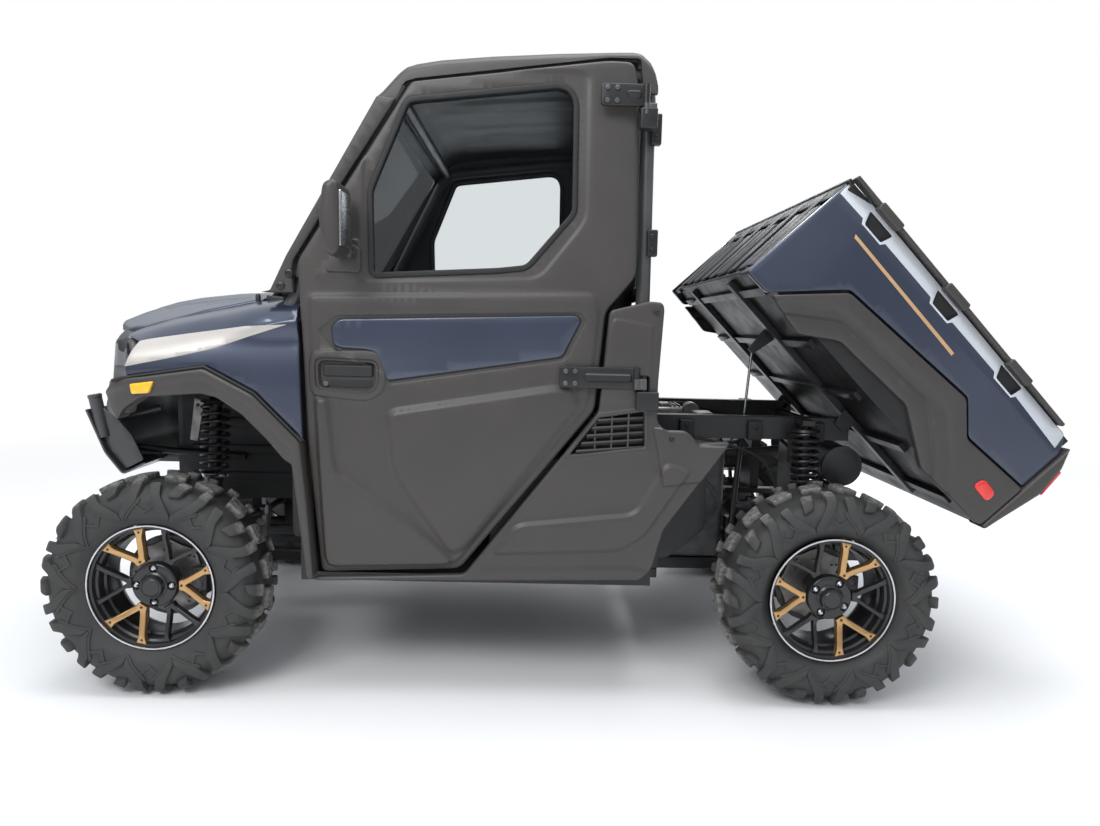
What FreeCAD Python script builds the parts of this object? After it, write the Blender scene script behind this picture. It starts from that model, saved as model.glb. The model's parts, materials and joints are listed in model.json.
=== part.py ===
import FreeCAD
import Part
import math
import os
import re

import Sketcher
from FreeCAD import Placement, Rotation, Vector

# Side by side utility vehicle with a full cab and a tipping bed, in millimetres.
# +Z is up and the vehicle faces -X, so its left side is at -Y.
# Every x size is measured backwards from the front axle, every z size up from the ground.

SIZES = {
    # Overall
    "wheelbase": 2080,
    "tyre_radius": 338,
    "tyre_outside": 800,
    "front_tyre_width": 230,
    "rear_tyre_width": 280,
    "clearance": 6,
    # Tyres
    "carcass_radius": 316,
    "bulge_radius": 262,
    "shoulder_inset": 20,
    "lug_proud": 7,
    "lug_count": 10,
    "lug_bar": 26,
    "lug_apex_radius": 266,
    "lug_spread": 70,
    "lug_inner": 12,
    # Wheels
    "rim_radius": 194,
    "rim_wall": 8,
    "front_rim_width": 190,
    "rear_rim_width": 220,
    "spoke_pairs": 6,
    "spoke_width": 17,
    "spoke_depth": 24,
    "spoke_inset": 16,
    "hub_radius": 68,
    "hub_cap_radius": 36,
    "hub_cap_height": 16,
    "disc_radius": 118,
    "disc_thick": 6,
    "disc_gap": 10,
    "caliper_gap": 5.2,
    "caliper_half_height": 38,
    "stub_radius": 20,
    # Steering and suspension
    "kingpin": 600,
    "knuckle_half_height": 95,
    "knuckle_radius": 17,
    "ball_radius": 15,
    "steering_arm": 100,
    "tie_rod_radius": 9,
    "rack_radius": 22,
    "rack_half_length": 150,
    "lower_arm_level": "tyre_radius - 54",
    "upper_arm_level": "tyre_radius + 120",
    "arm_radius": 15,
    "arm_half_base": 150,
    "arm_mount": 232.6,
    "shaft_radius": 14,
    "shock_radius": 36,
    "shock_rod_radius": 12,
    "front_shock_top": 892,
    "front_shock_x": 66,
    "rear_shock_top": 836,
    "shock_share": 0.6,
    "stub_reach": 44,
    # Frame
    "rail_offset": 190,
    "rail_width": 50,
    "rail_bottom": "tyre_radius - 76",
    "rail_height": 44,
    "rail_front": -170,
    "outrigger_offset": 600,
    "rear_post_x": "wheelbase - 520",
    "shock_arm_reach": 446,
    "front_top_low": 895,
    "front_top_high": 930,
    "rail_rear": "wheelbase + 160",
    "upper_rail_offset": 330,
    "upper_rail_width": 44,
    "upper_rail_bottom": 778,
    "upper_rail_top": 858,
    "column_radius": 18,
    # Cab
    "cab_half_width": 750,
    "door_thick": 42,
    "door_front": 440,
    "door_rear": "pillar_x - 28",
    "sill_level": "tyre_radius + 44",
    "belt_level": 1300,
    "door_top": 1935,
    "glass_thick": 6,
    "insert_thick": 3,
    "handle_depth": 22,
    "header_x": 722,
    "header_level": 1834,
    "back_bar_level": 1880,
    "belt_bar_level": 1262,
    "pillar_radius": 22,
    "pillar_x": 1474,
    "roof_top": 1976,
    "roof_half_width": 705,
    "roof_thick": 24,
    "floor_level": "tyre_radius + 34",
    "floor_thick": 26,
    "cab_rear_wall": "pillar_x + 28",
    "hinge_pin_x": "pillar_x - 21",
    "hinge_pin_y": 774,
    "hinge_radius": 9,
    "hinge_pin_radius": 5,
    "lower_hinge_level": 1006,
    "upper_hinge_level": 1800,
    "hinge_height": 64,
    # Front end
    "fender_half_width": 765,
    "flare_half_width": "fender_half_width + 25",
    "hood_half_width": 560,
    "hood_thick": 18,
    "hood_rear": 286,
    "hood_hinge_x": "hood_rear + 8",
    "hood_hinge_y": 430,
    "hood_hinge_level": 1242,
    "nose_front": -362,
    "bumper_front": -405,
    "bumper_half_width": 372,
    # Bed, as it lies when it is down
    "bed_tilt": 46,
    "bed_pivot_x": "wheelbase + 155",
    "bed_pivot_level": 840,
    "bed_front": "wheelbase - 515",
    "bed_rear": "wheelbase + 560",
    "bed_floor": 900,
    "bed_top": 1275,
    "bed_half_width": 728,
    "bed_wall": 26,
    "tail_reach": "bed_rear + 49",
    "tailgate_thick": 34,
    "rail_cap_long": 90,
    "notch_long": 76,
    "headboard_rib_wide": 60,
    "pivot_radius": 12,
    # Tipping strut
    "strut_y": 250,
    "strut_foot_x": "wheelbase - 195",
    "strut_foot_level": 452,
    "strut_eye_x": "wheelbase - 149",
    "strut_eye_level": 1092,
    "strut_body_radius": 11,
    "strut_rod_radius": 5,
    "strut_body_length": 325,
    "receiver_side": 51.4,
    "receiver_wall": 6.4,
    "receiver_length": 240,
    "hitch_pin_radius": 8,
    "rear_carrier": "kingpin - 40",
    "silencer_radius": 72,
    "pipe_radius": 20,
    "engine_top": 745,
    "engine_half_width": 225,
    "belt_housing_radius": 105,
    "silencer_level": 684,
    "cage_top_half": 650,
    "cage_foot_half": 676,
    "cage_cover_half": "cage_foot_half + 46",
    "door_inner_half": 700,
    "wheel_x": 800,
    "wheel_level": 1150,
    "wheel_reach": 180,
    "driver_offset": 320,
    # Worked out below
    "front_axle": 0,
}


doc = FreeCAD.newDocument("utility_vehicle")
sheet = doc.addObject("Spreadsheet::Sheet", "sizes")


def bound(text):
    """The expression with each size's word pointed at its cell."""
    return re.sub(r"[a-z][a-z_]*", lambda m: "sizes." + m[0] if m[0] in SIZES else m[0], str(text))


def number(text):
    """The value of an expression in millimetres or degrees."""
    return float(sheet.evalExpression(bound(text)))


def raised(x, z):
    """Where a point of the lowered bed goes when the bed is tipped, as (x, z)."""
    tilt = math.radians(number("bed_tilt"))
    along = number(f"{x} - bed_pivot_x")
    up = number(f"{z} - bed_pivot_level")
    return (
        number("bed_pivot_x") + along * math.cos(tilt) + up * math.sin(tilt),
        number("bed_pivot_level") - along * math.sin(tilt) + up * math.cos(tilt),
    )


CELLS = {word: f"B{row}" for row, word in enumerate(SIZES, 1)}
for word, cell in CELLS.items():
    sheet.set(cell.replace("B", "A"), word)
    sheet.setAlias(cell, word)
for word, cell in CELLS.items():
    value = SIZES[word]
    sheet.set(cell, f"={value}" if isinstance(value, str) else str(value))
doc.recompute()

# The origin is below the middle of the whole vehicle, so the front axle lies ahead of it.
tail_corner = raised("tail_reach - 68", "bed_top")
sheet.set(CELLS["front_axle"], str(-(number("bumper_front") + tail_corner[0]) / 2))
doc.recompute()

ACROSS = Vector(0, 1, 0)
SIDE_VIEW = Rotation(Vector(1, 0, 0), 90)
END_VIEW = Rotation(Vector(1, 1, 1), 120)
NODES = {}


def place(obj, x, y, z, rotation=Rotation()):
    """Put an object at x, y, z, with x measured from the front axle."""
    obj.Placement = Placement(Vector(number("front_axle"), 0, 0), rotation)
    for axis, text in zip("xyz", (f"front_axle + ({x})", y, z)):
        obj.setExpression(f"Placement.Base.{axis}", bound(text))
    return obj


def outline(name, points, rotation, x, y, z):
    """A closed sketch whose corners are tied to the sizes."""
    sketch = doc.addObject("Sketcher::SketchObject", name)
    corners = [Vector(number(a), number(b), 0) for a, b in points]
    count = len(points)
    sketch.addGeometry([Part.LineSegment(corners[i], corners[(i + 1) % count]) for i in range(count)])
    sketch.addConstraint([Sketcher.Constraint("Coincident", i, 2, (i + 1) % count, 1) for i in range(count)])
    for i, (a, b) in enumerate(points):
        for kind, text in (("DistanceX", a), ("DistanceY", b)):
            index = sketch.addConstraint(Sketcher.Constraint(kind, -1, 1, i, 1, number(text)))
            sketch.setExpression(f"Constraints[{index}]", bound(text))
    return place(sketch, x, y, z, rotation)


def extrude(name, sketch, length):
    """A solid drawn out from a sketch along its normal."""
    solid = doc.addObject("Part::Extrusion", name)
    solid.Base = sketch
    solid.DirMode = "Normal"
    solid.Solid = True
    solid.setExpression("LengthFwd", bound(length))
    doc.recompute()
    return solid


def plate(name, points, low, high):
    """A side outline (x, z), from y = low to y = high."""
    sketch = outline(f"{name}_outline", points, SIDE_VIEW, 0, high, 0)
    return extrude(name, sketch, f"({high}) - ({low})")


def plan(name, points, low, high):
    """A plan outline (x, y), from z = low to z = high."""
    sketch = outline(f"{name}_outline", points, Rotation(), 0, 0, low)
    return extrude(name, sketch, f"({high}) - ({low})")


def section(name, points, low, high):
    """A cross section (y, z), from x = low to x = high."""
    sketch = outline(f"{name}_outline", points, END_VIEW, low, 0, 0)
    return extrude(name, sketch, f"({high}) - ({low})")


def box(name, x, y, z):
    """A block given by its low and high x, y and z."""
    solid = doc.addObject("Part::Box", name)
    for side, (low, high) in zip(("Length", "Width", "Height"), (x, y, z)):
        solid.setExpression(side, bound(f"({high}) - ({low})"))
    place(solid, x[0], y[0], z[0])
    doc.recompute()
    return solid


def point(x, y, z):
    """A point in the model's frame, with x measured from the front axle."""
    return Vector(number(f"front_axle + ({x})"), number(y), number(z))


def rod(name, start, end, radius, sides=8):
    """A bar between two points, with enough flats to read as round."""
    solid = doc.addObject("Part::Prism", name)
    a, b = point(*start), point(*end)
    solid.Placement = Placement(a, Rotation(Vector(0, 0, 1), b - a))
    solid.Polygon = sides
    solid.setExpression("Circumradius", bound(radius))
    solid.Height = (b - a).Length
    doc.recompute()
    return solid


def pipe(name, points, radius, sides=8):
    """A tube along straight runs that are mitred where they meet."""
    knots = [point(*p) for p in points]
    spine = doc.addObject("Part::Feature", f"{name}_line")
    spine.Shape = Part.makePolygon(knots)
    ring = doc.addObject("Part::RegularPolygon", f"{name}_ring")
    ring.Polygon = sides
    ring.setExpression("Circumradius", bound(radius))
    ring.Placement = Placement(knots[0], Rotation(Vector(0, 0, 1), knots[1] - knots[0]))
    tube = doc.addObject("Part::Sweep", name)
    tube.Sections = [ring]
    tube.Spine = spine
    tube.Solid = True
    tube.Frenet = False
    tube.Transition = "Right corner"
    doc.recompute()
    return tube


def fuse(name, *pieces):
    """One solid from pieces that run into each other."""
    solid = doc.addObject("Part::MultiFuse", name)
    solid.Shapes = list(pieces)
    solid.Refine = True
    doc.recompute()
    return solid


def cut(name, base, *tools):
    """The base with each tool taken away."""
    tool = tools[0] if len(tools) == 1 else group(f"{name}_tools", *tools)
    solid = doc.addObject("Part::Cut", name)
    solid.Base = base
    solid.Tool = tool
    solid.Refine = True
    doc.recompute()
    return solid


def common(name, *pieces):
    """What the pieces have in common."""
    solid = doc.addObject("Part::MultiCommon", name)
    solid.Shapes = list(pieces)
    solid.Refine = True
    doc.recompute()
    return solid


def group(name, *pieces):
    """Several solids that stay apart, as one object."""
    whole = doc.addObject("Part::Compound", name)
    whole.Links = list(pieces)
    doc.recompute()
    return whole


def mirror(name, source):
    """The same piece on the other side of the vehicle."""
    other = doc.addObject("Part::Mirroring", name)
    other.Source = source
    other.Normal = ACROSS
    doc.recompute()
    return other


def both(name, source):
    """A piece on the left and its mirror image on the right."""
    return group(name, source, mirror(f"{name}_right_half", source))


def rounded(name, solid, corners, across="y"):
    """Round the edges along one axis that pass through the corners (a, b, radius)."""
    direction = {"x": Vector(1, 0, 0), "y": ACROSS, "z": Vector(0, 0, 1)}[across]
    picked = []
    for index, edge in enumerate(solid.Shape.Edges, 1):
        if len(edge.Vertexes) < 2 or not isinstance(edge.Curve, Part.Line):
            continue
        if abs(edge.Curve.Direction.dot(direction)) < 0.999:
            continue
        at = edge.Vertexes[0].Point - Vector(number("front_axle"), 0, 0)
        pair = {"x": (at.y, at.z), "y": (at.x, at.z), "z": (at.x, at.y)}[across]
        for a, b, radius in corners:
            if math.hypot(pair[0] - number(a), pair[1] - number(b)) < 0.01:
                picked.append((index, number(radius), number(radius)))
    piece = doc.addObject("Part::Fillet", name)
    piece.Base = solid
    piece.Edges = picked
    doc.recompute()
    return piece


def node(label, piece):
    """Name a finished sub-part, which is written to a file of that name."""
    piece.Label = label
    NODES[label] = piece
    return piece


# Tyres

def ring_solid(profile, sides, turn=0.0):
    """A closed ring of flat facets about the Y axis through a profile of (y, inner radius of the facets)."""
    step = 2 * math.pi / sides
    corners = []
    for y, flat in profile:
        radius = flat / math.cos(step / 2)
        angles = [math.radians(turn) + step * (i + 0.5) for i in range(sides)]
        corners.append([Vector(radius * math.sin(a), y, radius * math.cos(a)) for a in angles])
    faces = []
    for first, second in zip(corners, corners[1:] + corners[:1]):
        for i in range(sides):
            k = (i + 1) % sides
            faces.append(Part.Face(Part.makePolygon([first[i], first[k], second[k], second[i], first[i]])))
    return Part.Solid(Part.Shell(faces))


def tyre_profile(width, bead, grow):
    """The tyre's cross section as (y, radius), made larger by grow on its outside."""
    half = number(width) / 2
    inner = half - number("shoulder_inset")
    rim = number("rim_radius") + 0.3
    return [
        (-bead, rim),
        (-half - grow, number("bulge_radius")),
        (-inner - grow, number("carcass_radius") + grow * 2.8),
        (inner + grow, number("carcass_radius") + grow * 2.8),
        (half + grow, number("bulge_radius")),
        (bead, rim),
    ]


def chevron(half, side, middle):
    """One V-shaped shoulder lug, its point towards the rim."""
    bar = number("lug_bar")
    apex = number("lug_apex_radius")
    spread = number("lug_spread")
    top = number("tyre_radius") + 30
    rise = top - apex
    corners = [
        Vector(0, 0, apex),
        Vector(spread, 0, top),
        Vector(spread - bar * 1.25, 0, top),
        Vector(0, 0, apex + bar * 1.9 * rise / (rise + bar)),
        Vector(-spread + bar * 1.25, 0, top),
        Vector(-spread, 0, top),
    ]
    face = Part.Face(Part.makePolygon(corners + corners[:1]))
    inner = number("lug_inner")
    lug = face.extrude(Vector(0, half + 20 - inner, 0))
    lug.translate(Vector(0, inner, 0))
    if side < 0:
        lug = lug.mirror(Vector(), ACROSS)
    lug.rotate(Vector(), ACROSS, middle)
    return lug


def tyre(label, width, rim_width):
    """A tyre about the origin: a faceted carcass with V lugs that run from each shoulder to the crown."""
    half = number(width) / 2
    count = int(number("lug_count"))
    pitch = 360.0 / count
    sides = count * 2
    bead = number(rim_width) / 2 - 6
    carcass = ring_solid(tyre_profile(width, bead, 0), sides)
    grow = number("lug_proud")
    crown = number("tyre_radius")
    envelope = ring_solid(
        [
            (-bead, number("rim_radius") + 10),
            (-half - grow, number("bulge_radius")),
            (-half + number("shoulder_inset") - grow, crown),
            (half - number("shoulder_inset") + grow, crown),
            (half + grow, number("bulge_radius")),
            (bead, number("rim_radius") + 10),
        ],
        sides,
    )
    lugs = []
    for i in range(count):
        lugs.append(chevron(half, 1, pitch * i).common(envelope))
        lugs.append(chevron(half, -1, pitch * (i + 0.5)).common(envelope))
    body = carcass.multiFuse(lugs)
    body = body.removeSplitter()
    piece = doc.addObject("Part::Feature", label)
    piece.Shape = body.Solids[0]
    return piece


def wheel_places():
    """Name, x, sign of y, tyre width and rim width of each wheel."""
    return [
        ("front_left", "0", -1, "front_tyre_width", "front_rim_width"),
        ("front_right", "0", 1, "front_tyre_width", "front_rim_width"),
        ("rear_left", "wheelbase", -1, "rear_tyre_width", "rear_rim_width"),
        ("rear_right", "wheelbase", 1, "rear_tyre_width", "rear_rim_width"),
    ]


def make_tyres():
    """Four tyres, the right ones mirrored from the left so that each pair points the same way."""
    for name, x, side, width, rim_width in wheel_places():
        piece = tyre(f"tyre_{name}", width, rim_width)
        if side > 0:
            piece.Shape = piece.Shape.mirror(Vector(), ACROSS)
        place(piece, x, f"{side} * (tyre_outside - {width} / 2)", "tyre_radius")
        node(f"tyre_{name}", piece)


# Wheels

def disc_solid(radius, low, high, sides):
    """A round plate about the Y axis, with enough flats to read as round."""
    flat = Part.makeCircle(radius, Vector(0, low, 0), ACROSS)
    knots = flat.discretize(Number=sides + 1)
    return Part.Face(Part.makePolygon(knots)).extrude(Vector(0, high - low, 0))


def barrel(width):
    """The rim's barrel: a shallow taper with its outer lip proud and the face set back."""
    half = number(width) / 2
    outer = number("rim_radius")
    wall = number("rim_wall")
    inset = number("spoke_inset")
    face = outer - 7 - wall
    profile = [(-half, outer - 4 - wall), (-half, outer - 4), (half, outer), (half - inset, face)]
    return ring_solid(profile, int(number("lug_count")) * 2)


def spoke_outline():
    """One V of two spokes in the wheel's face, as (x, z) about the axle."""
    reach = number("rim_radius") - number("rim_wall") - 6
    bar = number("spoke_width")
    root = number("hub_radius") - 8
    open_ = math.radians(15)
    tip = Vector(reach * math.sin(open_), 0, reach * math.cos(open_))
    foot = Vector(bar * 0.7, 0, root)
    inner_tip = Vector(tip.x - bar, 0, math.sqrt(reach ** 2 - (tip.x - bar) ** 2))
    crotch = Vector(0, 0, root + bar * 1.9)
    right = [foot, tip, inner_tip]
    left = [Vector(-p.x, 0, p.z) for p in reversed(right)]
    corners = right + [crotch] + left
    return Part.Face(Part.makePolygon(corners + corners[:1]))


def make_wheels():
    """Four wheels: barrel, six V spokes, hub with its cap, brake disc and stub in one piece each."""
    for name, x, side, _, width in wheel_places():
        carrier = "kingpin" if x == "0" else "rear_carrier"
        half = number(width) / 2
        face_y = half - number("spoke_inset") - number("spoke_depth")
        cap_y = face_y + number("spoke_depth")
        middle = number(f"tyre_outside - 22 - {width} / 2")
        stub_y = number(f"{carrier} + stub_reach + 0.3") - middle
        disc_y = stub_y + number("disc_gap")
        count = int(number("spoke_pairs"))
        arms = []
        for i in range(count):
            arm = spoke_outline().extrude(Vector(0, number("spoke_depth"), 0))
            arm.translate(Vector(0, face_y, 0))
            arm.rotate(Vector(), ACROSS, 360.0 / count * i)
            arms.append(arm)
        hub = disc_solid(number("hub_radius"), face_y - 2, cap_y + 2, 16)
        cap = disc_solid(number("hub_cap_radius"), cap_y, cap_y + number("hub_cap_height"), 12)
        disc = disc_solid(number("disc_radius"), disc_y, disc_y + number("disc_thick"), 18)
        stub = disc_solid(number("stub_radius") + 14, stub_y, face_y + 2, 8)
        shape = barrel(width).multiFuse(arms + [hub, cap, disc, stub]).removeSplitter()
        piece = doc.addObject("Part::Feature", f"wheel_{name}")
        piece.Shape = shape.Solids[0]
        if side < 0:
            piece.Shape = piece.Shape.mirror(Vector(), ACROSS)
        place(piece, x, f"{side} * (tyre_outside - 22 - {width} / 2)", "tyre_radius")
        node(f"wheel_{name}", piece)


# Knuckles and steering

def caliper(name, axle, side, carrier):
    """A brake caliper over the rear edge of the disc, and the bracket that holds it to the hub."""
    mid = "tyre_radius"
    disc = "stub_reach + 0.3 + disc_gap"

    def across(inner, outer):
        near, far = f"{side} * ({carrier} + {inner})", f"{side} * ({carrier} + {outer})"
        return (far, near) if side < 0 else (near, far)

    height = (f"{mid} - caliper_half_height", f"{mid} + caliper_half_height")
    block = box(
        f"{name}_block",
        (f"{axle} + disc_radius - 34", f"{axle} + disc_radius + 16"),
        across(f"{disc} - 26", f"{disc} + disc_thick + 22"),
        height,
    )
    slot = box(
        f"{name}_slot",
        (axle, f"{axle} + disc_radius + caliper_gap"),
        across(f"{disc} - caliper_gap", f"{disc} + disc_thick + caliper_gap"),
        (f"{mid} - 60", f"{mid} + 60"),
    )
    bracket = box(
        f"{name}_bracket",
        (f"{axle} + 20", f"{axle} + disc_radius - 30"),
        across("24", f"{disc} - 16"),
        (f"{mid} - 18", f"{mid} + 18"),
    )
    return [cut(f"{name}_jaws", block, slot), bracket]


def make_knuckles():
    """Front uprights on their kingpins, each with its steering arm and caliper."""
    mid = "tyre_radius"
    for name, side in (("left", -1), ("right", 1)):
        y = f"{side} * kingpin"
        post = rod(
            f"knuckle_post_{name}",
            ("0", y, f"{mid} - knuckle_half_height"),
            ("0", y, f"{mid} + knuckle_half_height"),
            "knuckle_radius",
        )
        stub = rod(
            f"knuckle_stub_{name}",
            ("0", f"{side} * (kingpin - 4)", mid),
            ("0", f"{side} * (kingpin + stub_reach)", mid),
            "stub_radius + 16",
        )
        arm = box(
            f"knuckle_arm_{name}",
            ("-steering_arm - 14", "4"),
            (f"{side} * kingpin - 13", f"{side} * kingpin + 13"),
            (f"{mid} - 12", f"{mid} + 2.7"),
        )
        brake = caliper(f"front_caliper_{name}", "0", side, "kingpin")
        node(f"knuckle_{name}", fuse(f"knuckle_{name}", post, stub, arm, *brake))


def make_steering():
    """Rack bar with its tie rods in one piece, and the steering wheel on its column."""
    x = "-steering_arm"
    level = "tyre_radius + 14"
    bar = rod("rack_bar", (x, "-(kingpin - 14)", level), (x, "kingpin - 14", level), "tie_rod_radius")
    ends = []
    for side in (-1, 1):
        ends.append(
            rod(
                f"rack_end_{side + 1}",
                (x, f"{side} * kingpin", f"{level} - 11"),
                (x, f"{side} * kingpin", f"{level} + 11"),
                "tie_rod_radius + 6",
            )
        )
    node("steering_rack", fuse("steering_rack", bar, *ends))


# Frame

def make_main_frame():
    """Lower rails, cross members, outriggers, the strut's foot and the hitch receiver."""
    pieces = []
    low, high = "rail_bottom", "rail_bottom + rail_height"
    cross_low, cross_high = "rail_bottom + 4", "rail_bottom + 40"
    tub_bottom = "floor_level - floor_thick - 0.3"
    for side in (-1, 1):
        inner = f"{side} * rail_offset - rail_width / 2"
        outer = f"{side} * rail_offset + rail_width / 2"
        pieces.append(
            box(f"lower_rail_{side + 1}", ("rail_front", "rail_rear"), (inner, outer), (low, high))
        )
        beam = (f"{side} * outrigger_offset - 22", f"{side} * outrigger_offset + 22")
        pieces.append(
            box(f"outrigger_{side + 1}", ("500", "1500"), beam, (f"{cross_high} - 2", tub_bottom))
        )
    wide = "outrigger_offset + 22"
    crosses = (
        ("rail_front + 2", "rail_offset"),
        ("-20", "rail_offset"),
        ("500", wide),
        ("980", wide),
        ("1460", wide),
        ("rear_post_x + 2", "upper_rail_offset + 20"),
        ("wheelbase - 240", "rail_offset"),
        ("wheelbase - 20", "rail_offset"),
        ("rail_rear - 42", "rail_offset"),
    )
    for i, (x, reach) in enumerate(crosses):
        pieces.append(box(f"cross_{i}", (x, f"{x} + 40"), (f"-({reach})", reach), (cross_low, cross_high)))
    foot_y = "strut_y - strut_body_radius - 0.1"
    foot_x = ("strut_foot_x - 16", "strut_foot_x + 16")
    foot_z = (f"{high} - 2", "strut_foot_level + 16")
    pieces.append(box("strut_post", foot_x, (f"-({foot_y})", "-(rail_offset)"), foot_z))
    half = "receiver_side / 2"
    shell = f"{half} + receiver_wall"
    middle = "rail_bottom + rail_height / 2"
    end = "rail_rear + receiver_length"
    shell_z = (f"{middle} - ({shell})", f"{middle} + {shell}")
    pieces.append(box("receiver_tube", ("rail_rear - 42", end), (f"-({shell})", shell), shell_z))
    members = fuse("frame_members", *pieces)
    socket_z = (f"{middle} - {half}", f"{middle} + {half}")
    socket = box("receiver_socket", ("rail_rear", f"{end} + 10"), (f"-({half})", half), socket_z)
    bore = doc.addObject("Part::Cylinder", "hitch_bore")
    bore.setExpression("Radius", bound("hitch_pin_radius"))
    bore.Height = 200
    bore.Placement = Placement(point(f"{end} - 38", -100, middle), Rotation(Vector(0, 0, 1), ACROSS))
    node("main_frame", cut("main_frame", members, socket, bore))


def make_front_frame():
    """Posts and top rails that carry the nose, the shocks and the steering rack."""
    pieces = []
    foot = "rail_bottom + rail_height + 0.3"
    for side in (-1, 1):
        inner = f"{side} * rail_offset - rail_width / 2"
        outer = f"{side} * rail_offset + rail_width / 2"
        for i, post_x in enumerate(("-150", "114")):
            pieces.append(
                box(
                    f"front_post_{side + 1}_{i}",
                    (post_x, f"{post_x} + 36"),
                    (inner, outer),
                    (foot, "front_top_high - 2"),
                ),
            )
        pieces.append(
            box(
                f"front_top_{side + 1}",
                ("nose_front + 47", "428"),
                (inner, outer),
                ("front_top_low", "front_top_high"),
            ),
        )
        reach = ("-(shock_arm_reach)", "-(rail_offset)") if side < 0 else ("rail_offset", "shock_arm_reach")
        arm_x = ("front_shock_x - 24", "front_shock_x + 24")
        pieces.append(
            box(f"front_shock_arm_{side + 1}", arm_x, reach, ("front_shock_top + 2", "front_top_high"))
        )
    pieces.append(
        box(
            "front_tie",
            ("114", "150"),
            ("-rail_offset", "rail_offset"),
            ("front_top_low + 2", "front_top_high - 2"),
        ),
    )
    rack, level = "-steering_arm", "tyre_radius + 14"
    ends = ("-(rail_offset + 10)", "rail_offset + 10")
    pieces.append(rod("rack_housing", (rack, ends[0], level), (rack, ends[1], level), "rack_radius"))
    bore = rod(
        "rack_bore",
        (rack, "-rail_offset - 30", level),
        (rack, "rail_offset + 30", level),
        "tie_rod_radius + 1",
    )
    node("front_frame", cut("front_frame", fuse("front_frame_members", *pieces), bore))


def make_rear_frame():
    """Upper rails with the bed's pivots, on their posts, sub-rails and shock towers."""
    pieces = []
    foot = "rail_bottom + rail_height + 0.3"
    for side in (-1, 1):
        tag = side + 1
        inner = f"{side} * rail_offset - rail_width / 2"
        outer = f"{side} * rail_offset + rail_width / 2"
        upper_in = f"{side} * upper_rail_offset - upper_rail_width / 2"
        upper_out = f"{side} * upper_rail_offset + upper_rail_width / 2"
        upper = [
            ("rear_post_x", "upper_rail_bottom"),
            ("bed_pivot_x + 27", "upper_rail_bottom"),
            ("bed_pivot_x + 27", "upper_rail_top - 26"),
            ("bed_pivot_x + 1", "upper_rail_top"),
            ("rear_post_x", "upper_rail_top"),
        ]
        pieces.append(plate(f"upper_rail_{tag}", upper, upper_in, upper_out))
        post = (f"{upper_in} + 2", f"{upper_out} - 2")
        post_z = ("rail_bottom + 40.3", "upper_rail_bottom + 4")
        pieces.append(box(f"rear_post_{tag}", ("rear_post_x", "rear_post_x + 44"), post, post_z))
        sub_z = ("upper_arm_level + 22", "upper_arm_level + 42")
        pieces.append(box(f"sub_rail_{tag}", ("wheelbase - 168", "wheelbase + 168"), (inner, outer), sub_z))
        tower = "upper_rail_offset + 20"
        ys = (f"-({tower})", "-(rail_offset)") if side < 0 else ("rail_offset", tower)
        tower_z = ("upper_arm_level + 30", "upper_rail_bottom + 6")
        pieces.append(box(f"shock_tower_{tag}", ("wheelbase - 14", "wheelbase + 22"), ys, tower_z))
        reach = ("-(shock_arm_reach)", "-(upper_rail_offset)") if side < 0 else (
            "upper_rail_offset", "shock_arm_reach"
        )
        arm_z = ("rear_shock_top + 2", "rear_shock_top + 20")
        pieces.append(box(f"rear_shock_arm_{tag}", ("wheelbase - 14", "wheelbase + 30"), reach, arm_z))
        for i, post_x in enumerate(("wheelbase - 168", "wheelbase + 132")):
            stub_z = (foot, "upper_arm_level + 24")
            pieces.append(box(f"rear_stub_{tag}_{i}", (post_x, f"{post_x} + 36"), (inner, outer), stub_z))
    tie_z = ("upper_rail_bottom + 4", "upper_rail_bottom + 44")
    tie_y = ("-upper_rail_offset", "upper_rail_offset")
    pieces.append(box("rear_tie", ("wheelbase + 112", "wheelbase + 152"), tie_y, tie_z))
    hanger_z = ("silencer_level + silencer_radius + 0.3", "upper_rail_bottom + 18")
    pieces.append(box("silencer_hanger", ("wheelbase + 140", "wheelbase + 184"), ("-20", "20"), hanger_z))
    ends = [("bed_pivot_x", y, "bed_pivot_level") for y in ("-500", "500")]
    node(
        "rear_frame",
        cut(
            "rear_frame", fuse("rear_frame_members", *pieces), rod("pivot_bore", *ends, "pivot_radius", 10)
        ),
    )


# Suspension

def arm_pair(name, axle, side, level, ball_level, ball_y, seat=False):
    """One V-shaped arm from its two frame bushings to its ball joint, with a shock seat if asked."""
    base = f"{side} * arm_mount"
    tip = (axle, f"{side} * ({ball_y})", ball_level)
    legs = []
    for i, reach in enumerate(("-arm_half_base", "arm_half_base")):
        foot = (f"{axle} + {reach}", base, level)
        legs.append(rod(f"{name}_leg_{i}", foot, tip, "arm_radius", 4))
        legs.append(
            rod(
                f"{name}_bush_{i}",
                (f"{axle} + {reach} - 22", base, level),
                (f"{axle} + {reach} + 22", base, level),
                "arm_radius + 5",
                6,
            )
        )
    legs.append(
        rod(
            f"{name}_ball",
            (axle, tip[1], f"{ball_level} - 17.7"),
            (axle, tip[1], f"{ball_level} + 17.7"),
            "arm_radius + 7",
            8,
        )
    )
    if seat:
        share = "shock_share"
        y = f"{base} + ({tip[1]} - {base}) * {share}"
        z = f"{level} + ({ball_level} - {level}) * {share}"
        reach = f"arm_half_base * (1 - {share})"
        legs.append(
            rod(f"{name}_seat", (f"{axle} - {reach}", y, z), (f"{axle} + {reach}", y, z), "arm_radius", 6)
        )
    return fuse(name, *legs)


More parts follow.
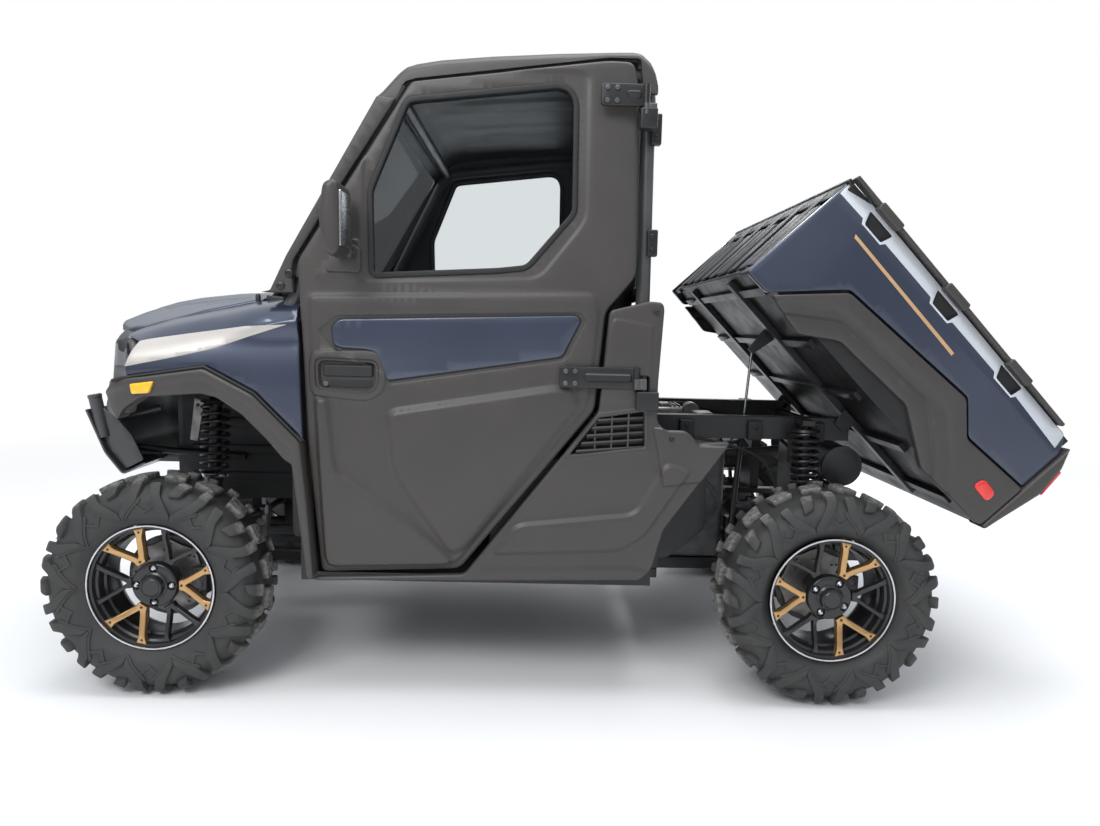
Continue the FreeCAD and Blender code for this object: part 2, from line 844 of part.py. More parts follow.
def make_suspension():
    """Upper and lower arms at each wheel, and the rear hub carriers."""
    mid = "tyre_radius"
    front = []
    rear = []
    low_ball = f"{mid} - knuckle_half_height - 18"
    high_ball = f"{mid} + knuckle_half_height + 18"
    for side in (-1, 1):
        front.append(arm_pair(f"front_lower_{side + 1}", "0", side, "lower_arm_level", low_ball, "kingpin"))
        front.append(
            arm_pair(f"front_upper_{side + 1}", "0", side, "upper_arm_level", high_ball, "kingpin", True)
        )
        lower = arm_pair(
            f"rear_lower_{side + 1}", "wheelbase", side, "lower_arm_level", low_ball, "rear_carrier"
        )
        upper = arm_pair(
            f"rear_upper_{side + 1}", "wheelbase", side, "upper_arm_level", high_ball, "rear_carrier", True
        )
        post = rod(
            f"carrier_post_{side + 1}",
            ("wheelbase", f"{side} * rear_carrier", low_ball),
            ("wheelbase", f"{side} * rear_carrier", high_ball),
            "knuckle_radius + 3",
        )
        stub = rod(
            f"carrier_stub_{side + 1}",
            ("wheelbase", f"{side} * (rear_carrier - 6)", mid),
            ("wheelbase", f"{side} * (rear_carrier + stub_reach)", mid),
            "stub_radius + 16",
        )
        brake = caliper(f"rear_caliper_{side + 1}", "wheelbase", side, "rear_carrier")
        rear.append(fuse(f"rear_corner_{side + 1}", lower, upper, post, stub, *brake))
    node("front_suspension", group("front_suspension", *front))
    node("rear_suspension", group("rear_suspension", *rear))


def coil_over(name, top, bottom):
    """One shock absorber with its spring as a plain sleeve."""
    a, b = point(*top), point(*bottom)
    span = b - a

    def along(share):
        p = a + span * share
        return (str(p.x - number("front_axle")), str(p.y), str(p.z))

    sleeve = rod(f"{name}_spring", along(0.1), along(0.8), "shock_radius")
    rod_ = rod(f"{name}_rod", along(0), along(1), "shock_rod_radius")
    return fuse(name, sleeve, rod_)


def make_shocks():
    """Four coil-over shocks."""
    shocks = []
    for side in (-1, 1):
        shocks.append(
            coil_over(
                f"front_shock_{side + 1}",
                ("front_shock_x", f"{side} * 410", "front_shock_top"),
                (
                    "front_shock_x",
                    f"{side} * (arm_mount + (kingpin - arm_mount) * shock_share)",
                    "upper_arm_level + arm_radius - 3.6",
                ),
            )
        )
        shocks.append(
            coil_over(
                f"rear_shock_{side + 1}",
                ("wheelbase + 8", f"{side} * 410", "rear_shock_top"),
                (
                    "wheelbase + 8",
                    f"{side} * (arm_mount + (rear_carrier - arm_mount) * shock_share)",
                    "upper_arm_level + arm_radius - 3.6",
                ),
            )
        )
    node("shocks", group("shocks", *shocks))


def make_axle_shafts():
    """Gear cases and the half shafts with their boots, two at each end."""
    shafts = []
    for axle, out in (("0", "kingpin - 52"), ("wheelbase", "rear_carrier - 22")):
        for side in (-1, 1):
            bar = rod(
                f"half_shaft_{axle}_{side + 1}",
                (axle, f"{side} * 88", "tyre_radius"),
                (axle, f"{side} * ({out})", "tyre_radius"),
                "shaft_radius",
            )
            boot = rod(
                f"boot_{axle}_{side + 1}",
                (axle, f"{side} * ({out} - 60)", "tyre_radius"),
                (axle, f"{side} * ({out})", "tyre_radius"),
                "shaft_radius + 18",
            )
            shafts.append(fuse(f"shaft_{axle}_{side + 1}", bar, boot))
    shafts.append(
        box("front_gear_case", ("-74", "88"), ("-88", "88"), ("rail_bottom + 40.3", "tyre_radius + 90"))
    )
    shafts.append(
        box(
            "rear_gear_case",
            ("wheelbase - 110", "wheelbase + 90"),
            ("-88", "88"),
            ("rail_bottom + 40.3", "tyre_radius + 110"),
        ),
    )
    node("axles", group("axles", *shafts))


def make_driveline():
    """The engine with its cylinder head and belt housing, and the silencer with its pipe."""
    front, rear = "wheelbase - 474", "wheelbase - 218"
    side = "engine_half_width"
    core = box(
        "engine_core", (front, rear), (f"-{side}", side), ("rail_bottom + rail_height + 0.3", "engine_top")
    )
    corners = [(f"-{side}", "engine_top", 30), (side, "engine_top", 30)]
    block = rounded("engine_rounded", core, corners, "x")
    head_z = ("engine_top - 20", "engine_top + 38")
    head = box("cylinder_head", (f"{front} + 44", f"{front} + 184"), ("-110", "70"), head_z)
    belt = (f"{front} + 128", "engine_top - 225")
    housing = rod(
        "belt_housing",
        (belt[0], f"-({side} + 37)", belt[1]),
        (belt[0], f"-({side} - 25)", belt[1]),
        "belt_housing_radius",
        16,
    )
    node("engine_block", fuse("engine_block", block, head, housing))
    can_x = "wheelbase + 172"
    can = rod(
        "silencer_can", *[(can_x, y, "silencer_level") for y in ("-330", "300")], "silencer_radius", 18
    )
    pipe_start = (f"{rear} + 2.1", "120", "engine_top - 95")
    exhaust = rod("exhaust_pipe", pipe_start, (can_x, "120", "silencer_level"), "pipe_radius")
    node("muffler", fuse("muffler", can, exhaust))


# Cab

def make_cage():
    """Pillars and roof rails in round tube, the screen pillar covers and the hinge brackets."""
    pieces = []
    for side in (-1, 1):
        top = f"{side} * (cage_top_half)"
        foot = f"{side} * (cage_foot_half)"
        pieces.append(
            pipe(
                f"side_hoop_{side + 1}",
                [
                    ("378", foot, "1150"),
                    ("header_x", top, "header_level"),
                    ("pillar_x - 40", top, "1916"),
                    ("pillar_x", top, "back_bar_level"),
                    ("pillar_x", foot, "1240"),
                    ("pillar_x", foot, "floor_level + 0.3"),
                ],
                "pillar_radius",
            )
        )
        cover = [
            ("352", "1238"),
            ("433", "1345"),
            ("664", "1800"),
            ("730", "1800"),
            ("656", "1656"),
            ("436", "1343"),
            ("424", "1322"),
            ("424", "1238"),
        ]
        y_low, y_high = ("-(cage_cover_half)", "-(cage_foot_half) + 6") if side < 0 else (
            "cage_foot_half - 6", "cage_cover_half"
        )
        pieces.append(plate(f"pillar_cover_{side + 1}", cover, y_low, y_high))
        hinges = (("lower_hinge_level", "cage_foot_half - 20"), ("upper_hinge_level", "cage_top_half + 6"))
        for i, (level, reach) in enumerate(hinges):
            leaf_low = f"{level} - hinge_height / 2"
            leaf_high = f"{level} - 1"
            y_pin = f"{side} * hinge_pin_y"
            y_in = f"{side} * ({reach})"
            ys = (f"{y_pin} - 6", y_in) if side < 0 else (y_in, f"{y_pin} + 6")
            leaf = box(
                f"hinge_leaf_{side + 1}_{i}",
                ("hinge_pin_x + 6", "hinge_pin_x + 30"),
                ys,
                (leaf_low, leaf_high),
            )
            barrel = rod(
                f"hinge_barrel_{side + 1}_{i}",
                ("hinge_pin_x", y_pin, leaf_low),
                ("hinge_pin_x", y_pin, leaf_high),
                "hinge_radius",
            )
            pieces.extend([leaf, barrel])
    crosses = (
        ("header_x", "header_level", "cage_top_half"),
        ("pillar_x", "back_bar_level", "cage_top_half"),
        ("pillar_x", "belt_bar_level", "cage_foot_half"),
    )
    for i, (x, z, reach) in enumerate(crosses):
        pieces.append(rod(f"cage_cross_{i}", (x, f"-({reach})", z), (x, reach, z), "pillar_radius - 1"))
    for side in (-1, 1):
        middle = f"{side} * (cage_top_half - 5)"
        pieces.append(
            box(
                f"roof_pad_{side + 1}",
                ("1100", "1140"),
                (f"{middle} - 15", f"{middle} + 15"),
                ("1880", "1935"),
            ),
        )
    node("roll_cage", fuse("roll_cage", *pieces))


ROOF = [
    ("668", "1806"),
    ("662", "1824"),
    ("728", "1897"),
    ("748", "1915"),
    ("850", "1938"),
    ("1201", "roof_top - 8"),
    ("1407", "roof_top"),
    ("1440", "roof_top - 4"),
    ("1470", "roof_top - 28"),
    ("1494", "1890"),
    ("1494", "1845"),
    ("1456", "1845"),
    ("1456", "1943"),
    ("1345", "1943"),
    ("779", "1868"),
    ("746", "1858"),
    ("724", "1806"),
]


def make_roof():
    """The moulded roof with its front lip and rear quarters, hollow below."""
    skin = plate("roof_skin", ROOF, "-(roof_half_width)", "roof_half_width")
    hollow = plate(
        "roof_hollow",
        [
            ("676", "1780"),
            ("676", "1826"),
            ("738", "1890"),
            ("760", "1902"),
            ("852", "1914"),
            ("1201", "roof_top - 32"),
            ("1424", "roof_top - 24"),
            ("1424", "1780"),
        ],
        "-(cage_top_half + pillar_radius + 2)",
        "cage_top_half + pillar_radius + 2",
    )
    back = box(
        "roof_back",
        ("1423", "1520"),
        ("-(cage_top_half + pillar_radius + 2)", "cage_top_half + pillar_radius + 2"),
        ("1780", "roof_top - 26"),
    )
    node("roof", cut("roof", skin, hollow, back))


def make_screens():
    """Windscreen and rear window."""
    lean = [("343", "1226.3"), ("350", "1226.3"), ("669", "1803"), ("662", "1803")]
    front = plate("windscreen", lean, "-(cage_foot_half - 6.3)", "cage_foot_half - 6.3")
    low_half = "cage_foot_half - pillar_radius - 30"
    top_half = "cage_top_half - pillar_radius - 4"
    sill = "belt_bar_level + pillar_radius - 0.7"
    head = "back_bar_level - pillar_radius + 0.7"
    pane = [(f"-({low_half})", sill), (low_half, sill), (top_half, head), (f"-({top_half})", head)]
    rear = section("rear_window", pane, "pillar_x - 3", "pillar_x + 3")
    node("cab_glass", group("cab_glass", front, rear))


def make_tub():
    """Floor, firewall, seat riser and rear wall, pressed as one tub."""
    half = "door_inner_half - 12"
    outside = plate(
        "tub_outside",
        [
            ("430", "floor_level - floor_thick"),
            ("1528", "floor_level - floor_thick"),
            ("1528", "1236"),
            ("cab_rear_wall", "1236"),
            ("cab_rear_wall", "744"),
            ("1060", "744"),
            ("1000", "floor_level"),
            ("480", "floor_level"),
            ("448", "1000"),
            ("448", "1150"),
            ("430", "1150"),
        ],
        f"-({half})",
        half,
    )
    riser = plate(
        "riser_hollow",
        [
            ("1030", "floor_level - floor_thick - 4"),
            ("cab_rear_wall - 24", "floor_level - floor_thick - 4"),
            ("cab_rear_wall - 24", "720"),
            ("1078", "720"),
        ],
        f"-({half} - 20)",
        f"{half} - 20",
    )
    channels = []
    for side in (-1, 1):
        middle = f"{side} * (cage_foot_half + 14)"
        channels.append(
            box(
                f"pillar_channel_{side + 1}",
                ("pillar_x - pillar_radius - 6", "cab_rear_wall - 0.5"),
                (f"{middle} - 42", f"{middle} + 42"),
                ("floor_level", "1300"),
            ),
        )
    node("cab_tub", cut("cab_tub", outside, riser, *channels))


def make_interior():
    """Dashboard, bench cushion and backrest, and the steering wheel."""
    dash = plate(
        "dash_core",
        [
            ("448.3", "1000"),
            ("600", "1010"),
            ("640", "1100"),
            ("628", "1185"),
            ("560", "1222"),
            ("464", "1222"),
            ("464", "1149"),
            ("448.3", "1149"),
        ],
        "-(door_inner_half - 14)",
        "door_inner_half - 14",
    )
    rounded_dash = rounded("dash_rounded", dash, [("640", "1100", 24), ("628", "1185", 24)])
    lean = math.radians(62)
    near = ("wheel_x - 120", "-(driver_offset)", "wheel_level - 63.8")
    deep = (
        f"wheel_x - {210 * math.sin(lean)}", "-(driver_offset)", f"wheel_level - {210 * math.cos(lean)}"
    )
    socket = rod("column_socket", near, deep, "column_radius + 1.3", 12)
    node("dashboard", cut("dashboard", rounded_dash, socket))
    cushion = box("cushion_core", ("960", "1420"), ("-610", "610"), ("744.3", "860"))
    node("seat_cushion", rounded("seat_cushion", cushion, [("960", "860", 40)]))
    back = plate(
        "back_core",
        [("1300", "860.3"), ("1400", "860.3"), ("1445", "1225"), ("1420", "1400"), ("1360", "1400")],
        "-610",
        "610",
    )
    node("seat_back", rounded("seat_back", back, [("1420", "1400", 28), ("1360", "1400", 28)]))


def make_steering_wheel():
    """Rim, spokes and hub on the end of the column, leaning back towards the driver."""
    centre = point("wheel_x", "-(driver_offset)", "wheel_level")
    reach = number("wheel_reach")
    grip = 14
    turns = [math.radians(a) for a in range(0, 360, 72)]
    rim = ring_solid([(grip * math.cos(a), reach + grip * math.sin(a)) for a in turns], 18)
    rim.rotate(Vector(), Vector(1, 0, 0), 90)
    hub = disc_solid(44, -20, 6, 12)
    hub.rotate(Vector(), Vector(1, 0, 0), 90)
    spokes = []
    for angle in (90, 210, 330):
        spoke = Part.makeBox(number("wheel_reach") - 20, 26, 10, Vector(20, -13, -14))
        spoke.rotate(Vector(), Vector(0, 0, 1), angle)
        spokes.append(spoke)
    column = disc_solid(number("column_radius"), -196, -18, 8)
    column.rotate(Vector(), Vector(1, 0, 0), 90)
    shape = rim.multiFuse([hub, column] + spokes)
    piece = doc.addObject("Part::Feature", "steering_wheel")
    piece.Shape = shape.Solids[0]
    piece.Placement = Placement(centre, Rotation(ACROSS, 62))
    node("steering_wheel", piece)


# Doors

DOOR = [
    ("504", "sill_level"),
    ("930", "sill_level + 18"),
    ("1333", "905"),
    ("1357", "1202"),
    ("door_rear", "belt_level + 13"),
    ("1434", "1871"),
    ("1420", "door_top - 3"),
    ("1345", "door_top"),
    ("781", "1860"),
    ("756", "1851"),
    ("667", "1652"),
    ("450", "1337"),
    ("door_front", "belt_level + 19"),
    ("454", "1082"),
    ("467", "796"),
    ("484", "613"),
]

WINDOW = [
    ("650", "1540"),
    ("657", "belt_level - 8"),
    ("1030", "belt_level + 15"),
    ("1119", "belt_level + 26"),
    ("1257", "1490"),
    ("1254", "1812"),
    ("1238", "1846"),
    ("1203", "1859"),
    ("774", "1807"),
    ("754", "1798"),
]


INSERT = [
    ("543", "1140"),
    ("567", "1161"),
    ("1268", "1188"),
    ("1283", "1176"),
    ("1229", "1065"),
    ("716", "983"),
    ("701", "989"),
    ("698", "1019"),
    ("677", "1066"),
    ("567", "1075"),
    ("549", "1087"),
]

HANDLE_RECESS = [
    ("484", "1034"),
    ("490", "944"),
    ("652", "932"),
    ("682", "960"),
    ("682", "1054"),
    ("506", "1052"),
]


def body_side(name, outer_in, outer_out, low, high):
    """A curved wall between two offsets from the door's outer face, as a section along the vehicle."""
    face = [("340", "15"), ("620", "2"), ("1190", "0"), ("1300", "4"), ("1960", "28")]
    outer = [(f"-(cab_half_width - {inset}) - ({outer_out})", z) for z, inset in face]
    inner = [(f"-(cab_half_width - {inset}) + ({outer_in})", z) for z, inset in reversed(face)]
    return section(name, outer + inner, low, high)


def make_doors():
    """Left door with its window cut, its glass and mirror; the right ones are mirror images."""
    blank = plate("door_blank", DOOR, "-(cab_half_width + 40)", "-(cab_half_width - 120)")
    wall = body_side("door_wall", "door_thick", "0", "400", "1480")
    shell = common("door_shell", blank, wall)
    window = plate("window_hole", WINDOW, "-(cab_half_width + 50)", "-(cab_half_width - 130)")
    pocket = plate(
        "handle_pocket", HANDLE_RECESS, "-(cab_half_width + 40)", "-(cab_half_width - handle_depth)"
    )
    grip_y = ("-(cab_half_width - 4)", "-(cab_half_width - handle_depth + 6)")
    hinges = [box("door_grip", ("480", "688"), grip_y, ("984", "1008"))]
    leaf = cut("door_leaf", shell, window, pocket)
    places = (("lower_hinge_level", "750", "1225", "1326"), ("upper_hinge_level", "728", "1322", "1424"))
    for i, (level, skin, start, end) in enumerate(places):
        low = f"{level} + 1"
        high = f"{level} + hinge_height / 2"
        hinges.append(
            box(
                f"door_hinge_{i}",
                (start, "hinge_pin_x"),
                ("-(hinge_pin_y + 4)", "-(hinge_pin_y - 4)"),
                (low, high),
            ),
        )
        hinges.append(
            box(f"door_hinge_pad_{i}", (start, end), ("-(hinge_pin_y)", f"-({skin} - 14)"), (low, high))
        )
        hinges.append(
            rod(
                f"door_hinge_barrel_{i}",
                ("hinge_pin_x", "-(hinge_pin_y)", low),
                ("hinge_pin_x", "-(hinge_pin_y)", high),
                "hinge_radius",
            )
        )
    left = fuse("door_left", leaf, *hinges)
    node("door_left", left)
    node("door_right", mirror("door_right", left))
    field = plate("insert_blank", INSERT, "-(cab_half_width + 40)", "-(cab_half_width - 120)")
    skin = body_side("insert_wall", "-0.3", "insert_thick + 0.3", "400", "1480")
    insert = common("door_insert_left", field, skin)
    node("door_insert_left", insert)
    node("door_insert_right", mirror("door_insert_right", insert))
    pane = plate("pane_blank", WINDOW, "-(cab_half_width + 40)", "-(cab_half_width - 120)")
    sheet_ = body_side("pane_wall", "20 + glass_thick", "-20", "400", "1480")
    glass = common("door_glass_left", pane, sheet_)
    node("door_glass_left", glass)
    node("door_glass_right", mirror("door_glass_right", glass))
    head = plate(
        "mirror_head",
        [
            ("590", "1539"),
            ("561", "1527"),
            ("550", "1428"),
            ("566", "1345"),
            ("595", "1326"),
            ("615", "1350"),
            ("612", "1430"),
            ("606", "1528"),
        ],
        "-(cab_half_width + 190)",
        "-(cab_half_width + 44)",
    )
    stalk = plate(
        "mirror_stalk",
        [("560", "1338"), ("612", "1338"), ("622", "1366"), ("560", "1366")],
        "-(cab_half_width + 60)",
        "-(cab_half_width - 5)",
    )
    left_mirror = fuse("mirror_left", head, stalk)
    node("mirror_left", left_mirror)
    node("mirror_right", mirror("mirror_right", left_mirror))


# Side panels

def make_side_panels():
    """Sill below each door and the quarter panel behind it, with its louvres."""
    quarter = plate(
        "quarter_blank",
        [
            ("944", "sill_level + 8"),
            ("1485", "390"),
            ("1521", "419"),
            ("1553", "542"),
            ("1750", "823"),
            ("1651", "814"),
            ("1610", "850"),
            ("1548", "850"),
            ("1520", "875"),
            ("1520", "989"),
            ("1532", "1217"),
            ("1525", "1236"),
            ("1484", "1237"),
            ("1366", "1206"),
            ("1342", "903"),
        ],
        "-(fender_half_width)",
        "-(fender_half_width - 60)",
    )
    inside = plate(
        "quarter_inside",
        [
            ("1000", "sill_level + 20"),
            ("1470", "412"),
            ("1500", "430"),
            ("1530", "552"),
            ("1690", "790"),
            ("1640", "796"),
            ("1598", "832"),
            ("1500", "852"),
            ("1500", "1214"),
            ("1380", "1186"),
            ("1356", "895"),
        ],
        "-(fender_half_width - 24)",
        "-(fender_half_width - 90)",
    )
    sill = plate(
        "sill_blank",
        [
            ("488", "sill_level - 20"),
            ("1485", "sill_level + 8 - 6"),
            ("1485", "sill_level + 22"),
            ("946", "sill_level + 9"),
            ("488", "sill_level - 8"),
        ],
        "-(fender_half_width)",
        "-(cage_foot_half + pillar_radius + 0.5)",
    )
    louvres = []
    for i in range(5):
        level = f"{i} * 20 + 792"
        louvres.append(
            plate(
                f"louvre_{i}",
                [
                    (f"1292 + {i} * 14", level),
                    ("1476", f"{level} + 16"),
                    ("1476", f"{level} + 26"),
                    (f"1300 + {i} * 14", f"{level} + 10"),
                ],
                "-(fender_half_width + 10)",
                "-(fender_half_width - 12)",
            )
        )
    slot = box(
        "hinge_slot",
        ("hinge_pin_x + 2", "hinge_pin_x + 35"),
        ("-(fender_half_width + 10)", "-(fender_half_width - 80)"),
        ("lower_hinge_level - hinge_height / 2 - 4", "lower_hinge_level + 4"),
    )
    left = cut("side_panel_body", fuse("side_panel_skin", quarter, sill), inside, slot, *louvres)
    node("side_panels", both("side_panels", left))


# Front end

def make_fenders():
    """Painted front fenders."""
    blank = plate(
        "fender_blank",
        [
            ("-92", "1012"),
            ("-70", "1078"),
            ("-44", "1136"),
            ("120", "1190"),
            ("309", "1222"),
            ("424", "1234"),
            ("432", "1318"),
            ("446", "1082"),
            ("456", "792.4"),
            ("316", "932.4"),
            ("172", "1007.4"),
            ("-73", "968.4"),
        ],
        "-(fender_half_width + 10)",
        "-540",
    )
    wall = section(
        "fender_wall",
        [
            ("-(hood_half_width + 6)", "1236"),
            ("-660", "1216"),
            ("-732", "1130"),
            ("-(fender_half_width - 4)", "1010"),
            ("-(fender_half_width)", "790"),
            ("-(fender_half_width - 16)", "790"),
            ("-(fender_half_width - 20)", "1006"),
            ("-717", "1120"),
            ("-650", "1198"),
            ("-(hood_half_width + 6)", "1218"),
        ],
        "-140",
        "460",
    )
    notch = box(
        "pillar_notch",
        ("340", "470"),
        ("-(cage_foot_half + 28)", "-(cage_foot_half - 28)"),
        ("1100", "1330"),
    )
    node(
        "front_fenders",
        both("front_fenders", cut("fender_left", common("fender_shell", blank, wall), notch)),
    )


def make_flares():
    """Unpainted arch flares with the panel that runs down behind each front wheel."""
    flare = plate(
        "flare_blank",
        [
            ("-124", "929"),
            ("-73", "968"),
            ("172", "1007"),
            ("316", "932"),
            ("456", "792"),
            ("474", "613"),
            ("494", "sill_level - 6"),
            ("470", "sill_level - 6"),
            ("429", "727"),
            ("408", "738"),
            ("356", "800"),
            ("284", "873"),
            ("212", "921"),
            ("168", "932"),
            ("-7", "919"),
            ("-60", "880"),
            ("-79", "844"),
            ("-101", "879"),
        ],
        "-(flare_half_width)",
        "-(door_inner_half - 10)",
    )
    hollow = plate(
        "flare_hollow",
        [
            ("-150", "820"),
            ("-96", "906"),
            ("-62", "948"),
            ("170", "984"),
            ("302", "914"),
            ("434", "776"),
            ("452", "600"),
            ("470", "sill_level - 20"),
            ("380", "sill_level - 20"),
        ],
        "-(flare_half_width - 16)",
        "-600",
    )
    node("arch_flares", both("arch_flares", cut("flare_left", flare, hollow)))


def hinge_barrel(name, middle):
    """One barrel of the hood's hinge, 30 mm long."""
    low = ("hood_hinge_x", f"{middle} - 15", "hood_hinge_level")
    high = ("hood_hinge_x", f"{middle} + 15", "hood_hinge_level")
    return rod(name, low, high, "hinge_pin_radius")


def make_fascia():
    """Nose panel with its grille bars, and the cowl below the windscreen."""
    nose = [
        ("nose_front", "0"),
        ("nose_front + 12", "-200"),
        ("nose_front + 62", "-380"),
        ("nose_front + 150", "-520"),
        ("-118", "-640"),
        ("-90", "-640"),
        ("-190", "-510"),
        ("nose_front + 88", "-366"),
        ("nose_front + 40", "-190"),
        ("nose_front + 28", "0"),
    ]
    mirrored = [(x, y.replace("-", "", 1)) for x, y in reversed(nose[1:-1])]
    ring = plan("nose_ring", nose + mirrored, "835", "1103.7")
    holes = []
    for i in range(4):
        holes.append(
            box(
                f"grille_slot_{i}",
                ("nose_front - 20", "-200"),
                ("-330", "330"),
                (f"880 + {i} * 34", f"880 + {i} * 34 + 20"),
            ),
        )
    nose_panel = cut("nose_panel", ring, *holes)
    panel = plate(
        "cowl_blank",
        [
            ("hood_rear + 3", "1232"),
            ("340", "1226"),
            ("428", "1226"),
            ("428", "1214"),
            ("300", "1214"),
            ("hood_rear + 3", "1210"),
        ],
        "-(hood_half_width + 5.7)",
        "hood_half_width + 5.7",
    )
    mates = []
    for side in (-1, 1):
        middle = f"{side} * (hood_hinge_y + 15.3)"
        mates.append(hinge_barrel(f"cowl_hinge_{side + 1}", middle))
        mates.append(
            box(
                f"cowl_hinge_foot_{side + 1}",
                ("hood_hinge_x - 5", "hood_hinge_x + 5"),
                (f"{middle} - 15", f"{middle} + 15"),
                ("1226", "hood_hinge_level"),
            ),
        )
    cowl = fuse("cowl", panel, *mates)
    node("front_fascia", group("front_fascia", nose_panel, cowl))


def make_hood():
    """The painted lid over the front compartment, hinged at its rear edge."""
    profile = [
        ("nose_front + 24", "1104"),
        ("-290", "1150"),
        ("-180", "1190"),
        ("-60", "1222"),
        ("90", "1246"),
        ("hood_rear", "1254"),
        ("hood_rear", "1254 - hood_thick"),
        ("90", "1246 - hood_thick"),
        ("-60", "1222 - hood_thick"),
        ("-180", "1190 - hood_thick"),
        ("-284", "1150 - hood_thick"),
        ("nose_front + 40", "1104"),
    ]
    slab = plate("hood_slab", profile, "-(hood_half_width)", "hood_half_width")
    shape = [
        ("nose_front + 10", "-150"),
        ("nose_front + 60", "-330"),
        ("-180", "-490"),
        ("-60", "-(hood_half_width)"),
        ("hood_rear", "-(hood_half_width)"),
        ("hood_rear", "hood_half_width"),
        ("-60", "hood_half_width"),
        ("-180", "490"),
        ("nose_front + 60", "330"),
        ("nose_front + 10", "150"),
    ]
    limits = plan("hood_limits", shape, "1080", "1300")
    pieces = [common("hood_panel", slab, limits)]
    for side in (-1, 1):
        middle = f"{side} * (hood_hinge_y - 15)"
        pieces.append(hinge_barrel(f"hood_hinge_{side + 1}", middle))
        pieces.append(
            box(
                f"hood_strap_{side + 1}",
                ("hood_rear - 10", "hood_hinge_x"),
                (f"{middle} - 15", f"{middle} + 15"),
                ("hood_hinge_level - 3", "hood_hinge_level + 3"),
            ),
        )
    node("hood", fuse("hood", *pieces))


def make_bumper():
    """Bent plate bumper with a capped upright tube at each end."""
    band = plate(
        "bumper_band",
        [
            ("-362", "668"),
            ("-281", "594"),
            ("-195", "644"),
            ("-215", "662"),
            ("-276", "626"),
            ("-336", "682"),
            ("-376", "822"),
            ("-396", "830"),
        ],
        "-(bumper_half_width)",
        "bumper_half_width",
    )
    pieces = [band]
    for side in (-1, 1):
        y = f"{side} * (bumper_half_width - 24)"
        pieces.append(
            rod(f"bumper_post_{side + 1}", ("-330", y, "650"), ("bumper_front + 26", y, "886"), "24")
        )
        pieces.append(
            rod(
                f"bumper_stay_{side + 1}",
                ("-240", f"{side} * rail_offset", "632"),
                ("-240", f"{side} * rail_offset", "640"),
                "10",
            )
        )
        pieces.append(
            plate(
                f"bumper_arm_{side + 1}",
                [("-276", "620"), ("-150.3", "596"), ("-150.3", "640"), ("-230", "656")],
                f"{side} * rail_offset - 12",
                f"{side} * rail_offset + 12",
            )
        )
    node("front_bumper", fuse("front_bumper", *pieces))


def make_lamps():
    """Headlamps set in the corners of the nose, and the amber side markers."""
    head = plate(
        "headlamp",
        [("-150", "1098"), ("-118", "1106"), ("-96", "1064"), ("-104", "1006"), ("-128", "1000")],
        "-690",
        "-640.3",
    )
    marker = plate(
        "marker",
        [("-37", "957"), ("33", "967"), ("18", "931"), ("-32", "927")],
        "-(flare_half_width + 5)",
        "-(flare_half_width) - 0.3",
    )
    node("headlamps", both("headlamps", head))
    node("side_markers", both("side_markers", marker))


# Bed, modelled as it lies when down and then tipped about its pivot

def tipped(label, piece):
    """Turn a finished bed piece about the pivot to its tipped place."""
    pivot = point("bed_pivot_x", 0, "bed_pivot_level")
    turn = Placement(Vector(), Rotation(ACROSS, number("bed_tilt")), pivot)
    piece.Placement = turn.multiply(piece.Placement)
    doc.recompute()
    return node(label, piece)


BED_PAINTED = [
    ("bed_front", "858"),
    ("bed_front + 10", "bed_top"),
    ("bed_rear - 28", "bed_top - 14"),
    ("bed_rear", "1200"),
    ("bed_rear", "1052"),
    ("bed_rear - 236", "1024"),
    ("bed_rear - 332", "1102"),
    ("bed_front + 251", "1046"),
    ("bed_front + 87", "858"),
]

BED_SKIRT = [
    ("bed_front + 95", "858"),
    ("bed_front + 254", "1038"),
    ("bed_rear - 335", "1094"),
    ("bed_rear - 238", "1016"),
    ("bed_rear", "1044"),
    ("bed_rear", "876"),
    ("bed_rear - 33", "868"),
    ("bed_rear - 255", "862"),
    ("bed_rear - 437", "979"),
    ("bed_front + 349", "955"),
    ("bed_front + 220", "858"),
]


RAIL_CAPS = ("bed_front + 168", "bed_front + 485", "bed_front + 792")

SKIRT_LIP = [
    ("bed_front + 220", "858"),
    ("bed_front + 349", "956"),
    ("bed_rear - 437", "980"),
    ("bed_rear - 255", "863"),
    ("bed_rear - 284", "850"),
    ("bed_rear - 446", "952"),
    ("bed_front + 362", "928"),
    ("bed_front + 252", "846"),
]


def make_bed_box():
    """The load box with its stiffened headboard, open at the rear."""
    inner = "bed_half_width - bed_wall"
    shell = [
        ("bed_front + 18", "bed_floor - 14"),
        ("bed_front + 22", "bed_top - 6"),
        ("bed_rear - 0.3", "bed_top - 18"),
        ("bed_rear - 0.3", "bed_floor - 14"),
    ]
    room = [
        ("bed_front + 48", "bed_floor"),
        ("bed_front + 44", "bed_top + 125"),
        ("bed_rear + 160", "bed_top + 125"),
        ("bed_rear + 160", "bed_floor"),
    ]
    pieces = [plate("box_outside", shell, f"-({inner} - 1)", f"{inner} - 1")]
    for i in range(6):
        y = f"({i} - 2.5) * 220"
        ribs_y = (f"{y} - headboard_rib_wide / 2", f"{y} + headboard_rib_wide / 2")
        ribs_z = ("bed_floor + 10", "bed_top - 40")
        pieces.append(box(f"headboard_rib_{i}", ("bed_front + 6", "bed_front + 24"), ribs_y, ribs_z))
    space = plate("box_space", room, f"-({inner} - 14)", f"{inner} - 14")
    tipped("bed_box", cut("bed_box", fuse("box_walls", *pieces), space))


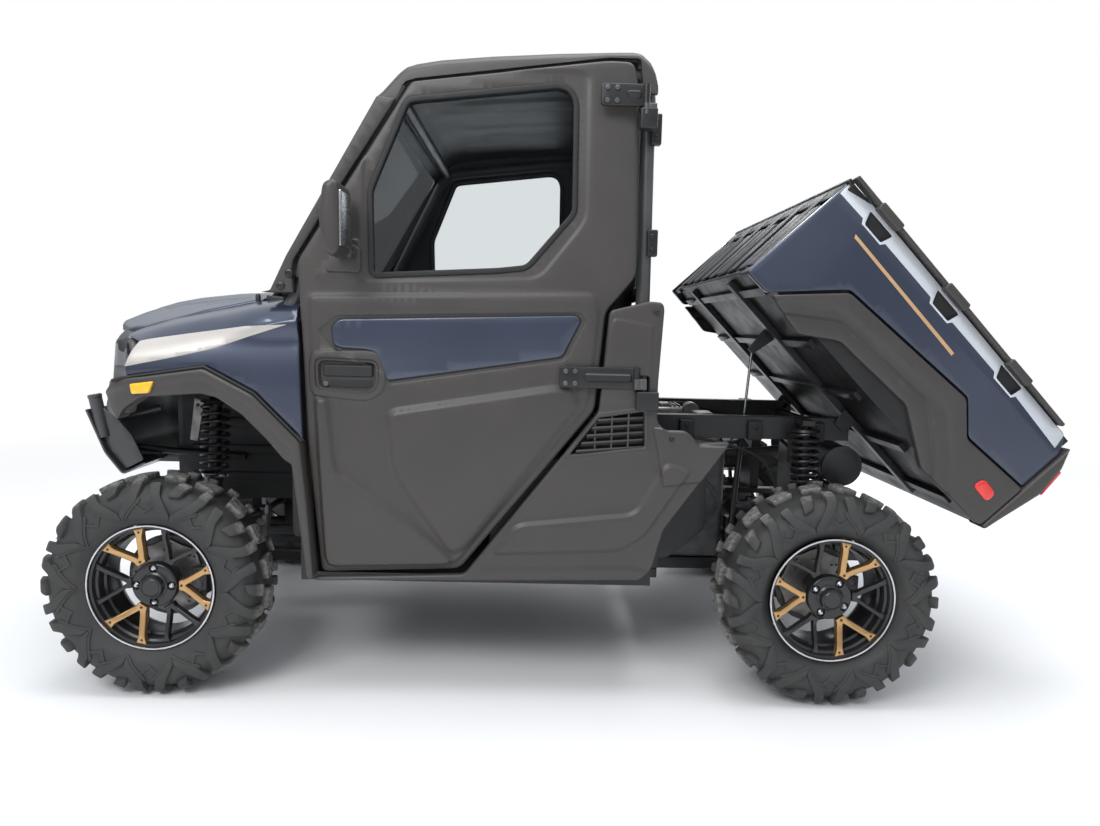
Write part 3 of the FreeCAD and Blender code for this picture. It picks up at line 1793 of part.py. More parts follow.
def make_bed_sides():
    """Painted sides with three tie-down notches each, and the rail and caps along their tops."""
    outside, inner = "-(bed_half_width)", "-(bed_half_width - bed_wall)"
    notches = []
    top = [
        ("bed_front + 10", "bed_top + 0.3"),
        ("bed_rear - 60", "bed_top - 13.2"),
        ("bed_rear - 60", "bed_top + 0.5"),
        ("bed_front + 10", "bed_top + 14"),
    ]
    rails = [plate("top_rail", top, "-(bed_half_width + 2)", f"{inner} + 16")]
    hook = [
        ("-(bed_half_width + 12)", "bed_top - 20"),
        ("-(bed_half_width + 0.3)", "bed_top - 20"),
        ("-(bed_half_width + 0.3)", "bed_top + 2"),
        (f"{inner} + 4", "bed_top + 2"),
        (f"{inner} + 4", "bed_top + 22"),
        ("-(bed_half_width + 4)", "bed_top + 22"),
        ("-(bed_half_width + 12)", "bed_top + 14"),
    ]
    for i, x in enumerate(RAIL_CAPS):
        notch_x = (f"{x} - notch_long / 2", f"{x} + notch_long / 2")
        notch_y = ("-(bed_half_width + 10)", f"{inner} - 12")
        notches.append(box(f"notch_{i}", notch_x, notch_y, ("bed_top - 66", "bed_top - 26")))
        rails.append(section(f"rail_cap_{i}", hook, f"{x} - rail_cap_long / 2", f"{x} + rail_cap_long / 2"))
    painted = cut("painted_side", plate("side_blank", BED_PAINTED, outside, inner), *notches)
    tipped("bed_sides", both("bed_sides", painted))
    tipped("bed_rails", both("bed_rails", fuse("rail_left", *rails)))


def make_bed_skirts():
    """Unpainted skirts round the arch, their inner lip set back."""
    inner = "-(bed_half_width - bed_wall)"
    band = plate("skirt_band", BED_SKIRT, "-(bed_half_width + 18)", inner)
    lip = plate("skirt_lip", SKIRT_LIP, "-(bed_half_width + 6)", inner)
    tipped("bed_skirts", both("bed_skirts", fuse("skirt_left", band, lip)))


def make_bed_frame():
    """Rails and ribs under the box, the pivot lugs with their pins, and the strut's lug."""
    pieces = []
    under = "bed_floor - 14"
    for side in (-1, 1):
        y = f"{side} * upper_rail_offset"
        rail_y, rail_z = (f"{y} - 20", f"{y} + 20"), ("upper_rail_top + 6", under)
        pieces.append(box(f"bed_rail_{side + 1}", ("bed_front + 35", "bed_rear - 40"), rail_y, rail_z))
        low, high = (f"{y} - 34", f"{y} - 26") if side < 0 else (f"{y} + 26", f"{y} + 34")
        lug = [
            ("bed_pivot_x - 35", "bed_floor - 20"),
            ("bed_pivot_x - 20", "bed_pivot_level - 20"),
            ("bed_pivot_x + 20", "bed_pivot_level - 20"),
            ("bed_pivot_x + 35", "bed_floor - 20"),
        ]
        pieces.append(plate(f"bed_lug_{side + 1}", lug, low, high))
        near, far = (f"{y} - 34", f"{y} - 10") if side < 0 else (f"{y} + 10", f"{y} + 34")
        ends = [("bed_pivot_x", end, "bed_pivot_level") for end in (near, far)]
        pieces.append(rod(f"bed_pin_{side + 1}", *ends, "pivot_radius - 0.8", 10))
    strut_lug = [
        ("wheelbase - 265", "bed_floor - 16"),
        ("wheelbase - 250", "bed_floor - 116"),
        ("wheelbase - 224", "bed_floor - 116"),
        ("wheelbase - 209", "bed_floor - 16"),
    ]
    pieces.append(plate("strut_lug", strut_lug, "-(strut_y + 12)", "-(strut_y + 5.3)"))
    for i in range(5):
        x = f"bed_front + 75 + {i} * 225"
        pieces.append(box(f"bed_rib_{i}", (x, f"{x} + 30"), ("-640", "640"), ("bed_floor - 30", under)))
    tipped("bed_frame", fuse("bed_frame", *pieces))


def make_tail():
    """Tailgate with its pressed panel and handle, the tail posts, and the lamps and reflectors."""
    inner = "bed_half_width - bed_wall"
    outer_face = "bed_rear + tailgate_thick"
    gate_z = ("bed_floor - 10", "bed_top - 30")
    gate = box("gate_core", ("bed_rear", outer_face), (f"-({inner} - 40)", f"{inner} - 40"), gate_z)
    panels = []
    for side in (-1, 1):
        panel_y = ("-560", "-110") if side < 0 else ("110", "560")
        panel_z = ("bed_floor + 40", "bed_top - 90")
        panels.append(
            box(f"gate_panel_{side + 1}", (f"{outer_face} - 7", f"{outer_face} + 5"), panel_y, panel_z)
        )
    grip = (("-70", "70"), ("bed_top - 96", "bed_top - 56"))
    panels.append(box("gate_handle_recess", (f"{outer_face} - 16", f"{outer_face} + 5"), *grip))
    tipped("tailgate", cut("tailgate", gate, *panels))
    post = [
        ("bed_rear + 0.3", "1236"),
        ("bed_rear + 34", "1171"),
        ("tail_reach", "1072"),
        ("bed_rear + 25", "931"),
        ("bed_rear + 17", "876"),
        ("bed_rear + 0.3", "876"),
    ]
    tipped(
        "tail_posts",
        both("tail_posts", plate("tail_post", post, "-(bed_half_width + 16)", f"-({inner} - 34)")),
    )
    lens = [
        ("bed_rear + 35", "1168"),
        ("tail_reach + 0.6", "1076"),
        ("tail_reach + 8", "1076"),
        ("bed_rear + 43", "1168"),
    ]
    lamp = plate("tail_lens", lens, "-(bed_half_width + 10)", f"-({inner} - 24)")
    ends = [("bed_rear - 85", f"-(bed_half_width + {out})", "955") for out in (22, 18.3)]
    reflector = rod("side_reflector", *ends, 16, 12)
    tipped("tail_lamps", both("tail_lamps", group("tail_lights", lamp, reflector)))


def make_strut():
    """The gas strut under the bed: its cylinder on the frame, its rod to the bed."""
    foot = ("strut_foot_x", "-(strut_y)", "strut_foot_level")
    eye = ("strut_eye_x", "-(strut_y)", "strut_eye_level")
    a, b = point(*foot), point(*eye)
    axis = (b - a).normalize()
    offset = Vector(number("front_axle"), 0, 0)

    def along(distance):
        p = a + axis * number(distance) - offset
        return (str(p.x), str(p.y), str(p.z))

    tube = rod("strut_tube", along("0"), along("strut_body_length"), "strut_body_radius")
    bore = rod("strut_bore", along("10"), along("strut_body_length + 5"), "strut_rod_radius + 0.3")
    node("strut_cylinder", cut("strut_cylinder", tube, bore))
    slide = rod("strut_rod_bar", along("strut_body_length - 15"), eye, "strut_rod_radius")
    ring = rod(
        "strut_eye",
        ("strut_eye_x", "-(strut_y + 5)", "strut_eye_level"),
        ("strut_eye_x", "-(strut_y - 5)", "strut_eye_level"),
        "strut_rod_radius + 6",
    )
    node("strut_rod", fuse("strut_rod", slide, ring))


BUILDERS = (
    make_tyres,
    make_wheels,
    make_knuckles,
    make_steering,
    make_suspension,
    make_shocks,
    make_axle_shafts,
    make_driveline,
    make_main_frame,
    make_front_frame,
    make_rear_frame,
    make_cage,
    make_roof,
    make_screens,
    make_tub,
    make_interior,
    make_steering_wheel,
    make_doors,
    make_side_panels,
    make_fenders,
    make_flares,
    make_fascia,
    make_hood,
    make_bumper,
    make_lamps,
    make_bed_box,
    make_bed_sides,
    make_bed_skirts,
    make_bed_frame,
    make_tail,
    make_strut,
)

for build in BUILDERS:
    build()

doc.recompute()
for obj in doc.Objects:
    if {"Invalid", "Error"} & set(obj.State):
        raise RuntimeError(f"{obj.Label} did not compute: {obj.State}")
for label, piece in NODES.items():
    if piece.Shape.isNull() or not piece.Shape.isValid() or not piece.Shape.Solids:
        raise RuntimeError(f"{label} has no valid solid")

os.makedirs("parts", exist_ok=True)
for label, piece in NODES.items():
    piece.Shape.exportStep(f"parts/{label}.step")
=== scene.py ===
"""Finished look of a side by side utility vehicle with a full cab and a raised tipping bed.

Every x below is measured backwards from the front axle, every y from the middle plane with the
left side negative, and every z up from the ground, all in metres.
"""
from __future__ import annotations

import json
import logging
import math
from collections.abc import Callable
from dataclasses import dataclass, field
from enum import Enum

import bmesh
import bpy
import numpy as np
from mathutils import Matrix, Vector
from mathutils.geometry import delaunay_2d_cdt

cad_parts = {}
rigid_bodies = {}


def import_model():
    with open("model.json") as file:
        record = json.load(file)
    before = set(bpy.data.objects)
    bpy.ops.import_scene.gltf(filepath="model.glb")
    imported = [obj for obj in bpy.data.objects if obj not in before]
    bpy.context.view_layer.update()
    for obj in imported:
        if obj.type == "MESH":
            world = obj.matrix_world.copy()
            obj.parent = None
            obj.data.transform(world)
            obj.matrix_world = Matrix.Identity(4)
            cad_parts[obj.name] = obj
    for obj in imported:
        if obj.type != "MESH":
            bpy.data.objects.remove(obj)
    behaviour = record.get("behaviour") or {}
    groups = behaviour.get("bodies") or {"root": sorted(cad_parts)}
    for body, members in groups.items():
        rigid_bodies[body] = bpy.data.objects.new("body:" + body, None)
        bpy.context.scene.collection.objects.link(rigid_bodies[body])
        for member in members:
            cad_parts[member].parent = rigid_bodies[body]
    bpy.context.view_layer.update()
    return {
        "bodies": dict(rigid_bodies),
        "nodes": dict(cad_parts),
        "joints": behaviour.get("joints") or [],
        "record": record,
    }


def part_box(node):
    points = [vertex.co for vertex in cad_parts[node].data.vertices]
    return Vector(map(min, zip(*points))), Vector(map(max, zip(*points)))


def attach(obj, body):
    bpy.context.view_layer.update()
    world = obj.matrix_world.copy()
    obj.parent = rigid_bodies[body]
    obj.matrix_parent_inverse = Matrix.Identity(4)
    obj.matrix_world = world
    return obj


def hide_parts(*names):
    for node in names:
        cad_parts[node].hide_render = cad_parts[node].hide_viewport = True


LOG = logging.getLogger("utility_vehicle")
# Radius of a profile's point that lies on its own axis.
AXIS = 1e-5
# Distance from the front axle back to the rear one.
WHEELBASE = 2.08
Array = np.ndarray
Pairs = list[tuple[float, float]]
Placing = Callable[[Array, Array], Array]


class Side(Enum):
    """Left or right half of the vehicle; the value is the sign of y there."""

    LEFT = -1
    RIGHT = 1

    @property
    def word(self) -> str:
        """The side's name in lower case."""
        return self.name.lower()


# Surfaces

@dataclass
class Surface:
    """A mesh being worked out: points with four-sided and three-sided faces."""

    points: Array
    quads: Array = field(default_factory=lambda: np.zeros((0, 4), int))
    tris: Array = field(default_factory=lambda: np.zeros((0, 3), int))

    def turned(self, matrix: Matrix | Array) -> Surface:
        """The surface after a 4 x 4 placement.

        Args:
            matrix: Rotation and offset; one that mirrors also turns the faces round.
        Returns:
            The placed surface.
        """
        place = np.array(matrix, float)
        points = self.points @ place[:3, :3].T + place[:3, 3]
        if np.linalg.det(place[:3, :3]) < 0:
            return Surface(points, self.quads[:, ::-1], self.tris[:, ::-1])
        return Surface(points, self.quads, self.tris)

    def moved(self, x: float = 0.0, y: float = 0.0, z: float = 0.0) -> Surface:
        """The surface shifted by x, y and z."""
        return Surface(self.points + np.array([x, y, z]), self.quads, self.tris)

    def mirrored(self) -> Surface:
        """The same surface on the other side of the middle plane."""
        return self.turned(np.diag([1.0, -1.0, 1.0, 1.0]))

    def on(self, side: Side) -> Surface:
        """The surface as it is on the left, or mirrored for the right."""
        return self if side is Side.LEFT else self.mirrored()


def joined(parts: list[Surface]) -> Surface:
    """Several surfaces as one, their faces renumbered by running totals.

    Args:
        parts: The surfaces.
    Returns:
        One surface that holds them all.
    """
    starts = np.cumsum([0] + [len(p.points) for p in parts[:-1]])
    return Surface(
        np.vstack([p.points for p in parts]),
        np.vstack([p.quads + s for p, s in zip(parts, starts)]).astype(int),
        np.vstack([p.tris + s for p, s in zip(parts, starts)]).astype(int))


def raised(shape: Placing, proud: float) -> Placing:
    """A placing of points and heights, with everything moved outwards by proud."""
    return lambda points, lift: shape(points, lift + proud)


def paired(surface: Surface) -> Surface:
    """A surface together with its mirror image on the other side."""
    return joined([surface, surface.mirrored()])


def shift(x: float, y: float, z: float) -> Matrix:
    """A placement that moves by x, y and z."""
    return Matrix.Translation((x, y, z))


def rotation(degrees: float, axis: str) -> Matrix:
    """A placement that turns about an axis through the origin."""
    return Matrix.Rotation(math.radians(degrees), 4, axis)


def repeated(part: Surface, places: list[Matrix | Array]) -> Surface:
    """A surface copied to each 4 x 4 placement."""
    return joined([part.turned(m) for m in places])


def grid(points: Array, wrap_rows: bool = False, wrap_columns: bool = False) -> Surface:
    """Quads between the neighbours of a grid of points.

    Args:
        points: Rows by columns by 3.
        wrap_rows: Join the last row to the first.
        wrap_columns: Join the last column to the first.
    Returns:
        The surface.
    """
    rows, columns = points.shape[:2]
    index = np.arange(rows * columns).reshape(rows, columns)
    if wrap_rows:
        index = np.vstack([index, index[:1]])
    if wrap_columns:
        index = np.hstack([index, index[:, :1]])
    quads = np.stack([index[:-1, :-1], index[1:, :-1], index[1:, 1:], index[:-1, 1:]], -1)
    return Surface(points.reshape(-1, 3), quads.reshape(-1, 4))


def lathe(profile: Pairs | Array, steps: int = 96, closed: bool = False) -> Surface:
    """A profile turned about the Y axis: each (y, r) becomes (r sin a, y, r cos a) for a round the circle.

    Args:
        profile: Pairs of y and radius.
        steps: Number of angles.
        closed: Join the profile's end to its start.
    Returns:
        The surface of revolution.
    """
    y, r = np.array(profile, float).T
    angle = np.arange(steps) * 2 * np.pi / steps
    x = r[:, None] * np.sin(angle)
    z = r[:, None] * np.cos(angle)
    return grid(np.stack([x, np.broadcast_to(y[:, None], x.shape), z], -1), closed, True)


def disc(y: float, radius: float, edge: float, depth: float, steps: int = 48) -> Surface:
    """A turned boss: a flat face at y with a rounded edge and a straight wall of that depth behind it."""
    bend = np.linspace(0, np.pi / 2, 5)
    sign = -1.0 if depth > 0 else 1.0
    rim = [(y - sign * edge * (1 - math.cos(b)), radius - edge * (1 - math.sin(b))) for b in bend]
    profile = [(y, AXIS)] + rim + [(y + depth, radius), (y + depth, AXIS)]
    return lathe(profile, steps)


def tube(path: Array | Pairs, radius: float | Array, sides: int = 12, loop: bool = False) -> Surface:
    """A round section along a path: centre + r (cos a . side + sin a . up), side and up square to it.

    Args:
        path: The centre line's points.
        radius: One radius, or one for each point.
        sides: Flats round the section.
        loop: Join the end to the start.
    Returns:
        The tube, closed at its ends unless it is a loop.
    """
    line = np.array(path, float)
    if loop:
        ahead = np.roll(line, -1, 0) - np.roll(line, 1, 0)
    else:
        ahead = np.gradient(line, axis=0)
    ahead /= np.linalg.norm(ahead, axis=1)[:, None]
    side = np.zeros_like(line)
    start = np.eye(3)[np.argmin(np.abs(ahead[0]))]
    for i, way in enumerate(ahead):
        start = start - way * (start @ way)
        start = start / np.linalg.norm(start)
        side[i] = start
    up = np.cross(ahead, side)
    angle = np.arange(sides) * 2 * np.pi / sides
    reach = np.broadcast_to(np.asarray(radius, float), (len(line),))[:, None, None]
    ring = np.cos(angle)[None, :, None] * side[:, None] + np.sin(angle)[None, :, None] * up[:, None]
    body = grid(line[:, None] + reach * ring, loop, True)
    if loop:
        return body
    count = len(line) * sides
    middle = np.vstack([line[0], line[-1]])
    first = np.arange(sides)
    last = first + count - sides
    fan = np.vstack([
        np.stack([np.full(sides, count), first, np.roll(first, -1)], -1),
        np.stack([np.full(sides, count + 1), np.roll(last, -1), last], -1)])
    return Surface(np.vstack([body.points, middle]), body.quads, fan)


def block(low: tuple, high: tuple, radius: float, steps: int = 3) -> Surface:
    """A block with rounded edges: a cube's points pulled to the inner block, then out by the radius.

    Args:
        low: One corner.
        high: The corner opposite.
        radius: Radius of the edges.
        steps: Facets in each eighth of a turn.
    Returns:
        The closed surface.
    """
    half = np.abs(np.array(high, float) - np.array(low, float)) / 2
    middle = (np.array(high, float) + np.array(low, float)) / 2
    radius = min(radius, 0.999 * half.min())
    slope = radius * np.tan(np.linspace(0, np.pi / 4, steps + 1))
    faces = []
    for axis in range(3):
        a, b = (axis + 1) % 3, (axis + 2) % 3
        across = [
            np.concatenate([-(half[k] - radius) - slope[::-1], half[k] - radius + slope]) for k in (a, b)]
        u, v = np.meshgrid(*across, indexing="ij")
        for sign in (-1.0, 1.0):
            points = np.zeros(u.shape + (3,))
            points[..., a], points[..., b], points[..., axis] = u, v, sign * half[axis]
            core = np.clip(points, -(half - radius), half - radius)
            out = points - core
            points = core + out / np.linalg.norm(out, axis=-1)[..., None] * radius
            face = grid(points)
            faces.append(face if sign > 0 else Surface(face.points, face.quads[:, ::-1]))
    return joined(faces).moved(*middle)


def curve_through(knots: Pairs, steps: int) -> Array:
    """A smooth open line through knots: a cubic between each two, sloped by the knots beside them.

    Args:
        knots: The points, of any dimension.
        steps: Points in each span.
    Returns:
        The line's points.
    """
    line = np.array(knots, float)
    slope = np.gradient(line, axis=0)
    t = np.linspace(0, 1, steps, endpoint=False)[None, :, None]
    a, b, da, db = line[:-1, None], line[1:, None], slope[:-1, None], slope[1:, None]
    span = a * (
        2 * t**3 - 3 * t**2
        + 1) + da * (t**3 - 2 * t**2 + t) + b * (3 * t**2 - 2 * t**3) + db * (t**3 - t**2)
    return np.vstack([span.reshape(-1, line.shape[1]), line[-1:]])


# Pressed panels

def softened(corners: Pairs, radius: float, steps: int = 5) -> Array:
    """A closed outline with each corner replaced by a parabola that starts and ends radius away from it."""
    here = np.array(corners, float)
    back, ahead = np.roll(here, 1, 0) - here, np.roll(here, -1, 0) - here
    reach_back = np.minimum(radius, 0.45 * np.linalg.norm(back, axis=1))[:, None]
    reach_ahead = np.minimum(radius, 0.45 * np.linalg.norm(ahead, axis=1))[:, None]
    a = here + back / np.linalg.norm(back, axis=1)[:, None] * reach_back
    b = here + ahead / np.linalg.norm(ahead, axis=1)[:, None] * reach_ahead
    t = np.linspace(0, 1, steps)[None, :, None]
    bend = (1 - t) ** 2 * a[:, None] + 2 * t * (1 - t) * here[:, None] + t**2 * b[:, None]
    return bend.reshape(-1, 2)


def spaced(loop: Array, gap: float) -> Array:
    """Points at an even spacing of about gap along each run of a closed outline, its corners kept."""
    following = np.roll(loop, -1, 0)
    runs = np.maximum(1, np.ceil(np.linalg.norm(following - loop, axis=1) / gap).astype(int))
    start = np.repeat(loop, runs, 0)
    step = np.repeat((following - loop) / runs[:, None], runs, 0)
    count = np.arange(runs.sum()) - np.repeat(np.cumsum(runs) - runs, runs)
    return start + step * count[:, None]


def inside(points: Array, loop: Array) -> Array:
    """Whether each point lies within a closed outline, by counting the edges to its right."""
    a, b = loop[None], np.roll(loop, -1, 0)[None]
    p = points[:, None]
    spans = (a[..., 1] > p[..., 1]) != (b[..., 1] > p[..., 1])
    rise = np.where(b[..., 1] == a[..., 1], 1e-12, b[..., 1] - a[..., 1])
    cross = a[..., 0] + (p[..., 1] - a[..., 1]) * (b[..., 0] - a[..., 0]) / rise
    return (np.sum(spans & (p[..., 0] < cross), 1) % 2).astype(bool)


def depth_in(points: Array, loop: Array) -> Array:
    """Distance of each point from an outline, positive within it."""
    a, b = loop[None], np.roll(loop, -1, 0)[None]
    along = b - a
    p = points[:, None]
    share = np.clip(np.sum((p - a) * along, -1) / np.maximum(np.sum(along**2, -1), 1e-12), 0, 1)
    away = np.min(np.linalg.norm(p - a - share[..., None] * along, axis=-1), 1)
    return np.where(inside(points, loop), away, -away)


def shifted(loop: Array, distance: float) -> Array:
    """An outline moved inwards by a distance along the bisector at each of its points."""
    ahead = np.roll(loop, -1, 0) - np.roll(loop, 1, 0)
    ahead /= np.maximum(np.linalg.norm(ahead, axis=1)[:, None], 1e-9)
    x, y = loop.T
    turn = 1.0 if np.sum(x * np.roll(y, -1) - np.roll(x, -1) * y) > 0 else -1.0
    return loop + turn * distance * np.stack([-ahead[:, 1], ahead[:, 0]], -1)


def smooth(share: Array) -> Array:
    """Zero below 0, one above 1, and an even S between them."""
    t = np.clip(share, 0, 1)
    return t * t * (3 - 2 * t)


@dataclass(frozen=True)
class Stamp:
    """A raised or sunk field of a panel."""

    outline: Array
    height: float
    slope: float = 0.008

    def lift(self, points: Array) -> Array:
        """Height at each point: full inside the slope that follows the outline, nothing outside it."""
        return self.height * smooth(depth_in(points, self.outline) / self.slope)


def fields(rows: list[tuple], run: Callable[[Pairs], Array] | None = None) -> list[Stamp]:
    """Stamped fields from rows of corners, corner radius, height and slope; run maps the corners."""
    return [
        Stamp(softened(run(c) if run else c, radius), height, slope) for c, radius, height, slope in rows]


@dataclass
class Panel:
    """A pressed sheet over a plane outline, with holes, stamped fields and a rolled edge."""

    outline: Array
    holes: list[Array] = field(default_factory=list)
    stamps: list[Stamp] = field(default_factory=list)
    thickness: float = 0.004
    roll: float = 0.004
    gap: float = 0.02
    bends: tuple[float, ...] = (0.12, 0.4, 1.0)

    def loops(self) -> list[Array]:
        """Every line that the triangles must follow: edges, rolled edges and both sides of each slope."""
        found = []
        for i, edge in enumerate([self.outline, *self.holes]):
            dense = spaced(edge, self.gap * 0.5)
            inward = 1.0 if i == 0 else -1.0
            found.append(dense)
            found.extend(shifted(dense, inward * self.roll * share) for share in self.bends)
        for stamp in self.stamps:
            dense = spaced(stamp.outline, self.gap * 0.4)
            found.extend(shifted(dense, stamp.slope * share) for share in (0.0, 0.25, 0.75, 1.0))
        return found

    def flat(self) -> tuple[Array, Array]:
        """The panel's plane points and triangles, from a Delaunay net kept to the outline."""
        low, high = self.outline.min(0), self.outline.max(0)
        steps = np.maximum(2, np.ceil((high - low) / self.gap).astype(int))
        u, v = np.meshgrid(*[np.linspace(low[k], high[k], steps[k]) for k in (0, 1)], indexing="ij")
        field_points = np.stack([u.ravel(), v.ravel()], -1)
        field_points = field_points[depth_in(field_points, self.outline) > self.roll * 1.5]
        loops = self.loops()
        kept = []
        for i, loop in enumerate(loops):
            within = depth_in(loop, self.outline) > (-1e-6 if i == 0 else 1e-5)
            kept.append(loop if i == 0 else loop[within])
        points = np.vstack(kept + [field_points])
        count = len(kept[0])
        edges = [(k, (k + 1) % count) for k in range(count)]
        start = count
        for i, loop in enumerate(kept[1:], 1):
            size = len(loop)
            if size == len(loops[i]) and size > 2:
                edges.extend((start + k, start + (k + 1) % size) for k in range(size))
            start += size
        net = delaunay_2d_cdt([tuple(p) for p in points], edges, [], 0, 1e-6, False)
        flat_points = np.array([tuple(p) for p in net[0]])
        tris = np.array(net[2])
        middle = flat_points[tris].mean(1)
        keep = inside(middle, kept[0])
        for hole in self.holes:
            keep &= ~inside(middle, hole)
        tris = tris[keep]
        used = np.unique(tris)
        order = np.full(len(flat_points), -1)
        order[used] = np.arange(len(used))
        return flat_points[used], order[tris]

    def lift(self, points: Array) -> Array:
        """Height of the sheet's face: the stamped fields less the quarter round of its rolled edges."""
        away = depth_in(points, self.outline)
        for hole in self.holes:
            away = np.minimum(away, -depth_in(points, hole))
        away = np.clip(away, 0, self.roll)
        drop = self.roll - np.sqrt(np.maximum(self.roll**2 - (self.roll - away) ** 2, 0))
        return sum((s.lift(points) for s in self.stamps), np.zeros(len(points))) - drop

    def solid(self, shape: Placing) -> Surface:
        """The sheet with its thickness, carried to its place.

        Args:
            shape: Function of plane points and heights that gives points in space.
        Returns:
            A closed surface: face, back and the walls that join their borders.
        """
        points, tris = self.flat()
        lift = self.lift(points)
        face = shape(points, lift)
        depth = np.minimum(lift, 0) - self.thickness
        back = shape(points, depth)
        count = len(points)
        borders = np.sort(np.vstack([tris[:, [0, 1]], tris[:, [1, 2]], tris[:, [2, 0]]]), 1)
        single, times = np.unique(borders, axis=0, return_counts=True)
        directed = np.vstack([tris[:, [0, 1]], tris[:, [1, 2]], tris[:, [2, 0]]])
        keys = {tuple(e) for e in single[times == 1]}
        rim = np.array([e for e in directed if tuple(sorted(e)) in keys])
        walls = np.stack([rim[:, 1], rim[:, 0], rim[:, 0] + count, rim[:, 1] + count], -1)
        return Surface(np.vstack([face, back]), walls, np.vstack([tris, tris[:, ::-1] + count]))


# Node wrappers for materials

@dataclass
class Value:
    """A socket whose operators add Math nodes."""

    tree: bpy.types.NodeTree
    socket: bpy.types.NodeSocket

    def _math(self, operation: str, *inputs: Value | float) -> Value:
        """A Math node of that operation on the inputs."""
        node = self.tree.nodes.new("ShaderNodeMath")
        node.operation = operation
        for slot, item in zip(node.inputs, inputs):
            if isinstance(item, Value):
                self.tree.links.new(item.socket, slot)
            else:
                slot.default_value = item
        return Value(self.tree, node.outputs[0])

    def __add__(self, other: Value | float) -> Value:
        """Sum."""
        return self._math("ADD", self, other)

    def __radd__(self, other: float) -> Value:
        """Sum, reflected."""
        return self._math("ADD", other, self)

    def __sub__(self, other: Value | float) -> Value:
        """Difference."""
        return self._math("SUBTRACT", self, other)

    def __rsub__(self, other: float) -> Value:
        """Difference, reflected."""
        return self._math("SUBTRACT", other, self)

    def __mul__(self, other: Value | float) -> Value:
        """Product."""
        return self._math("MULTIPLY", self, other)

    def __rmul__(self, other: float) -> Value:
        """Product, reflected."""
        return self._math("MULTIPLY", other, self)

    def root(self) -> Value:
        """Square root."""
        return self._math("SQRT", self)

    def clamped(self) -> Value:
        """The value kept between 0 and 1."""
        return self._math("MAXIMUM", self._math("MINIMUM", self, 1.0), 0.0)


class Shade:
    """One material's node tree, with short ways to add what finishes need."""

    def __init__(self, name: str) -> None:
        """Start an empty material.

        Args:
            name: The material's name.
        """
        self.material = bpy.data.materials.new(name)
        self.material.use_nodes = True
        self.tree = self.material.node_tree
        self.tree.nodes.clear()
        self.out = self.tree.nodes.new("ShaderNodeOutputMaterial")

    def add(self, kind: str, settings: dict | None = None, **sockets) -> bpy.types.Node:
        """Add a node.

        Args:
            kind: The node's type.
            settings: Its own properties, set first.
            sockets: Values or links of its inputs, by name with underscores for spaces.
        Returns:
            The node.
        """
        node = self.tree.nodes.new(kind)
        for key, item in (settings or {}).items():
            setattr(node, key, item)
        for key, item in sockets.items():
            slot = node.inputs[key.replace("_", " ")]
            if isinstance(item, Value):
                self.tree.links.new(item.socket, slot)
            elif isinstance(item, bpy.types.NodeSocket):
                self.tree.links.new(item, slot)
            else:
                slot.default_value = item
        return node

    def place(self) -> bpy.types.NodeSocket:
        """The point on the object, in metres."""
        return self.add("ShaderNodeTexCoord").outputs["Object"]

    def noise(self, scale: float, detail: float = 3.0, rough: float = 0.55) -> Value:
        """Cloudy noise over the object's own coordinates."""
        node = self.add(
            "ShaderNodeTexNoise", Vector=self.place(), Scale=scale, Detail=detail, Roughness=rough)
        return Value(self.tree, node.outputs["Fac"])

    def cells(self, scale: float) -> Value:
        """Distance to the nearest of scattered points, for grain and flakes."""
        node = self.add("ShaderNodeTexVoronoi", Vector=self.place(), Scale=scale)
        return Value(self.tree, node.outputs["Distance"])

    def ramp(self, factor: Value, low: float, high: float) -> Value:
        """The factor stretched so that low becomes 0 and high becomes 1."""
        node = self.add(
            "ShaderNodeMapRange", {"interpolation_type": "SMOOTHSTEP"}, Value=factor, From_Min=low,
            From_Max=high)
        return Value(self.tree, node.outputs["Result"])

    def blend(
        self, factor: Value, first: tuple | bpy.types.NodeSocket, second: tuple) -> bpy.types.NodeSocket:
        """A colour between two by a factor; the first may be another node's output."""
        node = self.tree.nodes.new("ShaderNodeMix")
        node.data_type = "RGBA"
        low, high = (slot for slot in node.inputs if slot.type == "RGBA")
        self.tree.links.new(factor.socket, node.inputs[0])
        if isinstance(first, tuple):
            low.default_value = (*first, 1.0)
        else:
            self.tree.links.new(first, low)
        high.default_value = (*second, 1.0)
        return next(slot for slot in node.outputs if slot.type == "RGBA")

    def bump(self, height: Value, distance: float, strength: float = 1.0) -> bpy.types.NodeSocket:
        """A normal bent by a height in metres."""
        node = self.add("ShaderNodeBump", Height=height, Distance=distance, Strength=strength)
        return node.outputs["Normal"]

    def finish(self, shader: bpy.types.Node) -> bpy.types.Material:
        """Send the shader to the output and give the material."""
        self.tree.links.new(shader.outputs[0], self.out.inputs["Surface"])
        return self.material


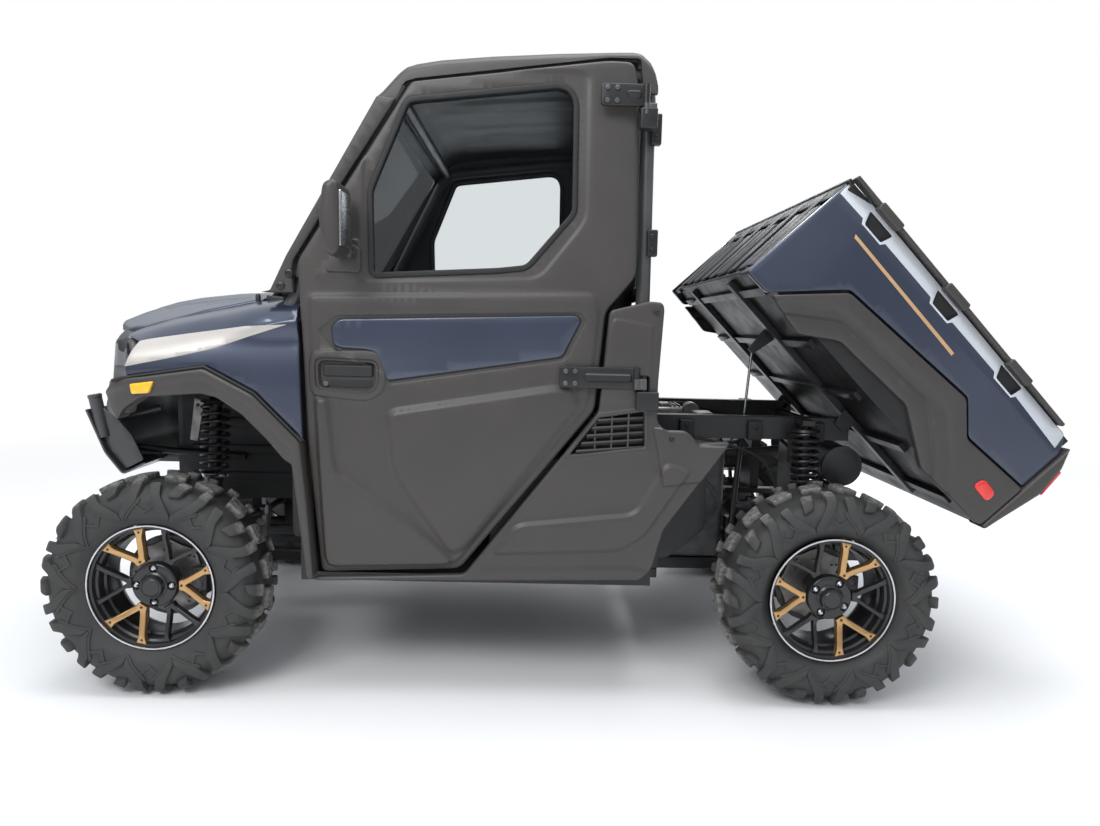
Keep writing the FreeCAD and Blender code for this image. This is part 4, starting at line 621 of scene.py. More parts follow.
@dataclass(frozen=True)
class Finish:
    """A surface finish: its colours, gloss, grain and mottling."""

    name: str
    color: tuple[float, float, float]
    second: tuple[float, float, float]
    roughness: float = 0.5
    spread: float = 0.1
    metallic: float = 0.0
    coat: float = 0.0
    mottle_scale: float = 6.0
    grain_scale: float = 900.0
    grain_depth: float = 0.00006
    speckle: float = 0.0
    specular: float = 0.5
    worn: tuple[float, float, float] | None = None

    def build(self) -> bpy.types.Material:
        """The material: mottled colour and roughness, fine speckle, and a grain as bump."""
        shade = Shade(self.name)
        cloud = shade.ramp(shade.noise(self.mottle_scale, 4.0), 0.3, 0.7)
        fine = shade.noise(self.grain_scale, 2.0)
        mix = (cloud * (1.0 - self.speckle) + shade.cells(self.grain_scale) * self.speckle).clamped()
        color = shade.blend(mix, self.color, self.second)
        if self.worn:
            wear = Value(
                shade.tree, shade.add("ShaderNodeAttribute", {"attribute_name": "wear"}).outputs["Fac"])
            patchy = shade.ramp(shade.noise(70.0, 4.0), 0.25, 0.65)
            color = shade.blend(wear * patchy, color, self.worn)
        rough = (
            cloud * self.spread + fine * (self.spread * 0.5)
            + (self.roughness - self.spread * 0.6)).clamped()
        normal = shade.bump(fine, self.grain_depth)
        shader = shade.add(
            "ShaderNodeBsdfPrincipled", Base_Color=color, Roughness=rough, Metallic=self.metallic,
            Normal=normal)
        shader.inputs["Specular IOR Level"].default_value = self.specular
        shader.inputs["Coat Weight"].default_value = self.coat
        shader.inputs["Coat Roughness"].default_value = 0.12
        return shade.finish(shader)


@dataclass(frozen=True)
class Glazing:
    """Clear or tinted glass: mostly see-through, with a coat-like reflection."""

    name: str
    tint: tuple[float, float, float]
    cover: float

    def build(self) -> bpy.types.Material:
        """The material: a transparent shader under a glossy one, mixed by Fresnel and the tint's cover."""
        shade = Shade(self.name)
        clear = shade.add("ShaderNodeBsdfTransparent", Color=(*self.tint, 1.0))
        film = shade.ramp(shade.noise(3.0), 0.2, 0.8)
        gloss = shade.add(
            "ShaderNodeBsdfPrincipled", Base_Color=(0.02, 0.025, 0.03, 1.0), Roughness=film * 0.02 + 0.02)
        fresnel = Value(shade.tree, shade.add("ShaderNodeFresnel", IOR=1.5).outputs[0])
        share = (fresnel * 0.9 + self.cover).clamped()
        mixed = shade.add("ShaderNodeMixShader")
        shade.tree.links.new(share.socket, mixed.inputs[0])
        shade.tree.links.new(clear.outputs[0], mixed.inputs[1])
        shade.tree.links.new(gloss.outputs[0], mixed.inputs[2])
        return shade.finish(mixed)


PAINT = Finish(
    "slate_blue_paint", (0.034, 0.044, 0.074), (0.042, 0.054, 0.09), 0.34, 0.05, 0.45, 0.9, 3.0, 2200.0,
    0.000004, 0.25)
BODY = Finish(
    "grained_body_plastic", (0.05, 0.046, 0.043), (0.057, 0.0525, 0.049), 0.4, 0.08, 0.0, 0.0, 5.0,
    1100.0, 0.00003, 0.2, 0.45)
BLACK = Finish(
    "black_moulded_plastic", (0.014, 0.014, 0.015), (0.02, 0.02, 0.021), 0.5, 0.12, 0.0, 0.0, 8.0, 900.0,
    0.00004, 0.2)
COATED = Finish(
    "black_powder_coat", (0.012, 0.012, 0.013), (0.02, 0.02, 0.021), 0.36, 0.1, 0.0, 0.0, 9.0, 700.0,
    0.00005, 0.2)
# Grey coat of the cage and bumper: partly the coat's own grey, partly painted highlight, made lighter to
# stand in for the sheen along the tubes.
GREY_COAT_WITH_PAINTED_SHEEN = Finish(
    "satin_grey_coat", (0.07, 0.071, 0.073), (0.085, 0.086, 0.088), 0.34, 0.08, 0.2, 0.2, 9.0, 700.0,
    0.00003, 0.2)
LINER = Finish(
    "bed_liner", (0.009, 0.009, 0.01), (0.014, 0.014, 0.015), 0.42, 0.14, 0.0, 0.0, 12.0, 300.0, 0.0001,
    0.2)
RUBBER = Finish(
    "tyre_rubber", (0.032, 0.033, 0.034), (0.052, 0.051, 0.049), 0.62, 0.16, 0.0, 0.0, 10.0, 260.0,
    0.0002, 0.25, 0.4, (0.23, 0.225, 0.21))
SEAL = Finish("rubber_seal", (0.01, 0.01, 0.011), (0.016, 0.016, 0.016), 0.6, 0.1)
BRONZE = Finish(
    "bronze_alloy", (0.5, 0.3, 0.13), (0.58, 0.36, 0.17), 0.33, 0.08, 0.85, 0.0, 14.0, 1500.0, 0.00001,
    0.2)
DARK_ALLOY = Finish(
    "black_alloy", (0.018, 0.018, 0.02), (0.026, 0.026, 0.028), 0.3, 0.08, 0.2, 0.2, 14.0, 1200.0,
    0.00001, 0.2)
BRIGHT = Finish(
    "bright_steel", (0.62, 0.62, 0.64), (0.48, 0.48, 0.5), 0.24, 0.12, 1.0, 0.0, 20.0, 800.0, 0.00001,
    0.2)
DULL = Finish(
    "dull_steel", (0.3, 0.29, 0.28), (0.2, 0.19, 0.18), 0.42, 0.14, 0.9, 0.0, 26.0, 500.0, 0.00003, 0.3)
CAST = Finish(
    "cast_alloy", (0.16, 0.16, 0.165), (0.09, 0.09, 0.092), 0.55, 0.14, 0.6, 0.0, 18.0, 240.0, 0.0003,
    0.3)
VINYL = Finish(
    "seat_vinyl", (0.022, 0.022, 0.023), (0.03, 0.03, 0.031), 0.5, 0.1, 0.0, 0.0, 8.0, 420.0, 0.00025,
    0.3)
# Pale blue-grey on the upward chamfer of the bed's paint along its shoulder: a painted reflection of the sky,
# not a trim of its own.
PAINTED_SKY_REFLECTION = Finish(
    "silver_trim", (0.66, 0.7, 0.75), (0.74, 0.77, 0.81), 0.34, 0.06, 0.35, 0.4, 4.0, 1800.0, 0.000004,
    0.2)
WEDGE = Finish(
    "pale_wedge_film", (0.46, 0.43, 0.4), (0.52, 0.49, 0.46), 0.36, 0.05, 0.15, 0.4, 4.0, 1800.0,
    0.000004, 0.2)
TAN = Finish(
    "tan_stripe_film", (0.52, 0.31, 0.15), (0.58, 0.36, 0.18), 0.4, 0.05, 0.0, 0.3, 5.0, 1800.0, 0.000004,
    0.1)
AMBER = Finish(
    "amber_lens", (0.86, 0.46, 0.015), (0.92, 0.54, 0.03), 0.16, 0.04, 0.0, 0.8, 30.0, 400.0, 0.0001, 0.1)
RED = Finish(
    "red_reflector", (0.7, 0.02, 0.02), (0.82, 0.04, 0.03), 0.18, 0.04, 0.0, 0.8, 30.0, 500.0, 0.0002,
    0.3)
GLASS = Glazing("tinted_glass", (0.965, 0.98, 0.985), 0.02)
LENS = Glazing("clear_lens", (0.93, 0.95, 0.96), 0.06)


class Palette:
    """Builds each finish once and hands out its material."""

    made: dict[str, bpy.types.Material] = {}

    @classmethod
    def material(cls, finish: Finish | Glazing) -> bpy.types.Material:
        """The material of a finish."""
        if finish.name not in cls.made:
            cls.made[finish.name] = finish.build()
        return cls.made[finish.name]


# Placing pieces

@dataclass(frozen=True)
class Place:
    """Where a new piece belongs: its body, its record slot and the CAD nodes that it stands for."""

    body: str
    slot: str
    nodes: tuple[str, ...] = ()


class Workshop:
    """Turns surfaces into finished pieces, with x measured from the front axle."""

    def __init__(self) -> None:
        """Read the front axle's place from the frame."""
        low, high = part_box("wheel_front_left")
        self.axle_x = (low.x + high.x) / 2

    def add(
        self, name: str, surface: Surface, finish: Finish | Glazing, place: Place,
        angle: float = 32.0) -> bpy.types.Object:
        """Make one piece.

        Args:
            name: The piece's name.
            surface: Its shape.
            finish: Its finish.
            place: Its body, slot and the nodes that it replaces.
            angle: Faces that meet at less than this many degrees are shaded as one curve.
        Returns:
            The new object.
        """
        mesh = bpy.data.meshes.new(name)
        points = surface.points + np.array([self.axle_x, 0.0, 0.0])
        faces = surface.quads.tolist() + surface.tris.tolist()
        mesh.from_pydata(points.tolist(), [], faces)
        self.clean(mesh)
        mesh.shade_smooth()
        mesh.set_sharp_from_angle(angle=math.radians(angle))
        mesh.materials.append(Palette.material(finish))
        piece = bpy.data.objects.new(name, mesh)
        bpy.context.scene.collection.objects.link(piece)
        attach(piece, place.body)
        if place.nodes:
            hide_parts(*place.nodes)
        LOG.info("%s: %d faces on %s", name, len(mesh.polygons), place.body)
        return piece

    def add_rows(
        self, prefix: str, body: str, rows: tuple, placed: Callable[[Surface], Surface] | None = None
    ) -> None:
        """Make a piece from each row.

        Args:
            prefix: Start of every name.
            body: The body that the pieces ride.
            rows: Rows of name, surface, finish, slot and replaced nodes.
            placed: Function that carries a row's surface to its place, where it isn't there yet.
        """
        for name, surface, finish, slot, nodes in rows:
            whole = placed(surface) if placed else surface
            self.add(f"{prefix}_{name}", whole, finish, Place(body, slot, nodes))

    @staticmethod
    def clean(mesh: bpy.types.Mesh) -> None:
        """Merge points that meet, drop faces with no area and point all faces outwards."""
        work = bmesh.new()
        work.from_mesh(mesh)
        bmesh.ops.remove_doubles(work, verts=work.verts, dist=1e-6)
        bmesh.ops.dissolve_degenerate(work, edges=work.edges, dist=1e-7)
        bmesh.ops.recalc_face_normals(work, faces=work.faces)
        work.to_mesh(mesh)
        work.free()


# Tyres

@dataclass
class Tyre:
    """One tyre about its own centre: a carcass with V lugs on its shoulders and blocks on its crown."""

    half_width: float
    rim_half: float
    crown: float = 0.3375
    base: float = 0.318
    bulge: float = 0.262
    rim: float = 0.1945
    pitch_count: int = 10

    def __post_init__(self) -> None:
        """Work out the section's arc length, and its outward normal at each point."""
        half = self.half_width
        knots = [
            (0.0, self.base), (half * 0.34, self.base - 0.0005), (half * 0.62, self.base - 0.003),
            (half - 0.026, self.base - 0.01), (half - 0.01, self.base - 0.026),
            (half - 0.001, self.bulge + 0.012), (half - 0.001, self.bulge - 0.014),
            (half - 0.008, self.bulge - 0.038), (self.rim_half + 0.004, self.rim + 0.01),
            (self.rim_half - 0.004, self.rim)]
        self.section = curve_through(knots, 4)
        step = np.gradient(self.section, axis=0)
        step /= np.linalg.norm(step, axis=1)[:, None]
        self.normal = np.stack([-step[:, 1], step[:, 0]], -1)
        runs = np.linalg.norm(np.diff(self.section, axis=0), axis=1)
        self.along = np.concatenate([[0.0], np.cumsum(runs)])

    def at(self, side: float, turn: Array, along: Array, lift: Array) -> Array:
        """Points on the tyre: the section at that arc length, raised along its normal and turned.

        Args:
            side: 1 for the outer half, -1 for the inner.
            turn: Angles about the axle.
            along: Arc lengths from the crown's middle; a negative one lies on the other half.
            lift: Heights above the carcass.
        Returns:
            Points in space.
        """
        reach = np.abs(along)
        y = np.interp(reach, self.along, self.section[:, 0])
        r = np.interp(reach, self.along, self.section[:, 1])
        ny = np.interp(reach, self.along, self.normal[:, 0])
        nr = np.interp(reach, self.along, self.normal[:, 1])
        y = (y + ny * lift) * np.where(along < 0, -side, side)
        r = np.minimum(r + nr * lift, self.crown)
        return np.stack([r * np.sin(turn), y, r * np.cos(turn)], -1)

    def carcass(self) -> Surface:
        """The section and its mirror image turned about the axle."""
        half = self.section
        whole = np.vstack([half[::-1] * [-1, 1], half[1:]])
        return lathe(whole, 128)

    def lug(
        self, side: float, middle: float, corners: Pairs, height: float, foot: float,
        step: float = 0.004) -> Surface:
        """A block on the carcass from an outline of (degrees, arc length in mm).

        Args:
            side: Which half of the tyre.
            middle: The block's angle about the axle, in degrees.
            corners: The outline.
            height: Height at the crown.
            foot: Height low on the sidewall.
            step: Width of its bevelled edge.
        Returns:
            The raised block with its walls.
        """
        reach = 0.3
        flat = np.array([(math.radians(a) * reach, s / 1000) for a, s in corners])
        panel = Panel(softened(flat, 0.004, 2), thickness=0.0, roll=step, gap=0.026, bends=(0.3, 1.0))
        shoulder = np.interp(self.half_width - 0.026, self.section[:, 0][:16], self.along[:16])

        def shape(points: Array, lift: Array) -> Array:
            """Height falls from the crown over the shoulder to the sidewall."""
            share = smooth((np.abs(points[:, 1]) - shoulder + 0.005) / 0.055)
            top = height + (foot - height) * share
            full = np.where(lift < -step * 2, -0.002, top + lift)
            return self.at(side, points[:, 0] / reach + math.radians(middle), points[:, 1], full)

        panel.thickness = 1.0
        return panel.solid(shape)

    def build(self) -> Surface:
        """The whole tyre: lugs on both shoulders half a pitch apart, crown blocks and small chevrons."""
        wide = (self.half_width - 0.115) * 1000
        s = wide
        right = [
            (0, 189 + s), (13.6, 134 + s), (16.0, 100 + s), (15.8, 54 + s), (10.4, 47 + s),
            (10.4, 98 + s), (8.8, 116 + s), (0, 166 + s)]
        left = [
            (0, 189 + s), (0, 166 + s), (-8.8, 116 + s), (-10.4, 82 + s), (-16.0, 86 + s),
            (-13.6, 134 + s)]
        ledge = [
            (0, 198 + s), (16.0, 134 + s), (15.2, 120 + s), (0, 182 + s), (-15.2, 120 + s),
            (-16.0, 134 + s)]
        tooth = [(-4.5, 118 + s), (2.0, 110 + s), (4.6, 66 + s), (-1.6, 58 + s)]
        arrow = [
            (18.0, 176 + s), (24.5, 148 + s), (22.8, 144 + s), (18.0, 163 + s), (13.2, 144 + s),
            (11.5, 148 + s)]
        core = [(-6.0, 34), (5.0, 26), (6.5, -30), (-4.5, -36)]
        parts = [self.carcass()]
        pitch = 360.0 / self.pitch_count
        tall = self.crown - self.base
        for k in range(self.pitch_count):
            for side, offset in ((1.0, 0.0), (-1.0, 0.5)):
                middle = pitch * (k + offset)
                for corners in (right, left):
                    parts.append(self.lug(side, middle, corners, tall, 0.0074))
                parts.append(self.lug(side, middle, ledge, 0.005, 0.0045, 0.0015))
                parts.append(self.lug(side, middle, tooth, tall, tall * 0.6))
                parts.append(self.lug(side, middle, arrow, 0.0042, 0.0036, 0.001))
            parts.append(self.lug(1.0, pitch * (k + 0.25), core, tall, tall))
            parts.append(self.lug(1.0, pitch * (k + 0.75), [(-a, b) for a, b in core], tall, tall))
        rings = [(0.004, 222), (0.003, 226)]
        for grow, level in rings:
            at = np.interp(level / 1000, self.section[::-1, 1], self.section[::-1, 0])
            loop = np.linspace(0, 2 * np.pi, 96, endpoint=False)
            path = np.stack(
                [level / 1000 * np.sin(loop), np.full(96, at), level / 1000 * np.cos(loop)], -1)
            parts.append(tube(path, grow * 0.4, 6, True))
        return joined(parts)


def wear_tops(piece: bpy.types.Object, hub: Array) -> None:
    """Store how worn each point is: 0 on the carcass, rising to 1 at the tread's radius."""
    count = len(piece.data.vertices)
    flat = np.empty(count * 3)
    piece.data.vertices.foreach_get("co", flat)
    away = flat.reshape(-1, 3) - hub
    radius = np.hypot(away[:, 0], away[:, 2])
    wear = piece.data.attributes.new("wear", "FLOAT", "POINT")
    wear.data.foreach_set("value", smooth((radius - 0.322) / 0.014).astype(np.float32))


# Body sides

class Skin:
    """A body side swept along the vehicle, from a section of heights and distances from the middle plane."""

    def __init__(self, knots: Pairs, steps: int = 10) -> None:
        """Work out the section's arc length and outward normal.

        Args:
            knots: Pairs of height and distance, from the bottom up.
            steps: Points between two knots.
        """
        line = curve_through(knots, steps)
        self.z, self.y = line.T
        self.arc = np.concatenate([[0.0], np.cumsum(np.linalg.norm(np.diff(line, axis=0), axis=1))])
        rise = np.gradient(line, axis=0)
        rise /= np.linalg.norm(rise, axis=1)[:, None]
        self.out_y, self.out_z = rise[:, 0], -rise[:, 1]

    def run(self, outline: Pairs | Array) -> Array:
        """An (x, z) outline as (x, arc length)."""
        points = np.array(outline, float)
        return np.stack([points[:, 0], np.interp(points[:, 1], self.z, self.arc)], -1)

    def shape(self, points: Array, lift: Array) -> Array:
        """Places (x, arc length) on the left side: the section's point plus its normal times the lift."""
        x, s = points.T
        y, z, ny, nz = (np.interp(s, self.arc, row) for row in (self.y, self.z, self.out_y, self.out_z))
        return np.stack([x, -(y + ny * lift), z + nz * lift], -1)

    def raised(self, proud: float) -> Placing:
        """The same placing with everything moved outwards by proud."""
        return raised(self.shape, proud)


def at_side(y: float) -> Placing:
    """A placing of (x, z) points on a plane at that distance from the middle, lift outwards."""
    return lambda points, lift: np.stack([points[:, 0], -(y + lift), points[:, 1]], -1)


def side_sheet(outline: Array, thickness: float, roll: float, gap: float, out: float) -> Surface:
    """A plain panel that stands at that distance from the middle plane, on the left."""
    return Panel(outline, [], [], thickness, roll, gap).solid(at_side(out))


def bolt(x: float, y: float, z: float, radius: float = 0.008, height: float = 0.006) -> Surface:
    """A bolt head facing left, with a dished top."""
    profile = [
        (-height, AXIS), (-height, radius * 0.45), (-height * 1.25, radius * 0.55),
        (-height, radius * 0.9), (-height * 0.7, radius), (0.002, radius), (0.002, AXIS)]
    return lathe(profile, 20).moved(x, -y, z)


def ring_outline(x: float, z: float, width: float, height: float, radius: float) -> Array:
    """A rounded rectangle about a centre."""
    w, h = width / 2, height / 2
    return softened([(x - w, z - h), (x + w, z - h), (x + w, z + h), (x - w, z + h)], radius, 7)


CAB_SKIN = Skin([
    (0.34, 0.735), (0.62, 0.748), (0.95, 0.7505), (1.19, 0.7495), (1.3, 0.7455), (1.62, 0.7365),
    (1.96, 0.722)])
DOOR = [
    (0.504, 0.384), (0.93, 0.401), (1.333, 0.905), (1.357, 1.202), (1.446, 1.313), (1.434, 1.871),
    (1.42, 1.932), (1.345, 1.934), (0.79, 1.862), (0.766, 1.858), (0.63, 1.637), (0.443, 1.338),
    (0.438, 1.319), (0.454, 1.082), (0.467, 0.796), (0.484, 0.613)]
WINDOW = [
    (0.65, 1.54), (0.657, 1.292), (1.03, 1.315), (1.119, 1.326), (1.257, 1.49), (1.254, 1.812),
    (1.238, 1.846), (1.203, 1.859), (0.774, 1.807), (0.754, 1.798)]
INSERT = [
    (0.543, 1.14), (0.567, 1.161), (1.268, 1.188), (1.283, 1.176), (1.229, 1.065), (0.716, 0.983),
    (0.701, 0.989), (0.698, 1.019), (0.677, 1.066), (0.645, 1.074), (0.567, 1.077), (0.549, 1.087)]


@dataclass(frozen=True)
class Door:
    """One door: pressed skin, painted insert, window seal, handle, hinges and inner trim."""

    side: Side
    lower_hinge: float = 1.006
    upper_hinge: float = 1.823
    hinge_y: float = 0.768

    def skin(self) -> Surface:
        """The grained skin with its fields."""
        run = CAB_SKIN.run
        stamps = fields([([
            (0.466, 1.236), (1.325, 1.262), (1.345, 1.2), (1.316, 0.915), (0.922, 0.414), (0.535, 0.398),
            (0.512, 0.42), (0.488, 0.8)], 0.03, 0.008, 0.016),
            ([
                (0.497, 1.128), (0.552, 1.176), (1.285, 1.203), (1.303, 1.178), (1.242, 1.052),
                (0.712, 0.968), (0.7, 1.0), (0.56, 1.06), (0.53, 1.09)], 0.015, -0.007, 0.009),
            (
                [(0.692, 0.897), (1.24, 0.99), (1.306, 0.93), (0.95, 0.46), (0.9, 0.44), (0.722, 0.69)],
                0.05, 0.015, 0.026),
            ([
                (0.488, 0.93), (0.536, 0.93), (0.56, 0.708), (0.8, 0.545), (0.915, 0.44), (0.9, 0.41),
                (0.535, 0.398), (0.512, 0.42)], 0.025, 0.012, 0.016),
            ([
                (0.47, 1.05), (0.474, 0.93), (0.655, 0.914), (0.708, 0.95), (0.708, 1.04), (0.68, 1.075),
                (0.505, 1.072)], 0.035, 0.007, 0.008),
            ([
                (0.49, 1.038), (0.494, 0.946), (0.65, 0.934), (0.686, 0.962), (0.684, 1.044),
                (0.51, 1.05)], 0.03, -0.008, 0.005),
            ([
                (0.5, 1.028), (0.504, 0.956), (0.65, 0.946), (0.674, 0.966), (0.672, 1.034),
                (0.515, 1.04)], 0.02, -0.014, 0.006),
            (
                [(0.625, 1.905), (0.625, 1.268), (1.16, 1.29), (1.3, 1.47), (1.296, 1.905)], 0.04, -0.004,
                0.014),
            (
                [(0.5, 1.295), (0.5, 1.275), (0.625, 1.27), (0.625, 1.4), (0.585, 1.4)], 0.015, 0.004,
                0.006)],
            run)
        outline = softened(run(DOOR), 0.022)
        panel = Panel(outline, [softened(run(WINDOW), 0.02)], stamps, 0.03, 0.009, 0.022)
        return panel.solid(CAB_SKIN.raised(-0.0085))

    def insert(self) -> Surface:
        """The painted field below the window."""
        panel = Panel(softened(CAB_SKIN.run(INSERT), 0.012), [], [], 0.006, 0.004, 0.03)
        return panel.solid(CAB_SKIN.raised(0.0015))

    def insert_gap(self) -> Surface:
        """The dark line round the insert."""
        panel = Panel(shifted(softened(CAB_SKIN.run(INSERT), 0.012), -0.0045), [], [], 0.002, 0.001, 0.05)
        return panel.solid(CAB_SKIN.raised(-0.0065))

    def seal(self) -> Surface:
        """Rubber round the window and along the door's edge."""
        hole = softened(CAB_SKIN.run(WINDOW), 0.02)
        ring = Panel(
            shifted(hole, -0.007), [shifted(hole, 0.009)], [], 0.02, 0.003,
            0.05).solid(CAB_SKIN.raised(-0.006))
        inner = Panel(
            shifted(hole, -0.012), [shifted(hole, 0.004)], [], 0.014, 0.002,
            0.05).solid(CAB_SKIN.raised(-0.034))
        edge = shifted(softened(CAB_SKIN.run(DOOR), 0.022), 0.004)
        line = CAB_SKIN.shape(spaced(edge, 0.03), np.full(len(spaced(edge, 0.03)), -0.03))
        return joined([ring, inner, tube(line, 0.006, 8, True)])

    def handle(self) -> Surface:
        """Pull paddle in the recess."""
        y = 0.744
        return joined([
            block((0.515, -y, 0.99), (0.664, -y + 0.02, 1.026), 0.006),
            block((0.535, -y + 0.008, 0.954), (0.664, -y + 0.024, 0.986), 0.005)])

    def hinges(self) -> Surface:
        """Straps on the door with their raised ribs and the barrels on the pins."""
        y, parts = self.hinge_y, []
        for start, level, tall in ((1.223, self.lower_hinge, 0.064), (1.322, self.upper_hinge, 0.062)):
            end = 1.452
            outline = ring_outline((start + end) / 2, level, end - start, tall, 0.012)
            rib = ring_outline(
                start + 0.07 + (end - start - 0.08) / 2, level, end - start - 0.085, 0.026, 0.012)
            strap = Panel(outline, [], [Stamp(rib, 0.006, 0.005)], 0.01, 0.003, 0.03)
            parts.append(strap.solid(at_side(y)))
            parts.append(tube([
                (end + 0.001, -y + 0.004, level - tall / 2), (end + 0.001, -y + 0.004, level + tall / 2)],
                0.01, 20))
        return joined(parts)

    def bolts(self) -> Surface:
        """Cast bolts of the hinges, and the lock."""
        y, places = self.hinge_y, []
        for start, level in ((1.223, self.lower_hinge), (1.322, self.upper_hinge)):
            places += [(start + dx, level + dz) for dx in (0.018, 0.046) for dz in (-0.018, 0.018)]
        heads = [bolt(x, y + 0.0005, z, 0.0075, 0.005) for x, z in places]
        return joined(heads + [disc(-0.7455, 0.0085, 0.002, 0.02, 24).moved(0.524, 0.0, 0.968)])

    def trim(self) -> Surface:
        """The inner face: a lining with an armrest, a pull and a pocket."""
        run = CAB_SKIN.run
        lining = softened(run([
            (0.53, 0.43), (0.91, 0.44), (1.29, 0.92), (1.31, 1.2), (1.12, 1.262), (0.5, 1.245),
            (0.5, 0.8)]), 0.03)
        stamps = fields([
            ([(0.6, 0.98), (1.2, 0.98), (1.22, 1.05), (0.6, 1.05)], 0.02, 0.045, 0.03),
            ([(0.58, 0.5), (0.9, 0.5), (1.08, 0.74), (0.58, 0.74)], 0.03, -0.004, 0.012)], run)
        panel = Panel(lining, [], stamps, 0.004, 0.005, 0.035)
        return panel.solid(lambda points, lift: CAB_SKIN.shape(points, -0.04 - lift))

    def mirror(self) -> tuple[Surface, Surface]:
        """Head and stalk of the mirror, and its glass."""
        head = softened([
            (0.59, 1.539), (0.563, 1.527), (0.552, 1.428), (0.567, 1.345), (0.592, 1.327), (0.612, 1.35),
            (0.61, 1.43), (0.606, 1.528)], 0.02)
        body = side_sheet(head, 0.14, 0.016, 0.02, 0.938)
        arm = block((0.562, -0.81, 1.336), (0.616, -0.744, 1.362), 0.01)
        foot = Panel(
            softened([(0.522, 1.3), (0.628, 1.3), (0.628, 1.368), (0.585, 1.392)], 0.012), [], [], 0.012,
            0.004, 0.03)
        plate = block((0.606, -0.928, 1.36), (0.6145, -0.808, 1.51), 0.004)
        return joined([body, arm, foot.solid(at_side(0.7485))]), plate

    def build(self, shop: Workshop) -> None:
        """Make the door's pieces."""
        word = self.side.word
        body = f"door_{word}"
        head, plate = self.mirror()
        rows = (
            ("skin", self.skin(), BODY, "body_plastic", (body,)),
            ("insert", self.insert(), PAINT, "painted", (f"door_insert_{word}",)),
            ("insert_gap", self.insert_gap(), SEAL, "black_plastic", ()),
            ("seals", self.seal(), SEAL, "black_plastic", ()),
            ("handle", self.handle(), BLACK, "black_plastic", ()),
            ("hinges", self.hinges(), COATED, "frame_steel", ()),
            ("bolts", self.bolts(), CAST, "bright_steel", ()),
            ("trim", self.trim(), BLACK, "black_plastic", ()),
            ("mirror_head", head, BODY, "black_plastic", (f"mirror_{word}",)),
            ("mirror_plate", plate, BRIGHT, "bright_steel", ()))
        shop.add_rows(body, body, rows, lambda surface: surface.on(self.side))


@dataclass(frozen=True)
class QuarterPanel:
    """Sill and quarter panel behind a door, with its louvres."""

    face: float = 0.7635
    outline: tuple = (
        (0.488, 0.364), (1.485, 0.385), (1.521, 0.419), (1.553, 0.542), (1.748, 0.82), (1.651, 0.812),
        (1.612, 0.85), (1.548, 0.85), (1.522, 0.875), (1.52, 0.989), (1.531, 1.217), (1.523, 1.234),
        (1.484, 1.236), (1.368, 1.206), (1.344, 0.903), (0.946, 0.391), (0.488, 0.375))
    louvre: tuple = ((1.345, 0.884), (1.48, 0.906), (1.485, 0.8), (1.262, 0.772))

    def panel(self) -> Surface:
        """The moulded skin."""
        stamps = fields([([
            (1.02, 0.452), (1.42, 0.47), (1.5, 0.52), (1.64, 0.735), (1.55, 0.762), (1.46, 0.6),
            (1.1, 0.56)], 0.03, 0.011, 0.016),
            ([
                (0.4, 0.3), (1.56, 0.3), (1.56, 0.405), (1.46, 0.432), (1.0, 0.418), (0.93, 0.372),
                (0.4, 0.372)], 0.02, 0.004, 0.016),
            (
                [(1.33, 0.93), (1.36, 0.922), (1.5, 0.935), (1.505, 1.17), (1.375, 1.19)], 0.02, 0.004,
                0.012),
            ([(1.242, 0.757), (1.338, 0.9), (1.492, 0.924), (1.498, 0.787)], 0.012, 0.003, 0.005),
            ([
                (1.504, 0.863), (1.635, 0.855), (1.647, 0.81), (1.752, 0.807), (1.678, 0.694),
                (1.541, 0.68), (1.527, 0.762)], 0.008, 0.008, 0.006)])
        hole = softened(self.louvre, 0.006)
        slot = softened([(1.455, 0.962), (1.492, 0.962), (1.492, 1.012), (1.455, 1.012)], 0.006)
        panel = Panel(softened(self.outline, 0.014), [hole, slot], stamps, 0.016, 0.007, 0.022)
        return panel.solid(at_side(self.face - 0.006))

    def slats(self) -> Surface:
        """Five leaning slats and three dividers behind the louvre's frame."""
        parts = []
        for i in range(5):
            z = 0.788 + 0.0225 * i
            start = 1.278 + 0.0155 * i
            slat = block((start, -self.face + 0.004, -0.003), (1.482, -self.face + 0.03, 0.003), 0.0025)
            tilt = shift(0, -self.face + 0.012, z) @ rotation(-38, "X")
            rise = rotation(-5.5, "Y")
            parts.append(slat.moved(-1.38, self.face - 0.012, 0).turned(shift(1.38, 0, 0) @ tilt @ rise))
        for x, low in ((1.335, 0.782), (1.385, 0.787), (1.435, 0.793)):
            parts.append(block(
                (x - 0.003, -self.face + 0.008, low), (x + 0.003, -self.face + 0.02, low + 0.108), 0.002))
        return joined(parts)

    def backing(self) -> Surface:
        """The dark duct behind the louvres."""
        return side_sheet(
            shifted(softened(self.louvre, 0.006), -0.01), 0.004, 0.001, 0.06, self.face - 0.045)

    def clips(self) -> Surface:
        """Push clips at the panel's rear ear and the hinge's bracket on the pillar."""
        heads = [bolt(x, self.face + 0.002, z, 0.008, 0.004) for x, z in ((1.565, 0.826), (1.506, 1.205))]
        mount = block((1.452, -0.782, 0.912), (1.52, -0.745, 0.968), 0.005)
        upper = block((1.436, -0.782, 1.728), (1.486, -0.735, 1.786), 0.005)
        return joined(heads + [mount, upper])

    def build(self, shop: Workshop) -> None:
        """Make both sides."""
        rows = (
            ("panel", self.panel(), BODY, "body_plastic", ("side_panels",)),
            ("slats", self.slats(), BODY, "body_plastic", ()),
            ("backing", self.backing(), SEAL, "black_plastic", ()),
            ("clips", self.clips(), COATED, "black_plastic", ()))
        shop.add_rows("quarter", "chassis", rows, paired)


# Front end

FENDER_SKIN = Skin([
    (0.78, 0.7645), (0.9, 0.7645), (1.01, 0.76), (1.085, 0.7465), (1.135, 0.7265), (1.18, 0.694),
    (1.21, 0.655), (1.236, 0.566)], 12)


